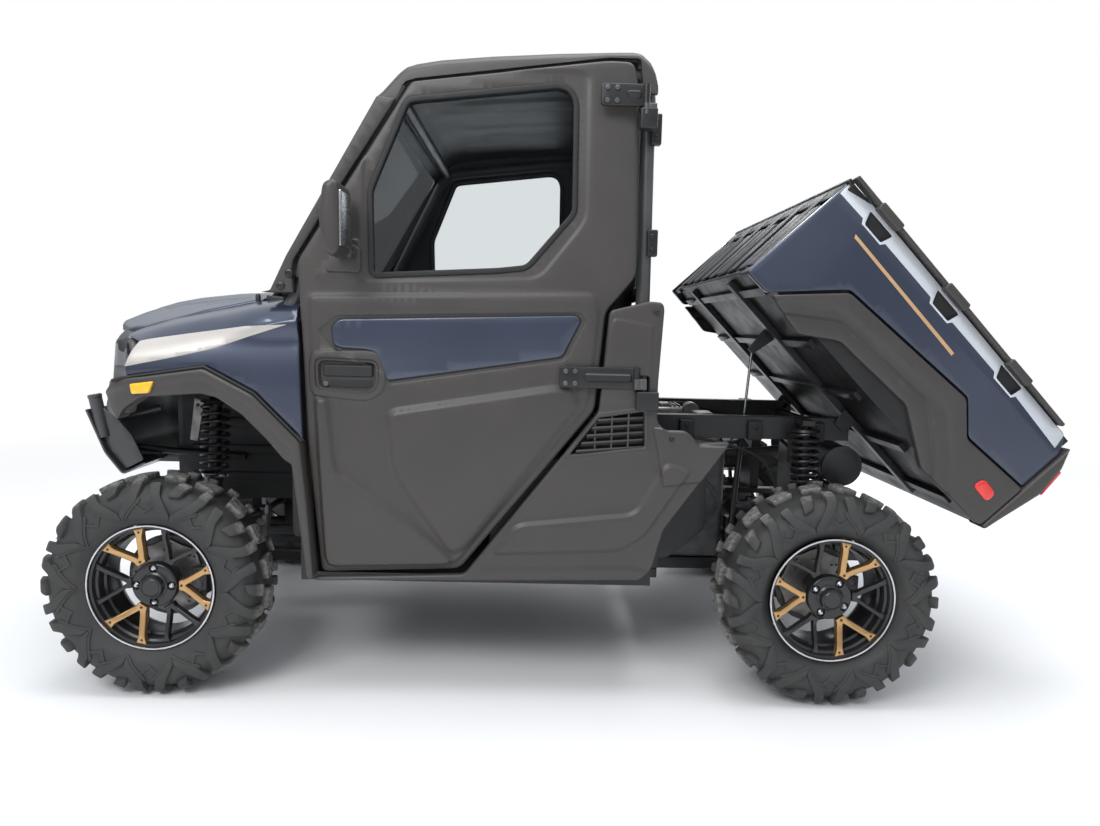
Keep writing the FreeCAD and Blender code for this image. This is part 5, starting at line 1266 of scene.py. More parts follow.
@dataclass(frozen=True)
class FrontCorner:
    """Painted fender, its pale wedge, the arch flare and the marker of one front corner."""

    fender: tuple = (
        (-0.062, 0.978), (-0.067, 1.008), (-0.041, 1.146), (-0.104, 1.208), (-0.124, 1.236),
        (0.288, 1.236), (0.43, 1.236), (0.446, 1.082), (0.458, 0.8), (0.318, 0.94), (0.172, 1.016))
    wedge: tuple = ((-0.064, 1.01), (-0.037, 1.146), (0.412, 1.144), (0.175, 1.072))
    drops: tuple = (
        (-0.13, 0.122), (-0.1, 0.112), (0.0, 0.08), (0.12, 0.052), (0.286, 0.016), (0.43, 0.002))
    flare: tuple = (
        (-0.128, 0.925), (-0.096, 0.96), (-0.073, 0.968), (0.172, 1.006), (0.316, 0.931), (0.455, 0.791),
        (0.474, 0.613), (0.493, 0.378), (0.47, 0.378), (0.429, 0.727), (0.408, 0.738), (0.356, 0.8),
        (0.284, 0.873), (0.212, 0.921), (0.168, 0.932), (-0.007, 0.919), (-0.06, 0.88), (-0.082, 0.846),
        (-0.104, 0.87))

    def painted(self) -> Surface:
        """The fender's skin with a crease that runs down to its rear corner."""
        run = FENDER_SKIN.run
        stamps = [Stamp(softened(run([
            (-0.2, 0.9), (-0.15, 1.058), (0.13, 1.118), (0.43, 1.172), (0.5, 1.17), (0.5, 0.7),
            (0.2, 0.7)]), 0.03), 0.006, 0.018)]
        panel = Panel(softened(run(self.fender), 0.01), [], stamps, 0.012, 0.005, 0.02)
        return panel.solid(self.sloped(-0.0065))

    def sloped(self, proud: float) -> Placing:
        """The fender's placing: its section sinks towards the nose, most at the hood's edge."""
        def shape(points: Array, lift: Array) -> Array:
            """z falls by the drop at x times the share of the way up from z = 1.0."""
            placed = FENDER_SKIN.shape(points, lift + proud)
            x, z = placed[:, 0], placed[:, 2].copy()
            full = smooth((z - 1.08) / 0.1) * (1 - smooth((z - 1.212) / 0.024))
            placed[:, 1] -= 0.045 * smooth((x - 0.15) / 0.21) * full
            placed[:, 2] -= np.interp(x, *np.array(self.drops).T) * smooth((z - 0.98) / 0.26)
            return placed
        return shape

    def film(self) -> Surface:
        """The pale wedge laid on the paint."""
        panel = Panel(softened(FENDER_SKIN.run(self.wedge), 0.003), [], [], 0.001, 0.0004, 0.02)
        return panel.solid(self.sloped(0.0004))

    def arch(self) -> Surface:
        """The grained flare: outer band that bends in at its front, and a return lip into the arch."""
        def shape(points: Array, lift: Array) -> Array:
            """The face bends towards the middle ahead of x = 0."""
            x, z = points.T
            bend = np.clip(-0.01 - x, 0, 1)
            return np.stack([x - bend * 0.15, -(0.786 - 4.5 * bend**2 + lift), z], -1)

        stamps = [Stamp(softened([
            (-0.2, 0.9), (-0.06, 0.948), (0.17, 0.984), (0.3, 0.915), (0.44, 0.775), (0.46, 0.6),
            (0.48, 0.36), (0.3, 0.36), (0.1, 0.7)], 0.02), -0.004, 0.01)]
        face = Panel(softened(self.flare, 0.01), [], stamps, 0.06, 0.007, 0.02)
        return face.solid(shape)

    def gap(self) -> Surface:
        """The dark strip between fender and flare."""
        line = [(-0.098, 0.964), (-0.073, 0.972), (0.172, 1.0115), (0.317, 0.9355), (0.457, 0.7955)]
        path = np.array([(x, -0.77, z) for x, z in line])
        return tube(path, 0.005, 8)

    def marker(self) -> Surface:
        """Amber marker with a bevelled face."""
        outline = softened([(-0.037, 0.957), (0.033, 0.967), (0.018, 0.931), (-0.032, 0.927)], 0.006)
        return side_sheet(outline, 0.008, 0.004, 0.02, 0.7935)

    def build(self, shop: Workshop) -> None:
        """Make both corners."""
        rows = (
            ("fenders", self.painted(), PAINT, "painted", ("front_fenders",)),
            ("wedges", self.film(), WEDGE, "painted", ()),
            ("flares", self.arch(), BODY, "body_plastic", ("arch_flares",)),
            ("fender_gaps", self.gap(), SEAL, "black_plastic", ()),
            ("markers", self.marker(), AMBER, "amber", ("side_markers",)))
        shop.add_rows("front", "chassis", rows, paired)


# Bed

@dataclass(frozen=True)
class Bed:
    """The cargo bed's outside, drawn as it lies when down and then tipped about its pivot."""

    pivot: tuple[float, float] = (2.235, 0.84)
    tilt: float = 46.0
    half: float = 0.728
    caps: tuple[float, ...] = (1.733, 2.05, 2.357)

    def tipped(self, surface: Surface) -> Surface:
        """The surface after the bed has been raised."""
        x, z = self.pivot
        turn = rotation(self.tilt, "Y")
        return surface.turned(shift(x, 0, z) @ turn @ shift(-x, 0, -z))

    def face(self, points: Array, lift: Array) -> Array:
        """The side bends in towards the headboard and above its shoulder."""
        x, z = points.T
        front = np.clip((1.76 - (z - 0.86) * 0.16 - x), 0, 1)
        top = np.clip(z - 1.206, 0, 1)
        return np.stack([x, -(self.half - 0.0005 - 0.12 * front - 0.4 * top + lift), z], -1)

    def painted(self) -> Surface:
        """The painted side with its three notches."""
        outline = [
            (1.566, 0.86), (1.576, 1.274), (2.612, 1.26), (2.6395, 1.2), (2.6395, 1.052), (2.404, 1.026),
            (2.308, 1.104), (1.816, 1.048), (1.652, 0.86)]
        holes = [
            softened([(x - 0.036, 1.206), (x + 0.036, 1.206), (x + 0.05, 1.25), (x - 0.05, 1.25)], 0.006)
            for x in self.caps]
        panel = Panel(softened(outline, 0.01), holes, [], 0.022, 0.004, 0.022)
        return panel.solid(self.face)

    def band(self) -> Surface:
        """The paint's chamfer above the shoulder, which steps down round each notch, in a pale colour that is
        a painted reflection of the sky.
        """
        points = [(1.58, 1.216)]
        for x in self.caps:
            points += [(x - 0.053, 1.214), (x - 0.043, 1.199), (x + 0.04, 1.199), (x + 0.05, 1.214)]
        points += [(2.612, 1.202), (2.611, 1.256), (1.58, 1.27)]
        holes = [softened(
            [(x - 0.037, 1.2045), (x + 0.037, 1.2045), (x + 0.051, 1.25), (x - 0.051, 1.25)], 0.006)
            for x in self.caps]
        panel = Panel(np.array(points), holes, [], 0.0015, 0.0006, 0.03)
        return panel.solid(raised(self.face, 0.0008))

    def notches(self) -> Surface:
        """Dark pockets behind the notches."""
        return joined([
            block((x - 0.058, -self.half + 0.024, 1.198), (x + 0.058, -self.half + 0.034, 1.262), 0.003)
            for x in self.caps])

    def rail(self) -> Surface:
        """Top rail with a thick cap over each notch."""
        line = [(1.577, 1.281), (2.578, 1.267)]
        parts = [block(
            (0, -self.half - 0.001, -0.006), (line[1][0] - line[0][0], -self.half + 0.042, 0.006),
            0.004).turned(shift(line[0][0], 0, line[0][1]) @ rotation(0.8, "Y"))]
        for x in self.caps:
            z = 1.2753 - (x - 1.577) * 0.014
            outline = softened([
                (x - 0.044, z - 0.01), (x + 0.044, z - 0.01), (x + 0.05, z + 0.002),
                (x + 0.046, z + 0.0175), (x - 0.046, z + 0.0175), (x - 0.05, z + 0.002)], 0.005)
            parts.append(side_sheet(outline, 0.042, 0.005, 0.02, self.half + 0.0075))
        return joined(parts)

    def stripe(self) -> Surface:
        """The bronze line below the shoulder."""
        outline = np.array([(1.706, 1.156), (1.7, 1.166), (2.175, 1.158), (2.175, 1.147)])
        return Panel(outline, [], [], 0.001, 0.0004, 0.03).solid(raised(self.face, 0.0005))

    def skirt(self) -> Surface:
        """Grained skirt round the arch with a double step down to its inner lip."""
        outline = [
            (1.664, 0.86), (1.819, 1.038), (2.305, 1.094), (2.402, 1.016), (2.6385, 1.044),
            (2.6385, 0.876), (2.607, 0.868), (2.385, 0.858), (2.203, 0.952), (1.914, 0.928),
            (1.812, 0.848), (1.785, 0.85)]
        steps = fields([
            ([(1.6, 0.8), (1.83, 0.995), (2.285, 1.046), (2.42, 0.955), (2.56, 0.8)], 0.03, -0.01, 0.014),
            (
                [(1.66, 0.8), (1.865, 0.972), (2.24, 1.01), (2.395, 0.905), (2.48, 0.8)], 0.03, -0.012,
                0.01)])
        panel = Panel(softened(outline, 0.014), [], steps, 0.02, 0.006, 0.02)
        return panel.solid(at_side(self.half + 0.012))

    def tail(self) -> tuple[Surface, Surface]:
        """Tail post and its lamp."""
        post = softened([
            (2.641, 1.236), (2.674, 1.171), (2.689, 1.072), (2.665, 0.931), (2.657, 0.876),
            (2.641, 0.876)], 0.01)
        body = side_sheet(post, 0.075, 0.01, 0.02, 0.7435)
        lamp = softened([(2.67, 1.166), (2.69, 1.076), (2.697, 1.076), (2.684, 1.166)], 0.004)
        return body, side_sheet(lamp, 0.05, 0.003, 0.02, 0.735)

    def reflector(self) -> Surface:
        """Rounded red reflector on the skirt."""
        outline = softened([(2.522, 0.936), (2.592, 0.934), (2.59, 0.972), (2.53, 0.976)], 0.016)
        return side_sheet(outline, 0.006, 0.003, 0.015, 0.7455)

    def headboard(self) -> Surface:
        """Stepped ribs across the front of the box, and its upper band."""
        parts = [block((1.5725, -0.69, 1.196), (1.584, 0.69, 1.262), 0.005)]
        for i in range(9):
            y = -0.62 + 0.155 * i
            parts.append(block((1.572, y - 0.045, 0.905), (1.585, y + 0.045, 1.17), 0.006))
        parts.append(block((1.5685, -0.7, 1.258), (1.59, 0.7, 1.2735), 0.004))
        parts.append(tube([(1.58, -0.6, 0.884), (1.58, 0.6, 0.884)], 0.006, 12))
        for side in (-1, 1):
            parts.append(block((1.573, side * 0.56, 0.868), (1.592, side * 0.64, 0.9), 0.004))
        return joined(parts)

    def build(self, shop: Workshop) -> None:
        """Make the bed's pieces."""
        post, lamp = self.tail()
        rows = (
            ("painted_sides", self.painted(), PAINT, "painted", ("bed_sides",)),
            # Pale band on the shoulder chamfer: painted reflection of the sky.
            ("light_bands", self.band(), PAINTED_SKY_REFLECTION, "painted", ()),
            ("notch_pockets", self.notches(), SEAL, "black_plastic", ()),
            ("top_rails", self.rail(), BODY, "black_plastic", ("bed_rails",)),
            ("stripes", self.stripe(), TAN, "painted", ()),
            ("skirts", self.skirt(), BODY, "body_plastic", ("bed_skirts",)),
            ("posts", post, BODY, "body_plastic", ("tail_posts",)),
            ("lamps", lamp, RED, "red_lens", ("tail_lamps",)),
            ("reflectors", self.reflector(), RED, "red_lens", ()))
        shop.add_rows("bed", "bed", rows, lambda surface: self.tipped(paired(surface)))
        shop.add("bed_headboard", self.tipped(self.headboard()), LINER, Place("bed", "bed_liner"))


def circle(radius: float, steps: int, x: float = 0.0, z: float = 0.0) -> Array:
    """Points round a circle about (x, z)."""
    turn = np.arange(steps) * 2 * np.pi / steps
    return np.stack([x + radius * np.sin(turn), z + radius * np.cos(turn)], -1)


def bent(points: list[tuple], radius: float, steps: int = 6) -> Array:
    """An open line in space whose inner corners become parabolas that start and end radius away."""
    line = np.array(points, float)
    here, back, ahead = line[1:-1], line[:-2] - line[1:-1], line[2:] - line[1:-1]
    reach = [np.minimum(radius, 0.45 * np.linalg.norm(way, axis=1))[:, None] for way in (back, ahead)]
    a = here + back / np.linalg.norm(back, axis=1)[:, None] * reach[0]
    b = here + ahead / np.linalg.norm(ahead, axis=1)[:, None] * reach[1]
    t = np.linspace(0, 1, steps)[None, :, None]
    bend = (1 - t) ** 2 * a[:, None] + 2 * t * (1 - t) * here[:, None] + t**2 * b[:, None]
    return np.vstack([line[:1], bend.reshape(-1, 3), line[-1:]])


def helix(low: tuple, high: tuple, radius: float, turns: float, wire: float) -> Surface:
    """A coil spring between two points: centre + radius (cos a . side + sin a . up), closer at its ends."""
    start, end = np.array(low, float), np.array(high, float)
    ahead = (end - start) / np.linalg.norm(end - start)
    side = np.cross(ahead, [1.0, 0.0, 0.0])
    side /= np.linalg.norm(side)
    up = np.cross(ahead, side)
    share = np.linspace(0, 1, int(turns * 22))
    climb = smooth(share * 0.5 + 0.25) * 0.35 + share * 0.65
    climb = (climb - climb[0]) / (climb[-1] - climb[0])
    turn = share * turns * 2 * np.pi
    ring = np.cos(turn)[:, None] * side + np.sin(turn)[:, None] * up
    return tube(start + (end - start) * climb[:, None] + ring * radius, wire, 8)


def between(profile: Pairs, low: tuple, high: tuple, steps: int = 28) -> Surface:
    """A turned piece of (distance along, radius) laid from one point towards another."""
    start, end = np.array(low, float), np.array(high, float)
    ahead = (end - start) / np.linalg.norm(end - start)
    side = np.cross(ahead, np.eye(3)[np.argmin(np.abs(ahead))])
    side /= np.linalg.norm(side)
    place = np.eye(4)
    place[:3, 0], place[:3, 1], place[:3, 2], place[:3, 3] = side, ahead, np.cross(side, ahead), start
    return lathe(profile, steps).turned(place)


# Wheels

@dataclass(frozen=True)
class Wheel:
    """A cast wheel about its own centre, facing left: barrel, spokes, spoke covers, hub and brake disc."""

    half: float
    disc_out: float
    covers: tuple[int, ...]
    nut_turn: float
    rim: float = 0.194
    nut_circle: float = 0.0535
    disc_radius: float = 0.118

    def dished(self, depth: float) -> Placing:
        """A placing of (u, r) points on the dished face, that far in from the lip."""
        def shape(points: Array, lift: Array) -> Array:
            """The face sinks by 18 mm from the spokes' feet to their roots."""
            radius = np.hypot(points[:, 0], points[:, 1])
            out = self.half - depth - 0.018 * smooth((0.172 - radius) / 0.085) + lift
            return np.stack([points[:, 0], -out, points[:, 1]], -1)
        return shape

    def vee(self, bar: float, foot: float) -> Array:
        """Outline of two spokes that meet at their root: half widths of a bar, and of its foot in degrees."""
        along, across = np.array([0.525, 0.851]), np.array([0.851, -0.525])
        neck = np.array([0.0484, 0.1548])
        outer, inner = neck + across * bar, neck - across * bar
        ends = [
            np.array([math.sin(a), math.cos(a)]) * 0.1845
            for a in (math.radians(18.5 + foot), math.radians(18.5 - foot))]
        crotch = inner - along * inner[0] / along[0]
        right = [(0.0145, 0.0735), outer - along * 0.0725, outer, *ends, inner]
        whole = right + [crotch] + [(-u, r) for u, r in reversed(right)]
        return softened(whole, 0.0035, 4)

    def barrel(self) -> Surface:
        """Stepped inside, well and back flange as one closed section of (distance out, radius)."""
        h, r = self.half, self.rim
        section = [
            (h - 0.0012, r - 0.0045), (h - 0.01, r - 0.0062), (h - 0.0125, r - 0.0125),
            (h - 0.03, r - 0.0145), (h - 0.034, r - 0.021), (h - 0.062, r - 0.024),
            (h - 0.066, r - 0.031), (-h + 0.06, r - 0.036), (-h + 0.01, r - 0.013),
            (-h + 0.001, r - 0.01), (-h, r - 0.004), (-h + 0.014, r - 0.004), (-h + 0.055, r - 0.027),
            (h - 0.06, r - 0.022), (h - 0.05, r - 0.006), (h - 0.006, r - 0.0008), (h - 0.001, r - 0.001)]
        return lathe([(-out, radius) for out, radius in section], 128, True)

    def hub(self) -> Surface:
        """Plate with sunk nut seats, cap with its collar, and the cone back to the brake disc."""
        turns = [math.radians(self.nut_turn + 90 * i) for i in range(4)]
        seats = [Stamp(
            circle(0.0145, 20, self.nut_circle * math.sin(a), self.nut_circle * math.cos(a)), -0.009,
            0.003) for a in turns]
        shell = Panel(circle(0.069, 56), [], seats, 0.022, 0.007, 0.01).solid(at_side(self.half - 0.026))
        out = self.half - 0.028
        cap = [
            (-out - 0.026, AXIS), (-out - 0.026, 0.024), (-out - 0.024, 0.0265), (-out - 0.0245, 0.0285),
            (-out - 0.026, 0.0295), (-out - 0.025, 0.0325), (-out - 0.021, 0.0345),
            (-out - 0.008, 0.0355), (-out - 0.0065, 0.0375), (-out - 0.004, 0.041), (-out + 0.004, 0.043),
            (-out + 0.004, AXIS)]
        cone = [
            (-out + 0.01, 0.06), (-out + 0.03, 0.046), (self.disc_out, 0.04), (self.disc_out, AXIS),
            (-out + 0.01, AXIS)]
        return joined([shell, lathe(cap, 64), lathe(cone, 40)])

    def spokes(self) -> Surface:
        """Six pairs."""
        pair = Panel(self.vee(0.0062, 3.4), [], [], 0.02, 0.0028, 0.012).solid(self.dished(0.0205))
        return repeated(pair, [rotation(60 * i + 30, "Y") for i in range(6)])

    def cover(self) -> Surface:
        """Pale covers on three of the pairs."""
        pair = Panel(self.vee(0.009, 5.0), [], [], 0.018, 0.0034, 0.01).solid(self.dished(0.0105))
        return repeated(pair, [rotation(a, "Y") for a in self.covers])

    def screws(self) -> Surface:
        """Dark screws in the covers' feet and roots."""
        parts = []
        for middle in self.covers:
            for turn, radius, depth in (
                (-18.5, 0.172, 0.0115), (18.5, 0.172, 0.0115), (0.0, 0.0825, 0.0285)):
                a = math.radians(middle + turn)
                parts.append(
                    bolt(radius * math.sin(a), self.half - depth, radius * math.cos(a), 0.0042, 0.0012))
        return joined(parts)

    def nuts(self) -> Surface:
        """Four bright nuts."""
        nut = joined([
            lathe([(-0.013, AXIS), (-0.013, 0.0072), (-0.0105, 0.0094), (0.0, 0.0098), (0.0, AXIS)], 6),
            lathe(
                [(-0.0165, AXIS), (-0.016, 0.004), (-0.0135, 0.0065), (-0.012, 0.0068), (-0.012, AXIS)],
                24)])
        places = []
        for i in range(4):
            a = math.radians(self.nut_turn + 90 * i)
            places.append(
                shift(self.nut_circle * math.sin(a), -(self.half - 0.036), self.nut_circle * math.cos(a)))
        return repeated(nut, places)

    def lip(self) -> Surface:
        """The machined ring on the lip."""
        h, r = self.half, self.rim
        return lathe([
            (-h + 0.004, r - 0.0052), (-h, r - 0.0048), (-h - 0.0002, r - 0.0026), (-h, r - 0.0004),
            (-h + 0.004, r - 0.0002)], 160, True)

    def disc(self) -> Surface:
        """Brake disc with eight sets of three holes and a waved edge."""
        turn = np.arange(96) * 2 * np.pi / 96
        reach = self.disc_radius - 0.004 + 0.004 * np.cos(turn * 8)
        holes = [circle(0.036, 24)]
        for i in range(8):
            for step, radius in ((-7, 0.084), (0, 0.094), (7, 0.104)):
                a = math.radians(45 * i + step)
                holes.append(circle(0.0034, 8, radius * math.sin(a), radius * math.cos(a)))
        outline = np.stack([reach * np.sin(turn), reach * np.cos(turn)], -1)
        return Panel(outline, holes, [], 0.005, 0.0006, 0.016).solid(at_side(-self.disc_out))

    def build(self, shop: Workshop, label: str, side: Side, hub: Array) -> None:
        """Make one wheel's pieces at its hub.

        Args:
            shop: The workshop.
            label: The wheel's place, such as front_left.
            side: Its side.
            hub: Its centre, x from the front axle.
        """
        rows = ((
            "casting", joined([self.barrel(), self.spokes(), self.hub()]), DARK_ALLOY, "alloy",
            (f"wheel_{label}",)), ("lip", self.lip(), BRIGHT, "alloy", ()),
            ("covers", self.cover(), BRONZE, "alloy", ()),
            ("screws", self.screws(), COATED, "frame_steel", ()),
            ("nuts", self.nuts(), BRIGHT, "bright_steel", ()),
            ("brake_disc", self.disc(), DULL, "cast_metal", ()))
        shop.add_rows(
            f"wheel_{label}", f"wheel_{label}", rows, lambda surface: surface.on(side).moved(*hub))


WHEELS = {
    "front": Wheel(0.095, 0.0287, (90, 210, 330), 0.0), "rear": Wheel(0.11, 0.0537, (30, 150, 270), 30.0)}


# Nose, hood and bumper

@dataclass(frozen=True)
class FrontEnd:
    """Nose panel with its grille, hood, cowl, screen pillar covers and bumper."""

    plan: tuple = (
        (0.0, -0.362), (0.1, -0.359), (0.2, -0.348), (0.3, -0.325), (0.4, -0.284), (0.46, -0.25),
        (0.52, -0.212), (0.58, -0.172), (0.64, -0.132), (0.69, -0.1), (0.73, -0.068), (0.755, -0.03))

    def nose_skin(self, points: Array, lift: Array) -> Array:
        """(y, z) on the nose: its plan curve leans back above the lamps and moves out along its normal."""
        y, z = points.T
        knots = np.array(self.plan)
        x = np.interp(np.abs(y), knots[:, 0], knots[:, 1])
        slope = np.interp(np.abs(y), knots[:, 0], np.gradient(knots[:, 1], knots[:, 0]))
        size = np.sqrt(1 + slope**2)
        lean = 0.1 * (z - 0.95) + 0.9 * np.clip(z - 1.075, 0, 1)
        return np.stack([x + lean - lift / size, y + np.sign(y) * lift * slope / size, z], -1)

    def nose(self) -> Surface:
        """Grained panel with a grille opening and two lamp openings."""
        grille = softened([(-0.385, 0.888), (0.385, 0.888), (0.345, 1.03), (-0.345, 1.03)], 0.02)
        lamp = softened(
            [(0.48, 0.992), (0.732, 1.008), (0.712, 1.05), (0.69, 1.072), (0.62, 1.088), (0.44, 1.068)],
            0.01)
        other = lamp[::-1] * [-1, 1]
        outline = softened([
            (-0.742, 0.868), (-0.6, 0.838), (0.6, 0.838), (0.742, 0.868), (0.752, 0.96), (0.746, 1.02),
            (0.704, 1.078), (0.64, 1.098), (0.4, 1.112), (-0.4, 1.112), (-0.64, 1.098), (-0.704, 1.078),
            (-0.746, 1.02), (-0.752, 0.96)], 0.01)
        stamps = fields([([
            (-0.8, 0.8), (0.8, 0.8), (0.8, 0.955), (0.46, 0.955), (0.42, 0.88), (-0.42, 0.88),
            (-0.46, 0.955), (-0.8, 0.955)], 0.02, 0.014, 0.016),
            ([(-0.415, 0.868), (0.415, 0.868), (0.372, 1.052), (-0.372, 1.052)], 0.02, -0.01, 0.012)])
        return Panel(outline, [grille, lamp, other], stamps, 0.014, 0.006, 0.022).solid(self.nose_skin)

    def grille(self) -> Surface:
        """Six bars, two uprights and the dark screen behind them."""
        parts = []
        for i in range(6):
            z = 0.902 + 0.0225 * i
            half = 0.382 - 0.005 * i
            bar = Panel(
                np.array([(-half, z - 0.005), (half, z - 0.005), (half, z + 0.005), (-half, z + 0.005)]),
                [], [], 0.022, 0.002, 0.02)
            parts.append(bar.solid(raised(self.nose_skin, -0.016)))
        for y in (-0.13, 0.13):
            post = Panel(
                np.array([(y - 0.008, 0.89), (y + 0.008, 0.89), (y + 0.008, 1.028), (y - 0.008, 1.028)]),
                [], [], 0.02, 0.002, 0.02)
            parts.append(post.solid(raised(self.nose_skin, -0.012)))
        back = Panel(
            np.array([(-0.4, 0.88), (0.4, 0.88), (0.36, 1.04), (-0.36, 1.04)]), [], [], 0.003, 0.001,
            0.04)
        parts.append(back.solid(raised(self.nose_skin, -0.045)))
        return joined(parts)

    def lamps(self) -> tuple[Surface, Surface, Surface]:
        """Lens, dark housing and bright cups of the left headlamp."""
        outline = softened([
            (-0.476, 0.99), (-0.734, 1.006), (-0.714, 1.051), (-0.692, 1.073), (-0.62, 1.09),
            (-0.438, 1.069)], 0.01)
        lens = Panel(outline, [], [], 0.003, 0.003, 0.02).solid(raised(self.nose_skin, 0.001))
        house = Panel(outline, [], [], 0.004, 0.001, 0.03).solid(raised(self.nose_skin, -0.042))
        cups = []
        for y, z, size in ((-0.69, 1.034, 0.022), (-0.635, 1.038, 0.024), (-0.57, 1.036, 0.024)):
            at = self.nose_skin(np.array([[y, z]]), np.array([-0.012]))[0]
            deep = self.nose_skin(np.array([[y, z]]), np.array([-0.04]))[0]
            cups.append(between([
                (0.0, size), (0.012, size * 0.8), (0.024, size * 0.35), (0.024, AXIS), (0.028, AXIS),
                (0.028, size * 0.5), (0.014, size + 0.002)], tuple(at), tuple(deep), 28))
        return lens, house, joined(cups)

    def hood(self) -> Surface:
        """Lid with a raised middle, crowned across: the drop grows as |y| to the power 2.5."""
        edge = [
            (-0.345, 0.0), (-0.332, -0.16), (-0.3, -0.28), (-0.252, -0.39), (-0.18, -0.49),
            (-0.095, -0.545), (0.0, -0.5585), (0.2845, -0.5585), (0.2845, 0.5585), (0.0, 0.5585),
            (-0.095, 0.545), (-0.18, 0.49), (-0.252, 0.39), (-0.3, 0.28), (-0.332, 0.16)]
        spine = np.array([
            (-0.36, 1.1), (-0.345, 1.118), (-0.325, 1.14), (-0.29, 1.164), (-0.226, 1.191),
            (-0.15, 1.213), (-0.06, 1.23), (0.09, 1.2465), (0.286, 1.2535)])

        def shape(points: Array, lift: Array) -> Array:
            """Height of the lid at (x, y)."""
            x, y = points.T
            drop = np.clip(0.065 - 0.149 * x, 0.02, 0.096) * (np.abs(y) / 0.5) ** 2.5
            return np.stack([x, y, np.interp(x, spine[:, 0], spine[:, 1]) - drop + lift], -1)

        middle = softened([
            (-0.36, -0.15), (-0.2, -0.2), (0.24, -0.3), (0.262, -0.27), (0.262, 0.27), (0.24, 0.3),
            (-0.2, 0.2), (-0.36, 0.15)], 0.03)
        flank = softened(
            [(-0.16, -0.3), (0.2, -0.39), (0.225, -0.44), (0.19, -0.475), (-0.06, -0.455)], 0.03)
        stamps = [
            Stamp(middle, 0.004, 0.03), Stamp(flank, -0.006, 0.018),
            Stamp(flank[::-1] * [1, -1], -0.006, 0.018)]
        return Panel(softened(edge, 0.012), [], stamps, 0.014, 0.007, 0.022).solid(shape)

    def cowl(self) -> Surface:
        """Vented panel below the windscreen, with the hinge mates."""
        slots = []
        for i in range(12):
            y = -0.385 + 0.07 * i
            slots.append(softened(
                [(0.325, y - 0.022), (0.345, y - 0.022), (0.345, y + 0.022), (0.325, y + 0.022)], 0.006))
        outline = softened(
            [(0.2895, -0.5645), (0.4275, -0.5645), (0.4275, 0.5645), (0.2895, 0.5645)], 0.008)

        def shape(points: Array, lift: Array) -> Array:
            """The panel falls towards the screen."""
            x, y = points.T
            return np.stack([x, y, 1.232 - 0.12 * np.clip(x - 0.2895, 0, 0.05) + lift], -1)

        parts = [Panel(outline, slots, [], 0.012, 0.004, 0.03).solid(shape)]
        for side in (-1, 1):
            y = side * 0.4453
            parts.append(block((0.289, y - 0.015, 1.226), (0.299, y + 0.015, 1.243), 0.003))
            parts.append(tube([(0.294, y - 0.015, 1.242), (0.294, y + 0.015, 1.242)], 0.0048, 14))
            parts.append(lathe(
                [(-0.012, AXIS), (-0.012, 0.008), (0.006, 0.008), (0.011, 0.006), (0.012, AXIS)],
                20).turned(shift(0.272, side * 0.585, 1.222) @ rotation(90, "X")))
        return joined(parts)

    def pillar_covers(self) -> tuple[Surface, Surface]:
        """The moulded cover along each screen pillar with its foot, and the two bolts in the foot."""
        outline = softened([
            (0.323, 1.236), (0.352, 1.243), (0.4, 1.345), (0.669, 1.813), (0.724, 1.806), (0.606, 1.622),
            (0.422, 1.332), (0.418, 1.3), (0.424, 1.236)], 0.006)
        bolts = [bolt(x, 0.7215, z, 0.0125, 0.005) for x, z in ((0.385, 1.2555), (0.411, 1.293))]
        return side_sheet(outline, 0.045, 0.006, 0.02, 0.7215), joined(bolts)

    def bumper(self) -> Surface:
        """Folded plate between two capped uprights, with its stays."""
        profile = [(-0.399, 0.829), (-0.338, 0.681), (-0.277, 0.604), (-0.198, 0.646)]
        line = np.array(bent([(x, 0.0, z) for x, z in profile], 0.016, 5))
        across = np.linspace(-0.372, 0.372, 24)
        rise = np.gradient(line, axis=0)
        rise /= np.linalg.norm(rise, axis=1)[:, None]
        normal = np.stack([rise[:, 2], np.zeros(len(rise)), -rise[:, 0]], -1)
        front = line[:, None] + np.array([0.0, 1.0, 0.0]) * across[None, :, None]
        back = front - normal[:, None] * 0.006
        skin = [grid(front), grid(back[:, ::-1])]
        skin += [grid(np.stack([front[k], back[k]])) for k in (0, -1)]
        skin += [grid(np.stack([front[:, k], back[:, k]])) for k in (0, -1)]
        ribs = []
        for side in (-1, 1):
            y = side * 0.348
            foot, top = (-0.33, y, 0.65), (-0.379, y, 0.886)
            ribs.append(between([
                (0.085, AXIS), (0.085, 0.0215), (0.226, 0.0215), (0.2265, 0.023), (0.234, 0.023),
                (0.2375, 0.02), (0.238, AXIS)], foot, top, 32))
            gusset = softened([
                (-0.392, 0.826), (-0.33, 0.69), (-0.276, 0.622), (-0.212, 0.655), (-0.25, 0.74),
                (-0.3, 0.8), (-0.352, 0.838)], 0.008)
            sheet = side_sheet(gusset, 0.005, 0.002, 0.03, 0.352)
            ribs.append(sheet if side < 0 else sheet.mirrored())
            ribs.append(
                block((-0.3, side * 0.19 - 0.012, 0.625), (-0.1503, side * 0.19 + 0.012, 0.655), 0.004))
            ribs.append(between(
                [(0.0, AXIS), (0.0, 0.013), (0.14, 0.013), (0.14, AXIS)], (-0.33, side * 0.26, 0.79),
                (-0.19, side * 0.24, 0.83), 16))
        return joined(skin + ribs)

    def guard(self) -> Surface:
        """Skid plate under the nose and the two braces from the bumper to the front posts."""
        parts = []
        for side in (-1, 1):
            parts.append(tube(bent(
                [(-0.3, side * 0.3, 0.7), (-0.16, side * 0.24, 0.672), (0.1, side * 0.225, 0.655)], 0.05),
                0.0125, 14))
            parts.append(tube(bent(
                [(-0.335, side * 0.3, 0.868), (-0.25, side * 0.27, 0.885), (-0.13, side * 0.215, 0.9)],
                0.04), 0.0125, 14))
        return joined(parts)

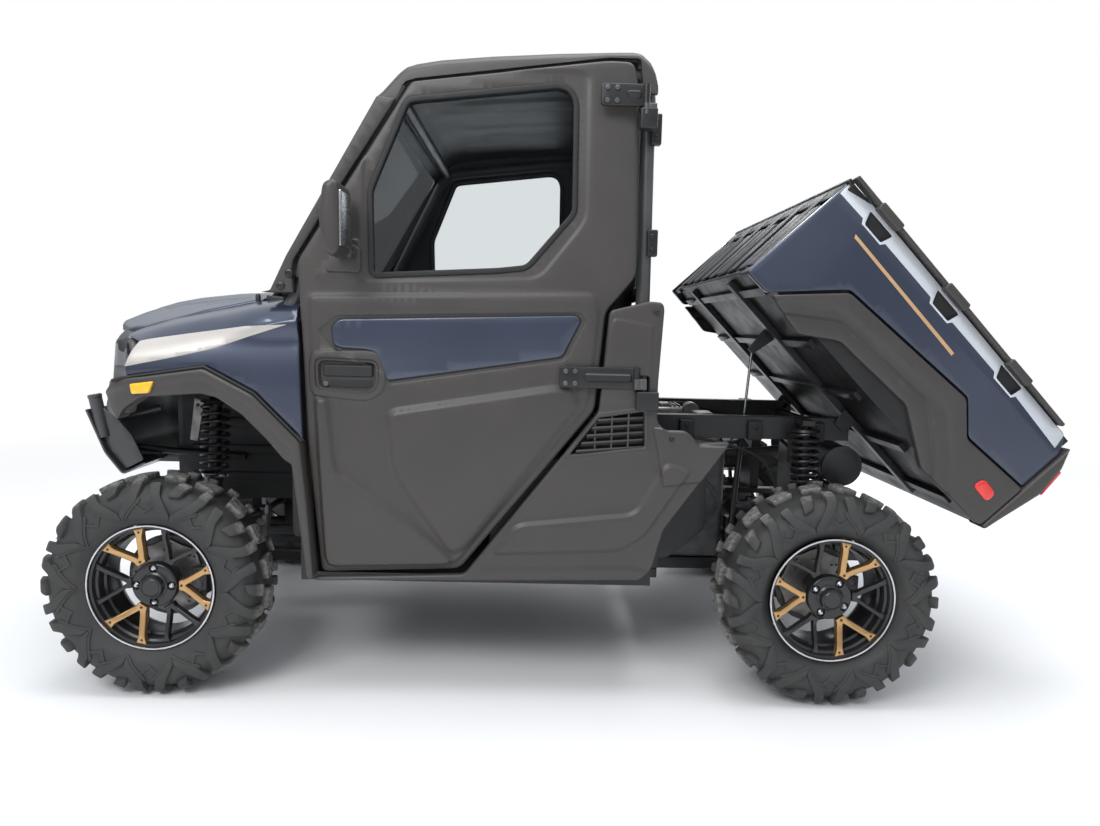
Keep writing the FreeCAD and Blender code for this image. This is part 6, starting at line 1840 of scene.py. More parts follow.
    def build(self, shop: Workshop) -> None:
        """Make the front end's pieces."""
        lens, house, cups = self.lamps()
        cover, bolts = self.pillar_covers()
        rows = (
            ("nose", self.nose(), BODY, "chassis", "body_plastic", ("front_fascia",)),
            ("grille", self.grille(), BLACK, "chassis", "black_plastic", ()),
            ("lamp_lenses", paired(lens), LENS, "chassis", "lens", ("headlamps",)),
            ("lamp_housings", paired(house), BLACK, "chassis", "black_plastic", ()),
            ("lamp_cups", paired(cups), BRIGHT, "chassis", "bright_steel", ()),
            ("hood_lid", self.hood(), PAINT, "hood", "painted", ("hood",)),
            ("cowl", self.cowl(), BLACK, "chassis", "black_plastic", ()),
            ("pillar_covers", paired(cover), BODY, "chassis", "body_plastic", ()),
            ("pillar_bolts", paired(bolts), COATED, "chassis", "frame_steel", ()),
            # The bumper's grey coat is partly painted highlight.
            ("bumper", self.bumper(), GREY_COAT_WITH_PAINTED_SHEEN, "chassis", "frame_steel", ("front_bumper",)),
            ("guard", self.guard(), COATED, "chassis", "frame_steel", ()))
        for name, surface, finish, body, slot, nodes in rows:
            shop.add(f"front_{name}", surface, finish, Place(body, slot, nodes))


# Cab shell

@dataclass(frozen=True)
class CabShell:
    """Tubular cage and the moulded roof."""

    tube: float = 0.0218
    roof_half: float = 0.704

    def cage(self) -> Surface:
        """Side hoops, cross bars and hinge brackets."""
        parts = []
        for side in (-1, 1):
            hoop = [
                (0.378, side * 0.676, 1.15), (0.722, side * 0.65, 1.834), (1.434, side * 0.65, 1.916),
                (1.474, side * 0.65, 1.88), (1.474, side * 0.676, 1.24), (1.474, side * 0.676, 0.373)]
            parts.append(tube(bent(hoop, 0.06, 8), self.tube, 20))
            for level, reach in ((0.99, 0.656), (1.784, 0.656)):
                parts.append(block(
                    (1.459, side * reach, level - 0.016), (1.483, side * 0.78, level + 0.015), 0.003))
                parts.append(tube(
                    [(1.453, side * 0.774, level - 0.016), (1.453, side * 0.774, level + 0.015)], 0.009,
                    18))
        for x, z, reach in ((0.722, 1.834, 0.65), (1.474, 1.88, 0.65), (1.474, 1.262, 0.676)):
            parts.append(tube([(x, -reach, z), (x, reach, z)], self.tube - 0.001, 20))
        return joined(parts)

    def brackets(self) -> Surface:
        """Strap brackets and bolts on the rear pillars."""
        parts = []
        for side in (-1, 1):
            for low, high in ((1.372, 1.452), (1.7, 1.79)):
                parts.append(block((1.478, side * 0.672, low), (1.51, side * 0.704, high), 0.005))
                for z in (low + 0.02, high - 0.02):
                    head = bolt(1.494, 0.703, z, 0.007, 0.005)
                    parts.append(head if side < 0 else head.mirrored())
        return joined(parts)

    def roof(self) -> Surface:
        """Shell whose section runs flat, rounds over its shoulder and drops to the door's top edge."""
        x = np.concatenate(
            [np.linspace(0.664, 0.76, 12), np.linspace(0.78, 1.4, 26), np.linspace(1.41, 1.494, 12)])
        top_knots = np.array([
            (0.664, 1.826), (0.728, 1.896), (0.75, 1.914), (0.78, 1.924), (0.85, 1.937), (1.0, 1.952),
            (1.201, 1.966), (1.38, 1.974), (1.42, 1.9755), (1.445, 1.971), (1.47, 1.95), (1.485, 1.925),
            (1.494, 1.893)])
        low_knots = np.array([
            (0.664, 1.808), (0.722, 1.808), (0.746, 1.858), (0.779, 1.869), (1.345, 1.9435),
            (1.44, 1.9435), (1.452, 1.846), (1.494, 1.846)])
        top = np.interp(x, top_knots[:, 0], top_knots[:, 1])[:, None]
        low = np.minimum(np.interp(x, low_knots[:, 0], low_knots[:, 1])[:, None], top - 0.012)
        flat = np.linspace(0, self.roof_half - 0.04, 34)[None]
        first = smooth((flat - 0.1) / 0.03) - smooth((flat - 0.24) / 0.03)
        ribs = first + smooth((flat - 0.38) / 0.03) - smooth((flat - 0.56) / 0.03)
        middle = smooth((x - 0.83) / 0.05) * (1 - smooth((x - 1.36) / 0.05))
        crown = -0.006 * (flat / self.roof_half) ** 2 - 0.006 * ribs * middle[:, None]
        bend = np.linspace(0, np.pi / 2, 9)[None, 1:]
        drop = np.minimum(0.038, top - low)
        y = np.hstack([
            np.broadcast_to(flat, (len(x), 34)),
            np.broadcast_to(self.roof_half - 0.04 + 0.04 * np.sin(bend), (len(x), 8))])
        z = np.hstack([top + crown, top - 0.006 - (drop - 0.006) * (1 - np.cos(bend))])
        y = np.hstack([y, np.full((len(x), 1), self.roof_half + 0.0005)])
        z = np.hstack([z, low])
        outer = np.stack([np.broadcast_to(x[:, None], y.shape), -y, z], -1)
        inner = outer * [1, 1 - 0.022 / self.roof_half, 1] - [0, 0, 1] * np.where(
            y[..., None] < self.roof_half - 0.01, 0.018, 0.0)
        rims = [
            np.stack([outer[0], inner[0]]), np.stack([outer[-1], inner[-1]]),
            np.stack([outer[:, -1], inner[:, -1]])]
        half = joined([grid(outer), grid(inner[:, ::-1])] + [grid(r) for r in rims])
        return paired(half)

    def gutter(self) -> Surface:
        """Dark weather strip between the roof and each door."""
        line = [(0.7, 1.79), (0.742, 1.852), (0.78, 1.8655), (1.34, 1.9405), (1.432, 1.9405)]
        pillar = [(0.434, 1.344), (0.619, 1.634), (0.748, 1.846)]
        parts = []
        for side in (-1, 1):
            parts.append(tube(bent([(x, side * 0.69, z) for x, z in line], 0.02), 0.006, 10))
            parts.append(tube([(x, side * 0.696, z) for x, z in pillar], 0.009, 10))
        return joined(parts)

    def build(self, shop: Workshop) -> None:
        """Make the shell's pieces."""
        rows = (
            # The cage's grey coat is partly painted highlight.
            ("cage", self.cage(), GREY_COAT_WITH_PAINTED_SHEEN, "frame_steel", ("roll_cage",)),
            ("brackets", self.brackets(), COATED, "frame_steel", ()),
            ("roof_shell", self.roof(), BODY, "body_plastic", ("roof",)),
            ("gutters", self.gutter(), SEAL, "black_plastic", ()))
        shop.add_rows("cab", "chassis", rows)


# Running gear

@dataclass(frozen=True)
class RunningGear:
    """Arms, coil-overs, shafts with boots, calipers, gear cases and silencer."""

    mount: float = 0.2326
    low_level: float = 0.284
    high_level: float = 0.458
    axle_level: float = 0.338

    def arm(self, axle: float, side: int, level: float, ball: float, reach: float, seat: bool) -> Surface:
        """One V-shaped arm with its bushes, ball joint and shock seat."""
        tip = (axle, side * reach, ball)
        base = side * self.mount
        parts = []
        for leg in (-0.15, 0.15):
            foot = (axle + leg, base, level)
            middle = tuple((np.array(foot) + np.array(tip)) / 2 + np.array([leg * 0.1, 0, 0]))
            parts.append(tube(curve_through([foot, middle, tip], 8), 0.0142, 14))
            parts.append(between([
                (-0.022, AXIS), (-0.022, 0.019), (-0.018, 0.0205), (0.018, 0.0205), (0.022, 0.019),
                (0.022, AXIS)], foot, (foot[0] + 1, foot[1], foot[2]), 24))
        parts.append(between([
            (-0.0177, AXIS), (-0.0177, 0.016), (-0.013, 0.0215), (0.013, 0.0215), (0.0177, 0.016),
            (0.0177, AXIS)], tip, (tip[0], tip[1], tip[2] + 1), 24))
        if seat:
            y = base + (tip[1] - base) * 0.6
            z = level + (ball - level) * 0.6
            parts.append(tube([(axle - 0.058, y, z), (axle + 0.058, y, z)], 0.0138, 14))
        return joined(parts)

    def coil_over(self, top: tuple, low: tuple) -> tuple[Surface, Surface, Surface]:
        """Spring, damper body with perches and eyes, and the bright rod."""
        a, b = np.array(top), np.array(low)
        length = float(np.linalg.norm(b - a))
        spring = helix(tuple(a + (b - a) * 0.08), tuple(a + (b - a) * 0.61), 0.0425, 8.5, 0.0064)
        body = between([
            (-0.01, AXIS), (-0.01, 0.012), (0.012, 0.013), (0.014, 0.047), (0.022, 0.049), (0.026, 0.036),
            (0.03, 0.02), (length * 0.6, 0.02), (length * 0.6, AXIS)], top, low, 32)
        perch = between([
            (length * 0.655, AXIS), (length * 0.655, 0.03), (length * 0.7, 0.026), (length * 0.93, 0.024),
            (length * 0.97, 0.017), (length, 0.013), (length, AXIS)], top, low, 32)
        rod = between([
            (length * 0.615, AXIS), (length * 0.615, 0.047), (length * 0.625, 0.0495),
            (length * 0.64, 0.047), (length * 0.655, 0.034), (length * 0.655, AXIS)], top, low, 40)
        eyes = [between(
            [(-0.018, AXIS), (-0.018, 0.0135), (0.018, 0.0135), (0.018, AXIS)], p, (p[0] + 1, p[1], p[2]),
            20) for p in (top, low)]
        return spring, joined([body, perch] + eyes), rod

    def shaft(self, axle: float, out: float, side: int) -> Surface:
        """Half shaft with a ribbed boot at each end."""
        z = self.axle_level
        bellows = [(0.0, AXIS), (0.0, 0.022)]
        for i in range(6):
            bellows += [
                (0.004 + 0.009 * i, 0.021 + 0.0022 * i), (0.0085 + 0.009 * i, 0.0175 + 0.0018 * i)]
        bellows += [(0.06, 0.0325), (0.066, 0.0325), (0.066, AXIS)]
        ends = ((axle, side * (out - 0.066), z), (axle, side * out, z))
        inner = ((axle, side * 0.162, z), (axle, side * 0.09, z))
        bar = tube([(axle, side * 0.09, z), (axle, side * out, z)], 0.0135, 16)
        return joined([bar, between(bellows, *ends, 28), between(bellows, *inner, 28)])

    def caliper(self, axle: float, carrier: float) -> Surface:
        """Caliper over the rear edge of the left brake disc."""
        mid, plane = self.axle_level, carrier + 0.0543
        low, high = axle + 0.084, axle + 0.133
        parts = [
            block((low, -(plane - 0.0054), mid - 0.038), (high, -(plane - 0.026), mid + 0.038), 0.006),
            block((low, -(plane + 0.027), mid - 0.038), (high, -(plane + 0.0114), mid + 0.038), 0.006),
            block(
                (axle + 0.1235, -(plane + 0.024), mid - 0.034), (high, -(plane - 0.022), mid + 0.034),
                0.005),
            block(
                (axle + 0.02, -(plane - 0.016), mid - 0.018),
                (axle + 0.092, -(carrier + 0.024), mid + 0.018), 0.004)]
        for dz in (-0.018, 0.018):
            parts.append(disc_boss(axle + 0.108, plane + 0.031, mid + dz, 0.013))
        return joined(parts)

    def upright(self, carrier: float, axle: float) -> Surface:
        """Left hub carrier: post, bearing housing and dust shield."""
        mid = self.axle_level
        y = -carrier
        parts = [between(
            [(0.0, AXIS), (0.0, 0.019), (0.03, 0.0168), (0.16, 0.0168), (0.19, 0.019), (0.19, AXIS)],
            (axle, y, mid - 0.095), (axle, y, mid + 0.095), 20)]
        parts.append(lathe([
            (-0.044, AXIS), (-0.044, 0.03), (-0.0425, 0.128), (-0.036, 0.131), (-0.0345, 0.129),
            (-0.04, 0.124), (-0.038, 0.035), (-0.01, 0.036), (0.004, 0.044), (0.01, 0.044), (0.01, AXIS)],
            36).moved(axle, y, mid))
        return joined(parts)

    def hose(self) -> Surface:
        """Brake hoses from the rear calipers to the frame."""
        parts = []
        for side in (-1, 1):
            path = [(2.18, side * 0.55, 0.375), (2.17, side * 0.51, 0.46), (2.2, side * 0.42, 0.54),
                    (2.215, side * 0.26, 0.6), (2.21, side * 0.215, 0.66)]
            parts.append(tube(curve_through(path, 10), 0.0045, 8))
        return joined(parts)

    def silencer(self) -> Surface:
        """Can with rolled end seams, dished ends, a strap and its pipe."""
        profile = [
            (0.0, AXIS), (0.001, 0.052), (-0.004, 0.062), (-0.006, 0.0715), (0.004, 0.0735),
            (0.01, 0.0705), (0.3, 0.0705), (0.302, 0.0725), (0.33, 0.0725), (0.332, 0.0705),
            (0.62, 0.0705), (0.626, 0.0735), (0.634, 0.0715), (0.632, 0.062), (0.629, 0.052),
            (0.63, AXIS)]
        can = between(profile, (2.252, -0.33, 0.684), (2.252, 0.3, 0.684), 48)
        pipe = tube(bent(
            [(1.866, 0.12, 0.65), (2.02, 0.12, 0.655), (2.18, 0.12, 0.675), (2.252, 0.12, 0.684)], 0.05),
            0.02, 20)
        tail = tube(
            bent([(2.252, -0.1, 0.62), (2.252, -0.1, 0.58), (2.32, -0.1, 0.555)], 0.03), 0.019, 20)
        return joined([can, pipe, tail])

    def engine(self) -> Surface:
        """Engine with ribbed covers, cylinder head, intake and the round belt housing."""
        parts = [
            block((1.606, -0.225, 0.307), (1.862, 0.225, 0.745), 0.03),
            block((1.65, -0.11, 0.725), (1.79, 0.07, 0.783), 0.012)]
        for i in range(7):
            z = 0.36 + 0.05 * i
            parts.append(block((1.598, -0.2, z), (1.87, 0.2, z + 0.01), 0.003))
        parts.append(lathe([
            (-0.04, AXIS), (-0.04, 0.07), (-0.034, 0.082), (-0.02, 0.086), (-0.014, 0.098), (0.0, 0.104),
            (0.028, 0.104), (0.028, AXIS)], 64).moved(1.734, -0.222, 0.52))
        for i in range(10):
            a = 2 * math.pi * i / 10
            parts.append(
                bolt(1.734 + 0.094 * math.sin(a), 0.236, 0.52 + 0.094 * math.cos(a), 0.006, 0.006))
        parts.append(tube(
            bent([(1.7, 0.0, 0.78), (1.7, -0.05, 0.8), (1.66, -0.2, 0.79), (1.62, -0.24, 0.72)], 0.04),
            0.024, 20))
        for i in range(4):
            parts.append(block((1.66 + 0.03 * i, -0.1, 0.78), (1.672 + 0.03 * i, 0.06, 0.789), 0.002))
        return joined(parts)

    def gear_cases(self) -> Surface:
        """Front and rear gear cases with ribs and side flanges."""
        parts = []
        for low, high, top in ((-0.074, 0.088, 0.428), (1.97, 2.17, 0.448)):
            parts.append(block((low, -0.088, 0.3023), (high, 0.088, top), 0.025))
            middle = (low + high) / 2
            for y in (-0.06, -0.02, 0.02, 0.06):
                parts.append(
                    block((low - 0.004, y - 0.004, 0.315), (high + 0.004, y + 0.004, top - 0.02), 0.003))
            for side in (-1, 1):
                parts.append(between([
                    (0.0, AXIS), (0.0, 0.052), (0.012, 0.052), (0.016, 0.04), (0.024, 0.036),
                    (0.024, AXIS)], (0.0 if middle < 1 else WHEELBASE, side * 0.08, 0.338),
                    (0.0 if middle < 1 else WHEELBASE, side * 0.2, 0.338), 32))
        return joined(parts)

    def build(self, shop: Workshop) -> None:
        """Make the running gear."""
        front, rear, springs, dampers, rods, shafts = [], [], [], [], [], []
        for side in (-1, 1):
            front += [
                self.arm(0.0, side, self.low_level, 0.225, 0.6, False),
                self.arm(0.0, side, self.high_level, 0.451, 0.6, True)]
            rear += [
                self.arm(WHEELBASE, side, self.low_level, 0.225, 0.56, False),
                self.arm(WHEELBASE, side, self.high_level, 0.451, 0.56, True)]
            for x, top, foot in ((0.066, 0.892, 0.453), (2.088, 0.836, 0.429)):
                spring, damper, rod = self.coil_over((x, side * 0.41, top), (x, side * foot, 0.4694))
                springs.append(spring)
                dampers.append(damper)
                rods.append(rod)
            shafts += [self.shaft(0.0, 0.548, side), self.shaft(WHEELBASE, 0.538, side)]
        carrier = joined([self.upright(0.56, WHEELBASE), self.caliper(WHEELBASE, 0.56)])
        rows = (
            ("front_arms", joined(front), COATED, "frame_steel", ("front_suspension",)),
            ("rear_arms", joined(rear), COATED, "frame_steel", ("rear_suspension",)),
            ("rear_uprights", paired(carrier), CAST, "cast_metal", ()),
            ("springs", joined(springs), COATED, "frame_steel", ("shocks",)),
            ("dampers", joined(dampers), COATED, "frame_steel", ()),
            ("damper_rods", joined(rods), BRIGHT, "bright_steel", ()),
            ("shafts", joined(shafts), SEAL, "cast_metal", ("axles",)),
            ("gear_cases", self.gear_cases(), CAST, "cast_metal", ()),
            ("engine", self.engine(), CAST, "cast_metal", ("engine_block",)),
            ("silencer", self.silencer(), COATED, "cast_metal", ("muffler",)),
            ("brake_hoses", self.hose(), SEAL, "black_plastic", ()))
        shop.add_rows("gear", "chassis", rows)
        knuckle = joined([
            self.upright(0.6, 0.0), self.caliper(0.0, 0.6),
            block((-0.114, -0.613, 0.326), (0.004, -0.587, 0.3405), 0.004)])
        for side in Side:
            node = f"knuckle_{side.word}"
            shop.add(f"{node}_casting", knuckle.on(side), CAST, Place(node, "cast_metal", (node,)))


def disc_boss(x: float, out: float, z: float, radius: float) -> Surface:
    """A round boss with a bevelled edge, facing left."""
    return lathe([
        (-out, AXIS), (-out, radius * 0.8), (-out + 0.002, radius), (-out + 0.012, radius),
        (-out + 0.012, AXIS)], 24).moved(x, 0.0, z)


# Cab interior

@dataclass(frozen=True)
class Interior:
    """Bench, dashboard trim, shifter, pedals and belt buckles."""

    swell: float = 0.018
    voxel: float = 0.01
    frames: int = 20

    def cushion(self) -> Surface:
        """Seat pad a little smaller than its final size, higher at its front edge."""
        pad = block((0.978, -0.59, 0.752), (1.402, 0.59, 0.838), 0.034, 5)
        lift = 0.014 * smooth((1.2 - pad.points[:, 0]) / 0.2) * (pad.points[:, 2] > 0.8)
        pad.points[:, 2] += lift
        return pad

    def backrest(self) -> Surface:
        """Back pad, leaning back and narrower towards its top."""
        pad = block((-0.042, -0.59, 0.872), (0.042, 0.59, 1.388), 0.034, 5)
        rise = pad.points[:, 2] - 0.87
        pad.points[:, 0] += 1.358 + 0.085 * rise + 0.02 * smooth(rise / 0.5)
        pad.points[:, 1] *= 1 - 0.05 * smooth(rise / 0.52)
        return pad

    def inflate(self, piece: bpy.types.Object) -> None:
        """Swell a pad as cloth under pressure, with each point's travel kept to the cap."""
        start = piece.modifiers.new("even", "REMESH")
        start.mode = "VOXEL"
        start.voxel_size = self.voxel
        scene = bpy.context.scene
        bpy.context.view_layer.update()
        even = bpy.data.meshes.new_from_object(piece.evaluated_get(bpy.context.evaluated_depsgraph_get()))
        piece.modifiers.clear()
        piece.data = even
        rest = np.empty(len(even.vertices) * 3)
        even.vertices.foreach_get("co", rest)
        cloth = piece.modifiers.new("swell", "CLOTH")
        cloth.settings.use_pressure = True
        cloth.settings.uniform_pressure_force = 4.0
        cloth.settings.effector_weights.gravity = 0.0
        cloth.point_cache.frame_start = 1
        cloth.point_cache.frame_end = self.frames
        for frame in range(1, self.frames + 1):
            scene.frame_set(frame)
        swollen = bpy.data.meshes.new_from_object(
            piece.evaluated_get(bpy.context.evaluated_depsgraph_get()))
        moved = np.empty(len(even.vertices) * 3)
        swollen.vertices.foreach_get("co", moved)
        travel = (moved - rest).reshape(-1, 3)
        length = np.linalg.norm(travel, axis=1)[:, None]
        travel *= np.minimum(1.0, self.swell / np.maximum(length, 1e-9))
        even.vertices.foreach_set("co", (rest.reshape(-1, 3) + travel).ravel())
        piece.modifiers.clear()
        scene.frame_set(1)

    @staticmethod
    def sew(mesh: bpy.types.Mesh, axle_x: float, upright: bool) -> None:
        """Press the seams: a groove at each line across y, and channels along each seat's middle."""
        flat = np.empty(len(mesh.vertices) * 3)
        mesh.vertices.foreach_get("co", flat)
        points = flat.reshape(-1, 3)
        normals = np.empty(len(mesh.vertices) * 3)
        mesh.vertices.foreach_get("normal", normals)
        normals = normals.reshape(-1, 3)
        y = points[:, 1]
        seam = sum(np.exp(-(((y - at) / 0.008) ** 2)) for at in (-0.085, 0.085)) * 0.016
        run = points[:, 2] if upright else points[:, 0] - axle_x
        levels = (1.00, 1.1, 1.2, 1.3) if upright else (1.06, 1.15, 1.24, 1.33)
        away = np.minimum(np.abs(np.abs(y) - 0.335), 1.0)
        field_share = 1 - smooth((away - 0.155) / 0.02)
        channel = sum(np.exp(-(((run - at) / 0.007) ** 2)) for at in levels) * 0.006 * field_share
        edge = np.exp(-(((away - 0.175) / 0.007) ** 2)) * 0.006
        facing = -normals[:, 0] if upright else normals[:, 2]
        depth = seam + (channel + edge) * smooth((facing - 0.3) / 0.4)
        points -= normals * depth[:, None]
        mesh.vertices.foreach_set("co", points.ravel())

    def bench(self, shop: Workshop) -> None:
        """Make both pads."""
        for name, surface, upright in (
            ("seat_cushion", self.cushion(), False), ("seat_back", self.backrest(), True)):
            piece = shop.add(f"{name}_pad", surface, VINYL, Place("chassis", "seat_vinyl", (name,)), 60.0)
            self.inflate(piece)
            self.sew(piece.data, shop.axle_x, upright)
            piece.data.shade_smooth()
            if not piece.data.materials:
                piece.data.materials.append(Palette.material(VINYL))

    def dash_trim(self) -> Surface:
        """Binnacle, vents, glove box lid, grab bar and screen on the dashboard."""
        parts = [
            block((0.56, -0.43, 1.19), (0.66, -0.21, 1.236), 0.018),
            block((0.618, -0.1, 1.06), (0.652, 0.1, 1.18), 0.008)]
        for y in (-0.6, -0.14, 0.16, 0.6):
            for i in range(3):
                parts.append(block(
                    (0.625, y - 0.035, 1.15 + 0.014 * i), (0.638, y + 0.035, 1.156 + 0.014 * i), 0.002))
        parts.append(block((0.63, 0.24, 1.02), (0.646, 0.56, 1.12), 0.006))
        parts.append(tube(bent(
            [(0.62, 0.26, 1.165), (0.68, 0.27, 1.175), (0.68, 0.53, 1.175), (0.62, 0.54, 1.165)], 0.03),
            0.011, 14))
        parts.append(block((0.6, -0.33, 1.09), (0.7, -0.31, 1.11), 0.004))
        return joined(parts)

    def console(self) -> Surface:
        """Shifter, pedals and the belts' buckles."""
        parts = [
            tube([(0.65, 0.02, 1.02), (0.735, 0.02, 1.085)], 0.006, 12),
            lathe(
                [(-0.02, AXIS), (-0.018, 0.014), (0.0, 0.02), (0.018, 0.014), (0.02, AXIS)],
                24).moved(0.74, 0.02, 1.09)]
        for y in (-0.4, -0.27):
            parts.append(block((0.56, y - 0.032, 0.44), (0.572, y + 0.032, 0.52), 0.005))
            parts.append(tube([(0.5, y, 0.72), (0.566, y, 0.5)], 0.007, 10))
        for y in (-0.09, 0.09):
            parts.append(block((1.335, y - 0.014, 0.862), (1.362, y + 0.014, 0.94), 0.006))
        return joined(parts)

    def build(self, shop: Workshop) -> None:
        """Make the interior."""
        self.bench(shop)
        shop.add("dash_trim", self.dash_trim(), BODY, Place("chassis", "black_plastic"))
        shop.add("cab_controls", self.console(), COATED, Place("chassis", "black_plastic"))


# Frame

@dataclass(frozen=True)
class Chassis:
    """Lower rails and cross members with softened edges, and the dark panels between them and the body."""

    cross_low: float = 0.266
    cross_high: float = 0.302

    def rails(self) -> Surface:
        """Main rails, outriggers, cross members, strut foot and hitch receiver."""
        parts = []
        for side in (-1, 1):
            parts.append(block((-0.17, side * 0.165, 0.262), (2.24, side * 0.215, 0.306), 0.006))
            parts.append(block((0.5, side * 0.52, 0.318), (1.5, side * 0.562, 0.362), 0.006))
        for x, reach in (
            (-0.168, 0.19), (-0.02, 0.19), (0.5, 0.34), (0.98, 0.34), (1.46, 0.34), (1.562, 0.35),
            (1.84, 0.19), (2.06, 0.19), (2.198, 0.19)):
            parts.append(block((x, -reach, self.cross_low), (x + 0.04, reach, self.cross_high), 0.005))
        for side in (-1, 1):
            for x in (0.5, 0.98, 1.46):
                parts.append(
                    tube([(x + 0.02, side * 0.325, 0.286), (x + 0.02, side * 0.545, 0.338)], 0.0175, 16))
        parts.append(block((1.869, -0.2389, 0.304), (1.901, -0.19, 0.468), 0.004))
        shell, bore = ring_outline(
            0.0, 0.284, 0.064, 0.064, 0.006), ring_outline(0.0, 0.284, 0.051, 0.051, 0.004)
        receiver = Panel(shell, [bore], [], 0.272, 0.002, 0.02).solid(at_side(-0.008))
        parts.append(receiver.turned(shift(2.488, 0.0, 0.0) @ rotation(90, "Z")))
        parts.append(tube([(2.442, -0.045, 0.284), (2.442, 0.045, 0.284)], 0.0078, 16))
        return joined(parts)

    def wells(self) -> Surface:
        """Dark inner panels beside the front and rear frame, as pressed sheets with ribs."""
        parts = []
        front = softened([(-0.132, 0.5), (0.426, 0.5), (0.426, 0.893), (-0.132, 0.893)], 0.02)
        ribs = [
            Stamp(softened([(-0.1, z), (0.4, z), (0.4, z + 0.04), (-0.1, z + 0.04)], 0.01), 0.006, 0.008)
            for z in (0.56, 0.66, 0.76)]
        parts.append(Panel(front, [], ribs, 0.003, 0.002, 0.06).solid(at_side(0.218)))
        rear = softened([(1.53, 0.4), (1.6, 0.4), (1.72, 0.5), (1.72, 0.775), (1.53, 0.775)], 0.02)
        parts.append(side_sheet(rear, 0.004, 0.003, 0.03, 0.56))
        toe = softened([(0.39, 0.47), (0.426, 0.47), (0.426, 0.88), (0.31, 0.88), (0.39, 0.72)], 0.02)
        parts.append(side_sheet(toe, 0.004, 0.003, 0.03, 0.64))
        whole = joined(parts)
        return paired(whole)

    def plates(self) -> Surface:
        """Pale cast plates ahead of the front springs."""
        outline = softened([(-0.012, 0.885), (0.023, 0.874), (-0.003, 0.734), (-0.03, 0.737)], 0.004)
        plate = Panel(
            outline, [circle(0.005, 12, 0.0, 0.86)], [], 0.006, 0.002, 0.015).solid(at_side(0.4))
        return paired(plate)

    def deck(self) -> Surface:
        """Castings, boxes and hoses on top of the engine, between the upper rails."""
        parts = [
            block((1.64, 0.09, 0.79), (1.76, 0.25, 0.842), 0.012),
            block((1.655, 0.11, 0.838), (1.7, 0.16, 0.858), 0.006),
            between([
                (0.0, AXIS), (0.0, 0.03), (0.01, 0.034), (0.05, 0.034), (0.055, 0.026), (0.07, 0.026),
                (0.07, AXIS)], (1.8, 0.16, 0.822), (1.8, 0.23, 0.822), 32),
            block((1.78, -0.05, 0.79), (1.85, 0.06, 0.835), 0.008)]
        for i in range(6):
            parts.append(block((1.648 + 0.018 * i, 0.1, 0.84), (1.654 + 0.018 * i, 0.24, 0.85), 0.002))
        return joined(parts)

    def lines(self) -> Surface:
        """Hoses and wiring along the upper rails and down to the rear dampers."""
        parts = []
        for side in (-1, 1):
            paths = (([
                (1.56, side * 0.3, 0.8), (1.75, side * 0.295, 0.835), (1.98, side * 0.298, 0.8),
                (2.1, side * 0.3, 0.72)], 0.006),
                ([
                    (1.58, side * 0.36, 0.79), (1.8, side * 0.362, 0.765), (1.96, side * 0.37, 0.7),
                    (2.02, side * 0.39, 0.56)], 0.005),
                ([
                    (1.62, side * 0.285, 0.76), (1.72, side * 0.27, 0.84), (1.85, side * 0.28, 0.82),
                    (1.92, side * 0.29, 0.74)], 0.008))
            parts += [tube(curve_through(path, 10), radius, 8) for path, radius in paths]
            for x in (1.66, 1.9, 2.12):
                parts.append(block((x, side * 0.35, 0.775), (x + 0.05, side * 0.372, 0.842), 0.004))
                head = bolt(x + 0.025, 0.372, 0.822, 0.008, 0.005)
                parts.append(head if side < 0 else head.mirrored())
            parts.append(block((2.045, side * 0.355, 0.7), (2.075, side * 0.405, 0.8), 0.004))
        return joined(parts)

    def build(self, shop: Workshop) -> None:
        """Make the frame's pieces."""
        rows = (
            ("lower_rails", self.rails(), COATED, "frame_steel", ("main_frame",)),
            ("inner_panels", self.wells(), BLACK, "black_plastic", ()),
            ("cast_plates", self.plates(), DULL, "cast_metal", ()),
            ("deck_castings", self.deck(), DULL, "cast_metal", ()),
            ("hoses", self.lines(), SEAL, "black_plastic", ()))
        shop.add_rows("frame", "chassis", rows)


# Studio

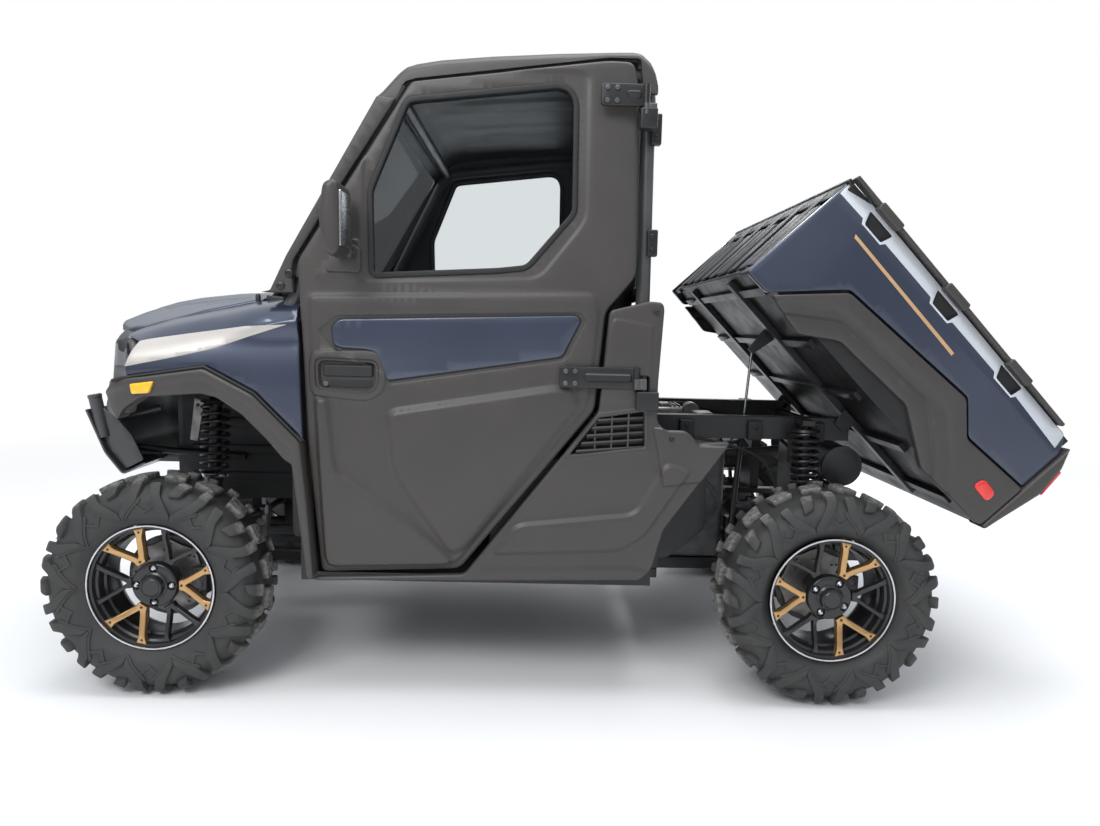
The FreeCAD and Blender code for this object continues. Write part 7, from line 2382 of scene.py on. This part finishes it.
@dataclass
class Studio:
    """Camera, lights, floor and world."""

    centre: tuple[float, float, float] = (1.1528, -3.1842, 1.155)
    yaw: float = 0.0183
    pitch: float = 0.1062
    roll: float = -0.0248
    focal: float = 812.77
    frame_width: float = 1100.0
    sensor: float = 36.0

    def camera(self, axle_x: float) -> None:
        """Place the camera: its axes are turned by yaw, pitch and roll from looking along +Y."""
        ahead = np.array([
            math.sin(self.yaw) * math.cos(self.pitch), math.cos(self.yaw) * math.cos(self.pitch),
            -math.sin(self.pitch)])
        right = np.array([math.cos(self.yaw), -math.sin(self.yaw), 0.0])
        down = np.cross(ahead, right)
        across = math.cos(self.roll) * right + math.sin(self.roll) * down
        below = -math.sin(self.roll) * right + math.cos(self.roll) * down
        data = bpy.data.cameras.new("camera")
        data.sensor_width = self.sensor
        data.lens = self.focal / self.frame_width * self.sensor
        data.clip_end = 200.0
        place = np.eye(4)
        place[:3, 0], place[:3, 1], place[:3, 2] = across, -below, -ahead
        place[:3, 3] = np.array(self.centre) + np.array([axle_x, 0.0, 0.0])
        view = bpy.data.objects.new("camera", data)
        view.matrix_world = Matrix(place.tolist())
        bpy.context.scene.collection.objects.link(view)
        bpy.context.scene.camera = view

    @staticmethod
    def lamp(name: str, at: tuple, aim: tuple, power: float, size: tuple[float, float]) -> None:
        """A soft box aimed at a point."""
        data = bpy.data.lights.new(name, "AREA")
        data.shape = "RECTANGLE"
        data.size, data.size_y = size
        data.energy = power
        box = bpy.data.objects.new(name, data)
        way = Vector(aim) - Vector(at)
        box.matrix_world = shift(*at) @ way.to_track_quat("-Z", "Y").to_matrix().to_4x4()
        bpy.context.scene.collection.objects.link(box)

    @staticmethod
    def world() -> None:
        """White to the eye and through glass, and a soft sky that dims towards the ground, seen in
        reflections and for shading.
        """
        world = bpy.data.worlds.new("studio")
        bpy.context.scene.world = world
        world.use_nodes = True
        tree = world.node_tree
        tree.nodes.clear()
        out = tree.nodes.new("ShaderNodeOutputWorld")
        rays = tree.nodes.new("ShaderNodeLightPath")
        seen = Value(tree, rays.outputs["Is Camera Ray"]) + Value(
            tree, rays.outputs["Is Transmission Ray"])
        shown = tree.nodes.new("ShaderNodeBackground")
        shown.inputs["Color"].default_value = (1.0, 1.0, 1.0, 1.0)
        place = tree.nodes.new("ShaderNodeTexCoord")
        split = tree.nodes.new("ShaderNodeSeparateXYZ")
        tree.links.new(place.outputs["Generated"], split.inputs[0])
        height = tree.nodes.new("ShaderNodeMapRange")
        height.interpolation_type = "SMOOTHSTEP"
        for key, item in (("From Min", -0.2), ("From Max", 0.75), ("To Min", 0.2), ("To Max", 1.35)):
            height.inputs[key].default_value = item
        tree.links.new(split.outputs["Z"], height.inputs["Value"])
        sky = tree.nodes.new("ShaderNodeBackground")
        sky.inputs["Color"].default_value = (0.9, 0.94, 1.0, 1.0)
        level = Value(tree, height.outputs["Result"]) * 0.72
        tree.links.new(level.socket, sky.inputs["Strength"])
        mixed = tree.nodes.new("ShaderNodeMixShader")
        tree.links.new(seen.clamped().socket, mixed.inputs[0])
        tree.links.new(sky.outputs[0], mixed.inputs[1])
        tree.links.new(shown.outputs[0], mixed.inputs[2])
        tree.links.new(mixed.outputs[0], out.inputs["Surface"])

    @staticmethod
    def floor() -> None:
        """A pale floor that keeps the shadow near the vehicle and fades to white further out."""
        reach = 60.0
        mesh = bpy.data.meshes.new("floor")
        corners = [(-reach, -reach, 0), (reach, -reach, 0), (reach, reach, 0), (-reach, reach, 0)]
        mesh.from_pydata(corners, [], [(0, 1, 2, 3)])
        shade = Shade("pale_floor")
        matt = shade.add("ShaderNodeBsdfDiffuse", Color=(0.86, 0.86, 0.86, 1.0))
        glow = shade.add("ShaderNodeEmission", Color=(1.0, 1.0, 1.0, 1.0), Strength=1.0)
        split = shade.add("ShaderNodeSeparateXYZ", Vector=shade.place())
        x, y = (Value(shade.tree, split.outputs[k]) for k in ("X", "Y"))
        far = shade.ramp((x * x + y * y).root(), 2.6, 7.0)
        eye = Value(shade.tree, shade.add("ShaderNodeLightPath").outputs["Is Camera Ray"])
        mixed = shade.add("ShaderNodeMixShader")
        shade.tree.links.new((far * eye).socket, mixed.inputs[0])
        shade.tree.links.new(matt.outputs[0], mixed.inputs[1])
        shade.tree.links.new(glow.outputs[0], mixed.inputs[2])
        mesh.materials.append(shade.finish(mixed))
        floor = bpy.data.objects.new("floor", mesh)
        bpy.context.scene.collection.objects.link(floor)

    def build(self, axle_x: float) -> None:
        """Set up everything round the vehicle."""
        self.camera(axle_x)
        self.world()
        self.floor()
        self.lamp("key_box", (-2.2, -4.6, 4.4), (0.0, 0.0, 0.9), 150.0, (3.0, 2.0))
        self.lamp("top_box", (0.3, -0.6, 5.2), (0.0, 0.0, 0.8), 150.0, (4.5, 2.5))
        self.lamp("back_box", (2.6, 4.4, 3.2), (0.0, 0.0, 0.9), 70.0, (3.0, 2.0))
        bpy.context.scene.view_settings.view_transform = "Standard"


NODE_FINISHES: dict[str, Finish | Glazing] = {
    "front_frame": COATED, "rear_frame": COATED, "cab_glass": GLASS, "cab_tub": BLACK, "dashboard": BLACK,
    "door_glass_left": GLASS, "door_glass_right": GLASS, "bed_box": LINER, "bed_frame": COATED,
    "tailgate": BODY, "steering_rack": DULL, "steering_wheel": BLACK, "strut_cylinder": COATED,
    "strut_rod": BRIGHT,
}


def dress_nodes(nodes: dict[str, bpy.types.Object]) -> None:
    """Give each node that stays in sight its finish, and small rounded edges where they catch the light."""
    for name, finish in NODE_FINISHES.items():
        piece = nodes[name]
        piece.data.materials.clear()
        piece.data.materials.append(Palette.material(finish))
        weld = piece.modifiers.new("weld", "WELD")
        weld.merge_threshold = 1e-5
        if isinstance(finish, Finish):
            edge = piece.modifiers.new("edge", "BEVEL")
            edge.width = 0.0025
            edge.segments = 2
            edge.limit_method = "ANGLE"
            edge.angle_limit = math.radians(40.0)
            edge.harden_normals = True


def main() -> None:
    """Build the vehicle's looks and the studio."""
    logging.basicConfig(level=logging.INFO)
    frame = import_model()
    shop = Workshop()
    for name, width, rim in (("front", 0.115, 0.089), ("rear", 0.14, 0.104)):
        shape = Tyre(width, rim).build()
        wheel = WHEELS[name]
        for side in Side:
            label = f"{name}_{side.word}"
            low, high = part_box(f"wheel_{label}")
            hub = (np.array(low) + np.array(high)) / 2
            low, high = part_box(f"tyre_{label}")
            middle = (low.y + high.y) / 2
            place = Place(f"wheel_{label}", "tyre", (f"tyre_{label}",))
            piece = shape.on(side).moved(hub[0] - shop.axle_x, middle, hub[2])
            wear_tops(shop.add(f"tyre_{label}_rubber", piece, RUBBER, place), hub)
            wheel.build(shop, label, side, hub - [shop.axle_x, 0, 0])
    for side in Side:
        Door(side).build(shop)
    QuarterPanel().build(shop)
    FrontCorner().build(shop)
    Bed().build(shop)
    FrontEnd().build(shop)
    CabShell().build(shop)
    RunningGear().build(shop)
    Chassis().build(shop)
    Interior().build(shop)
    dress_nodes(frame["nodes"])
    Studio().build(shop.axle_x)


if __name__ == "__main__":
    main()
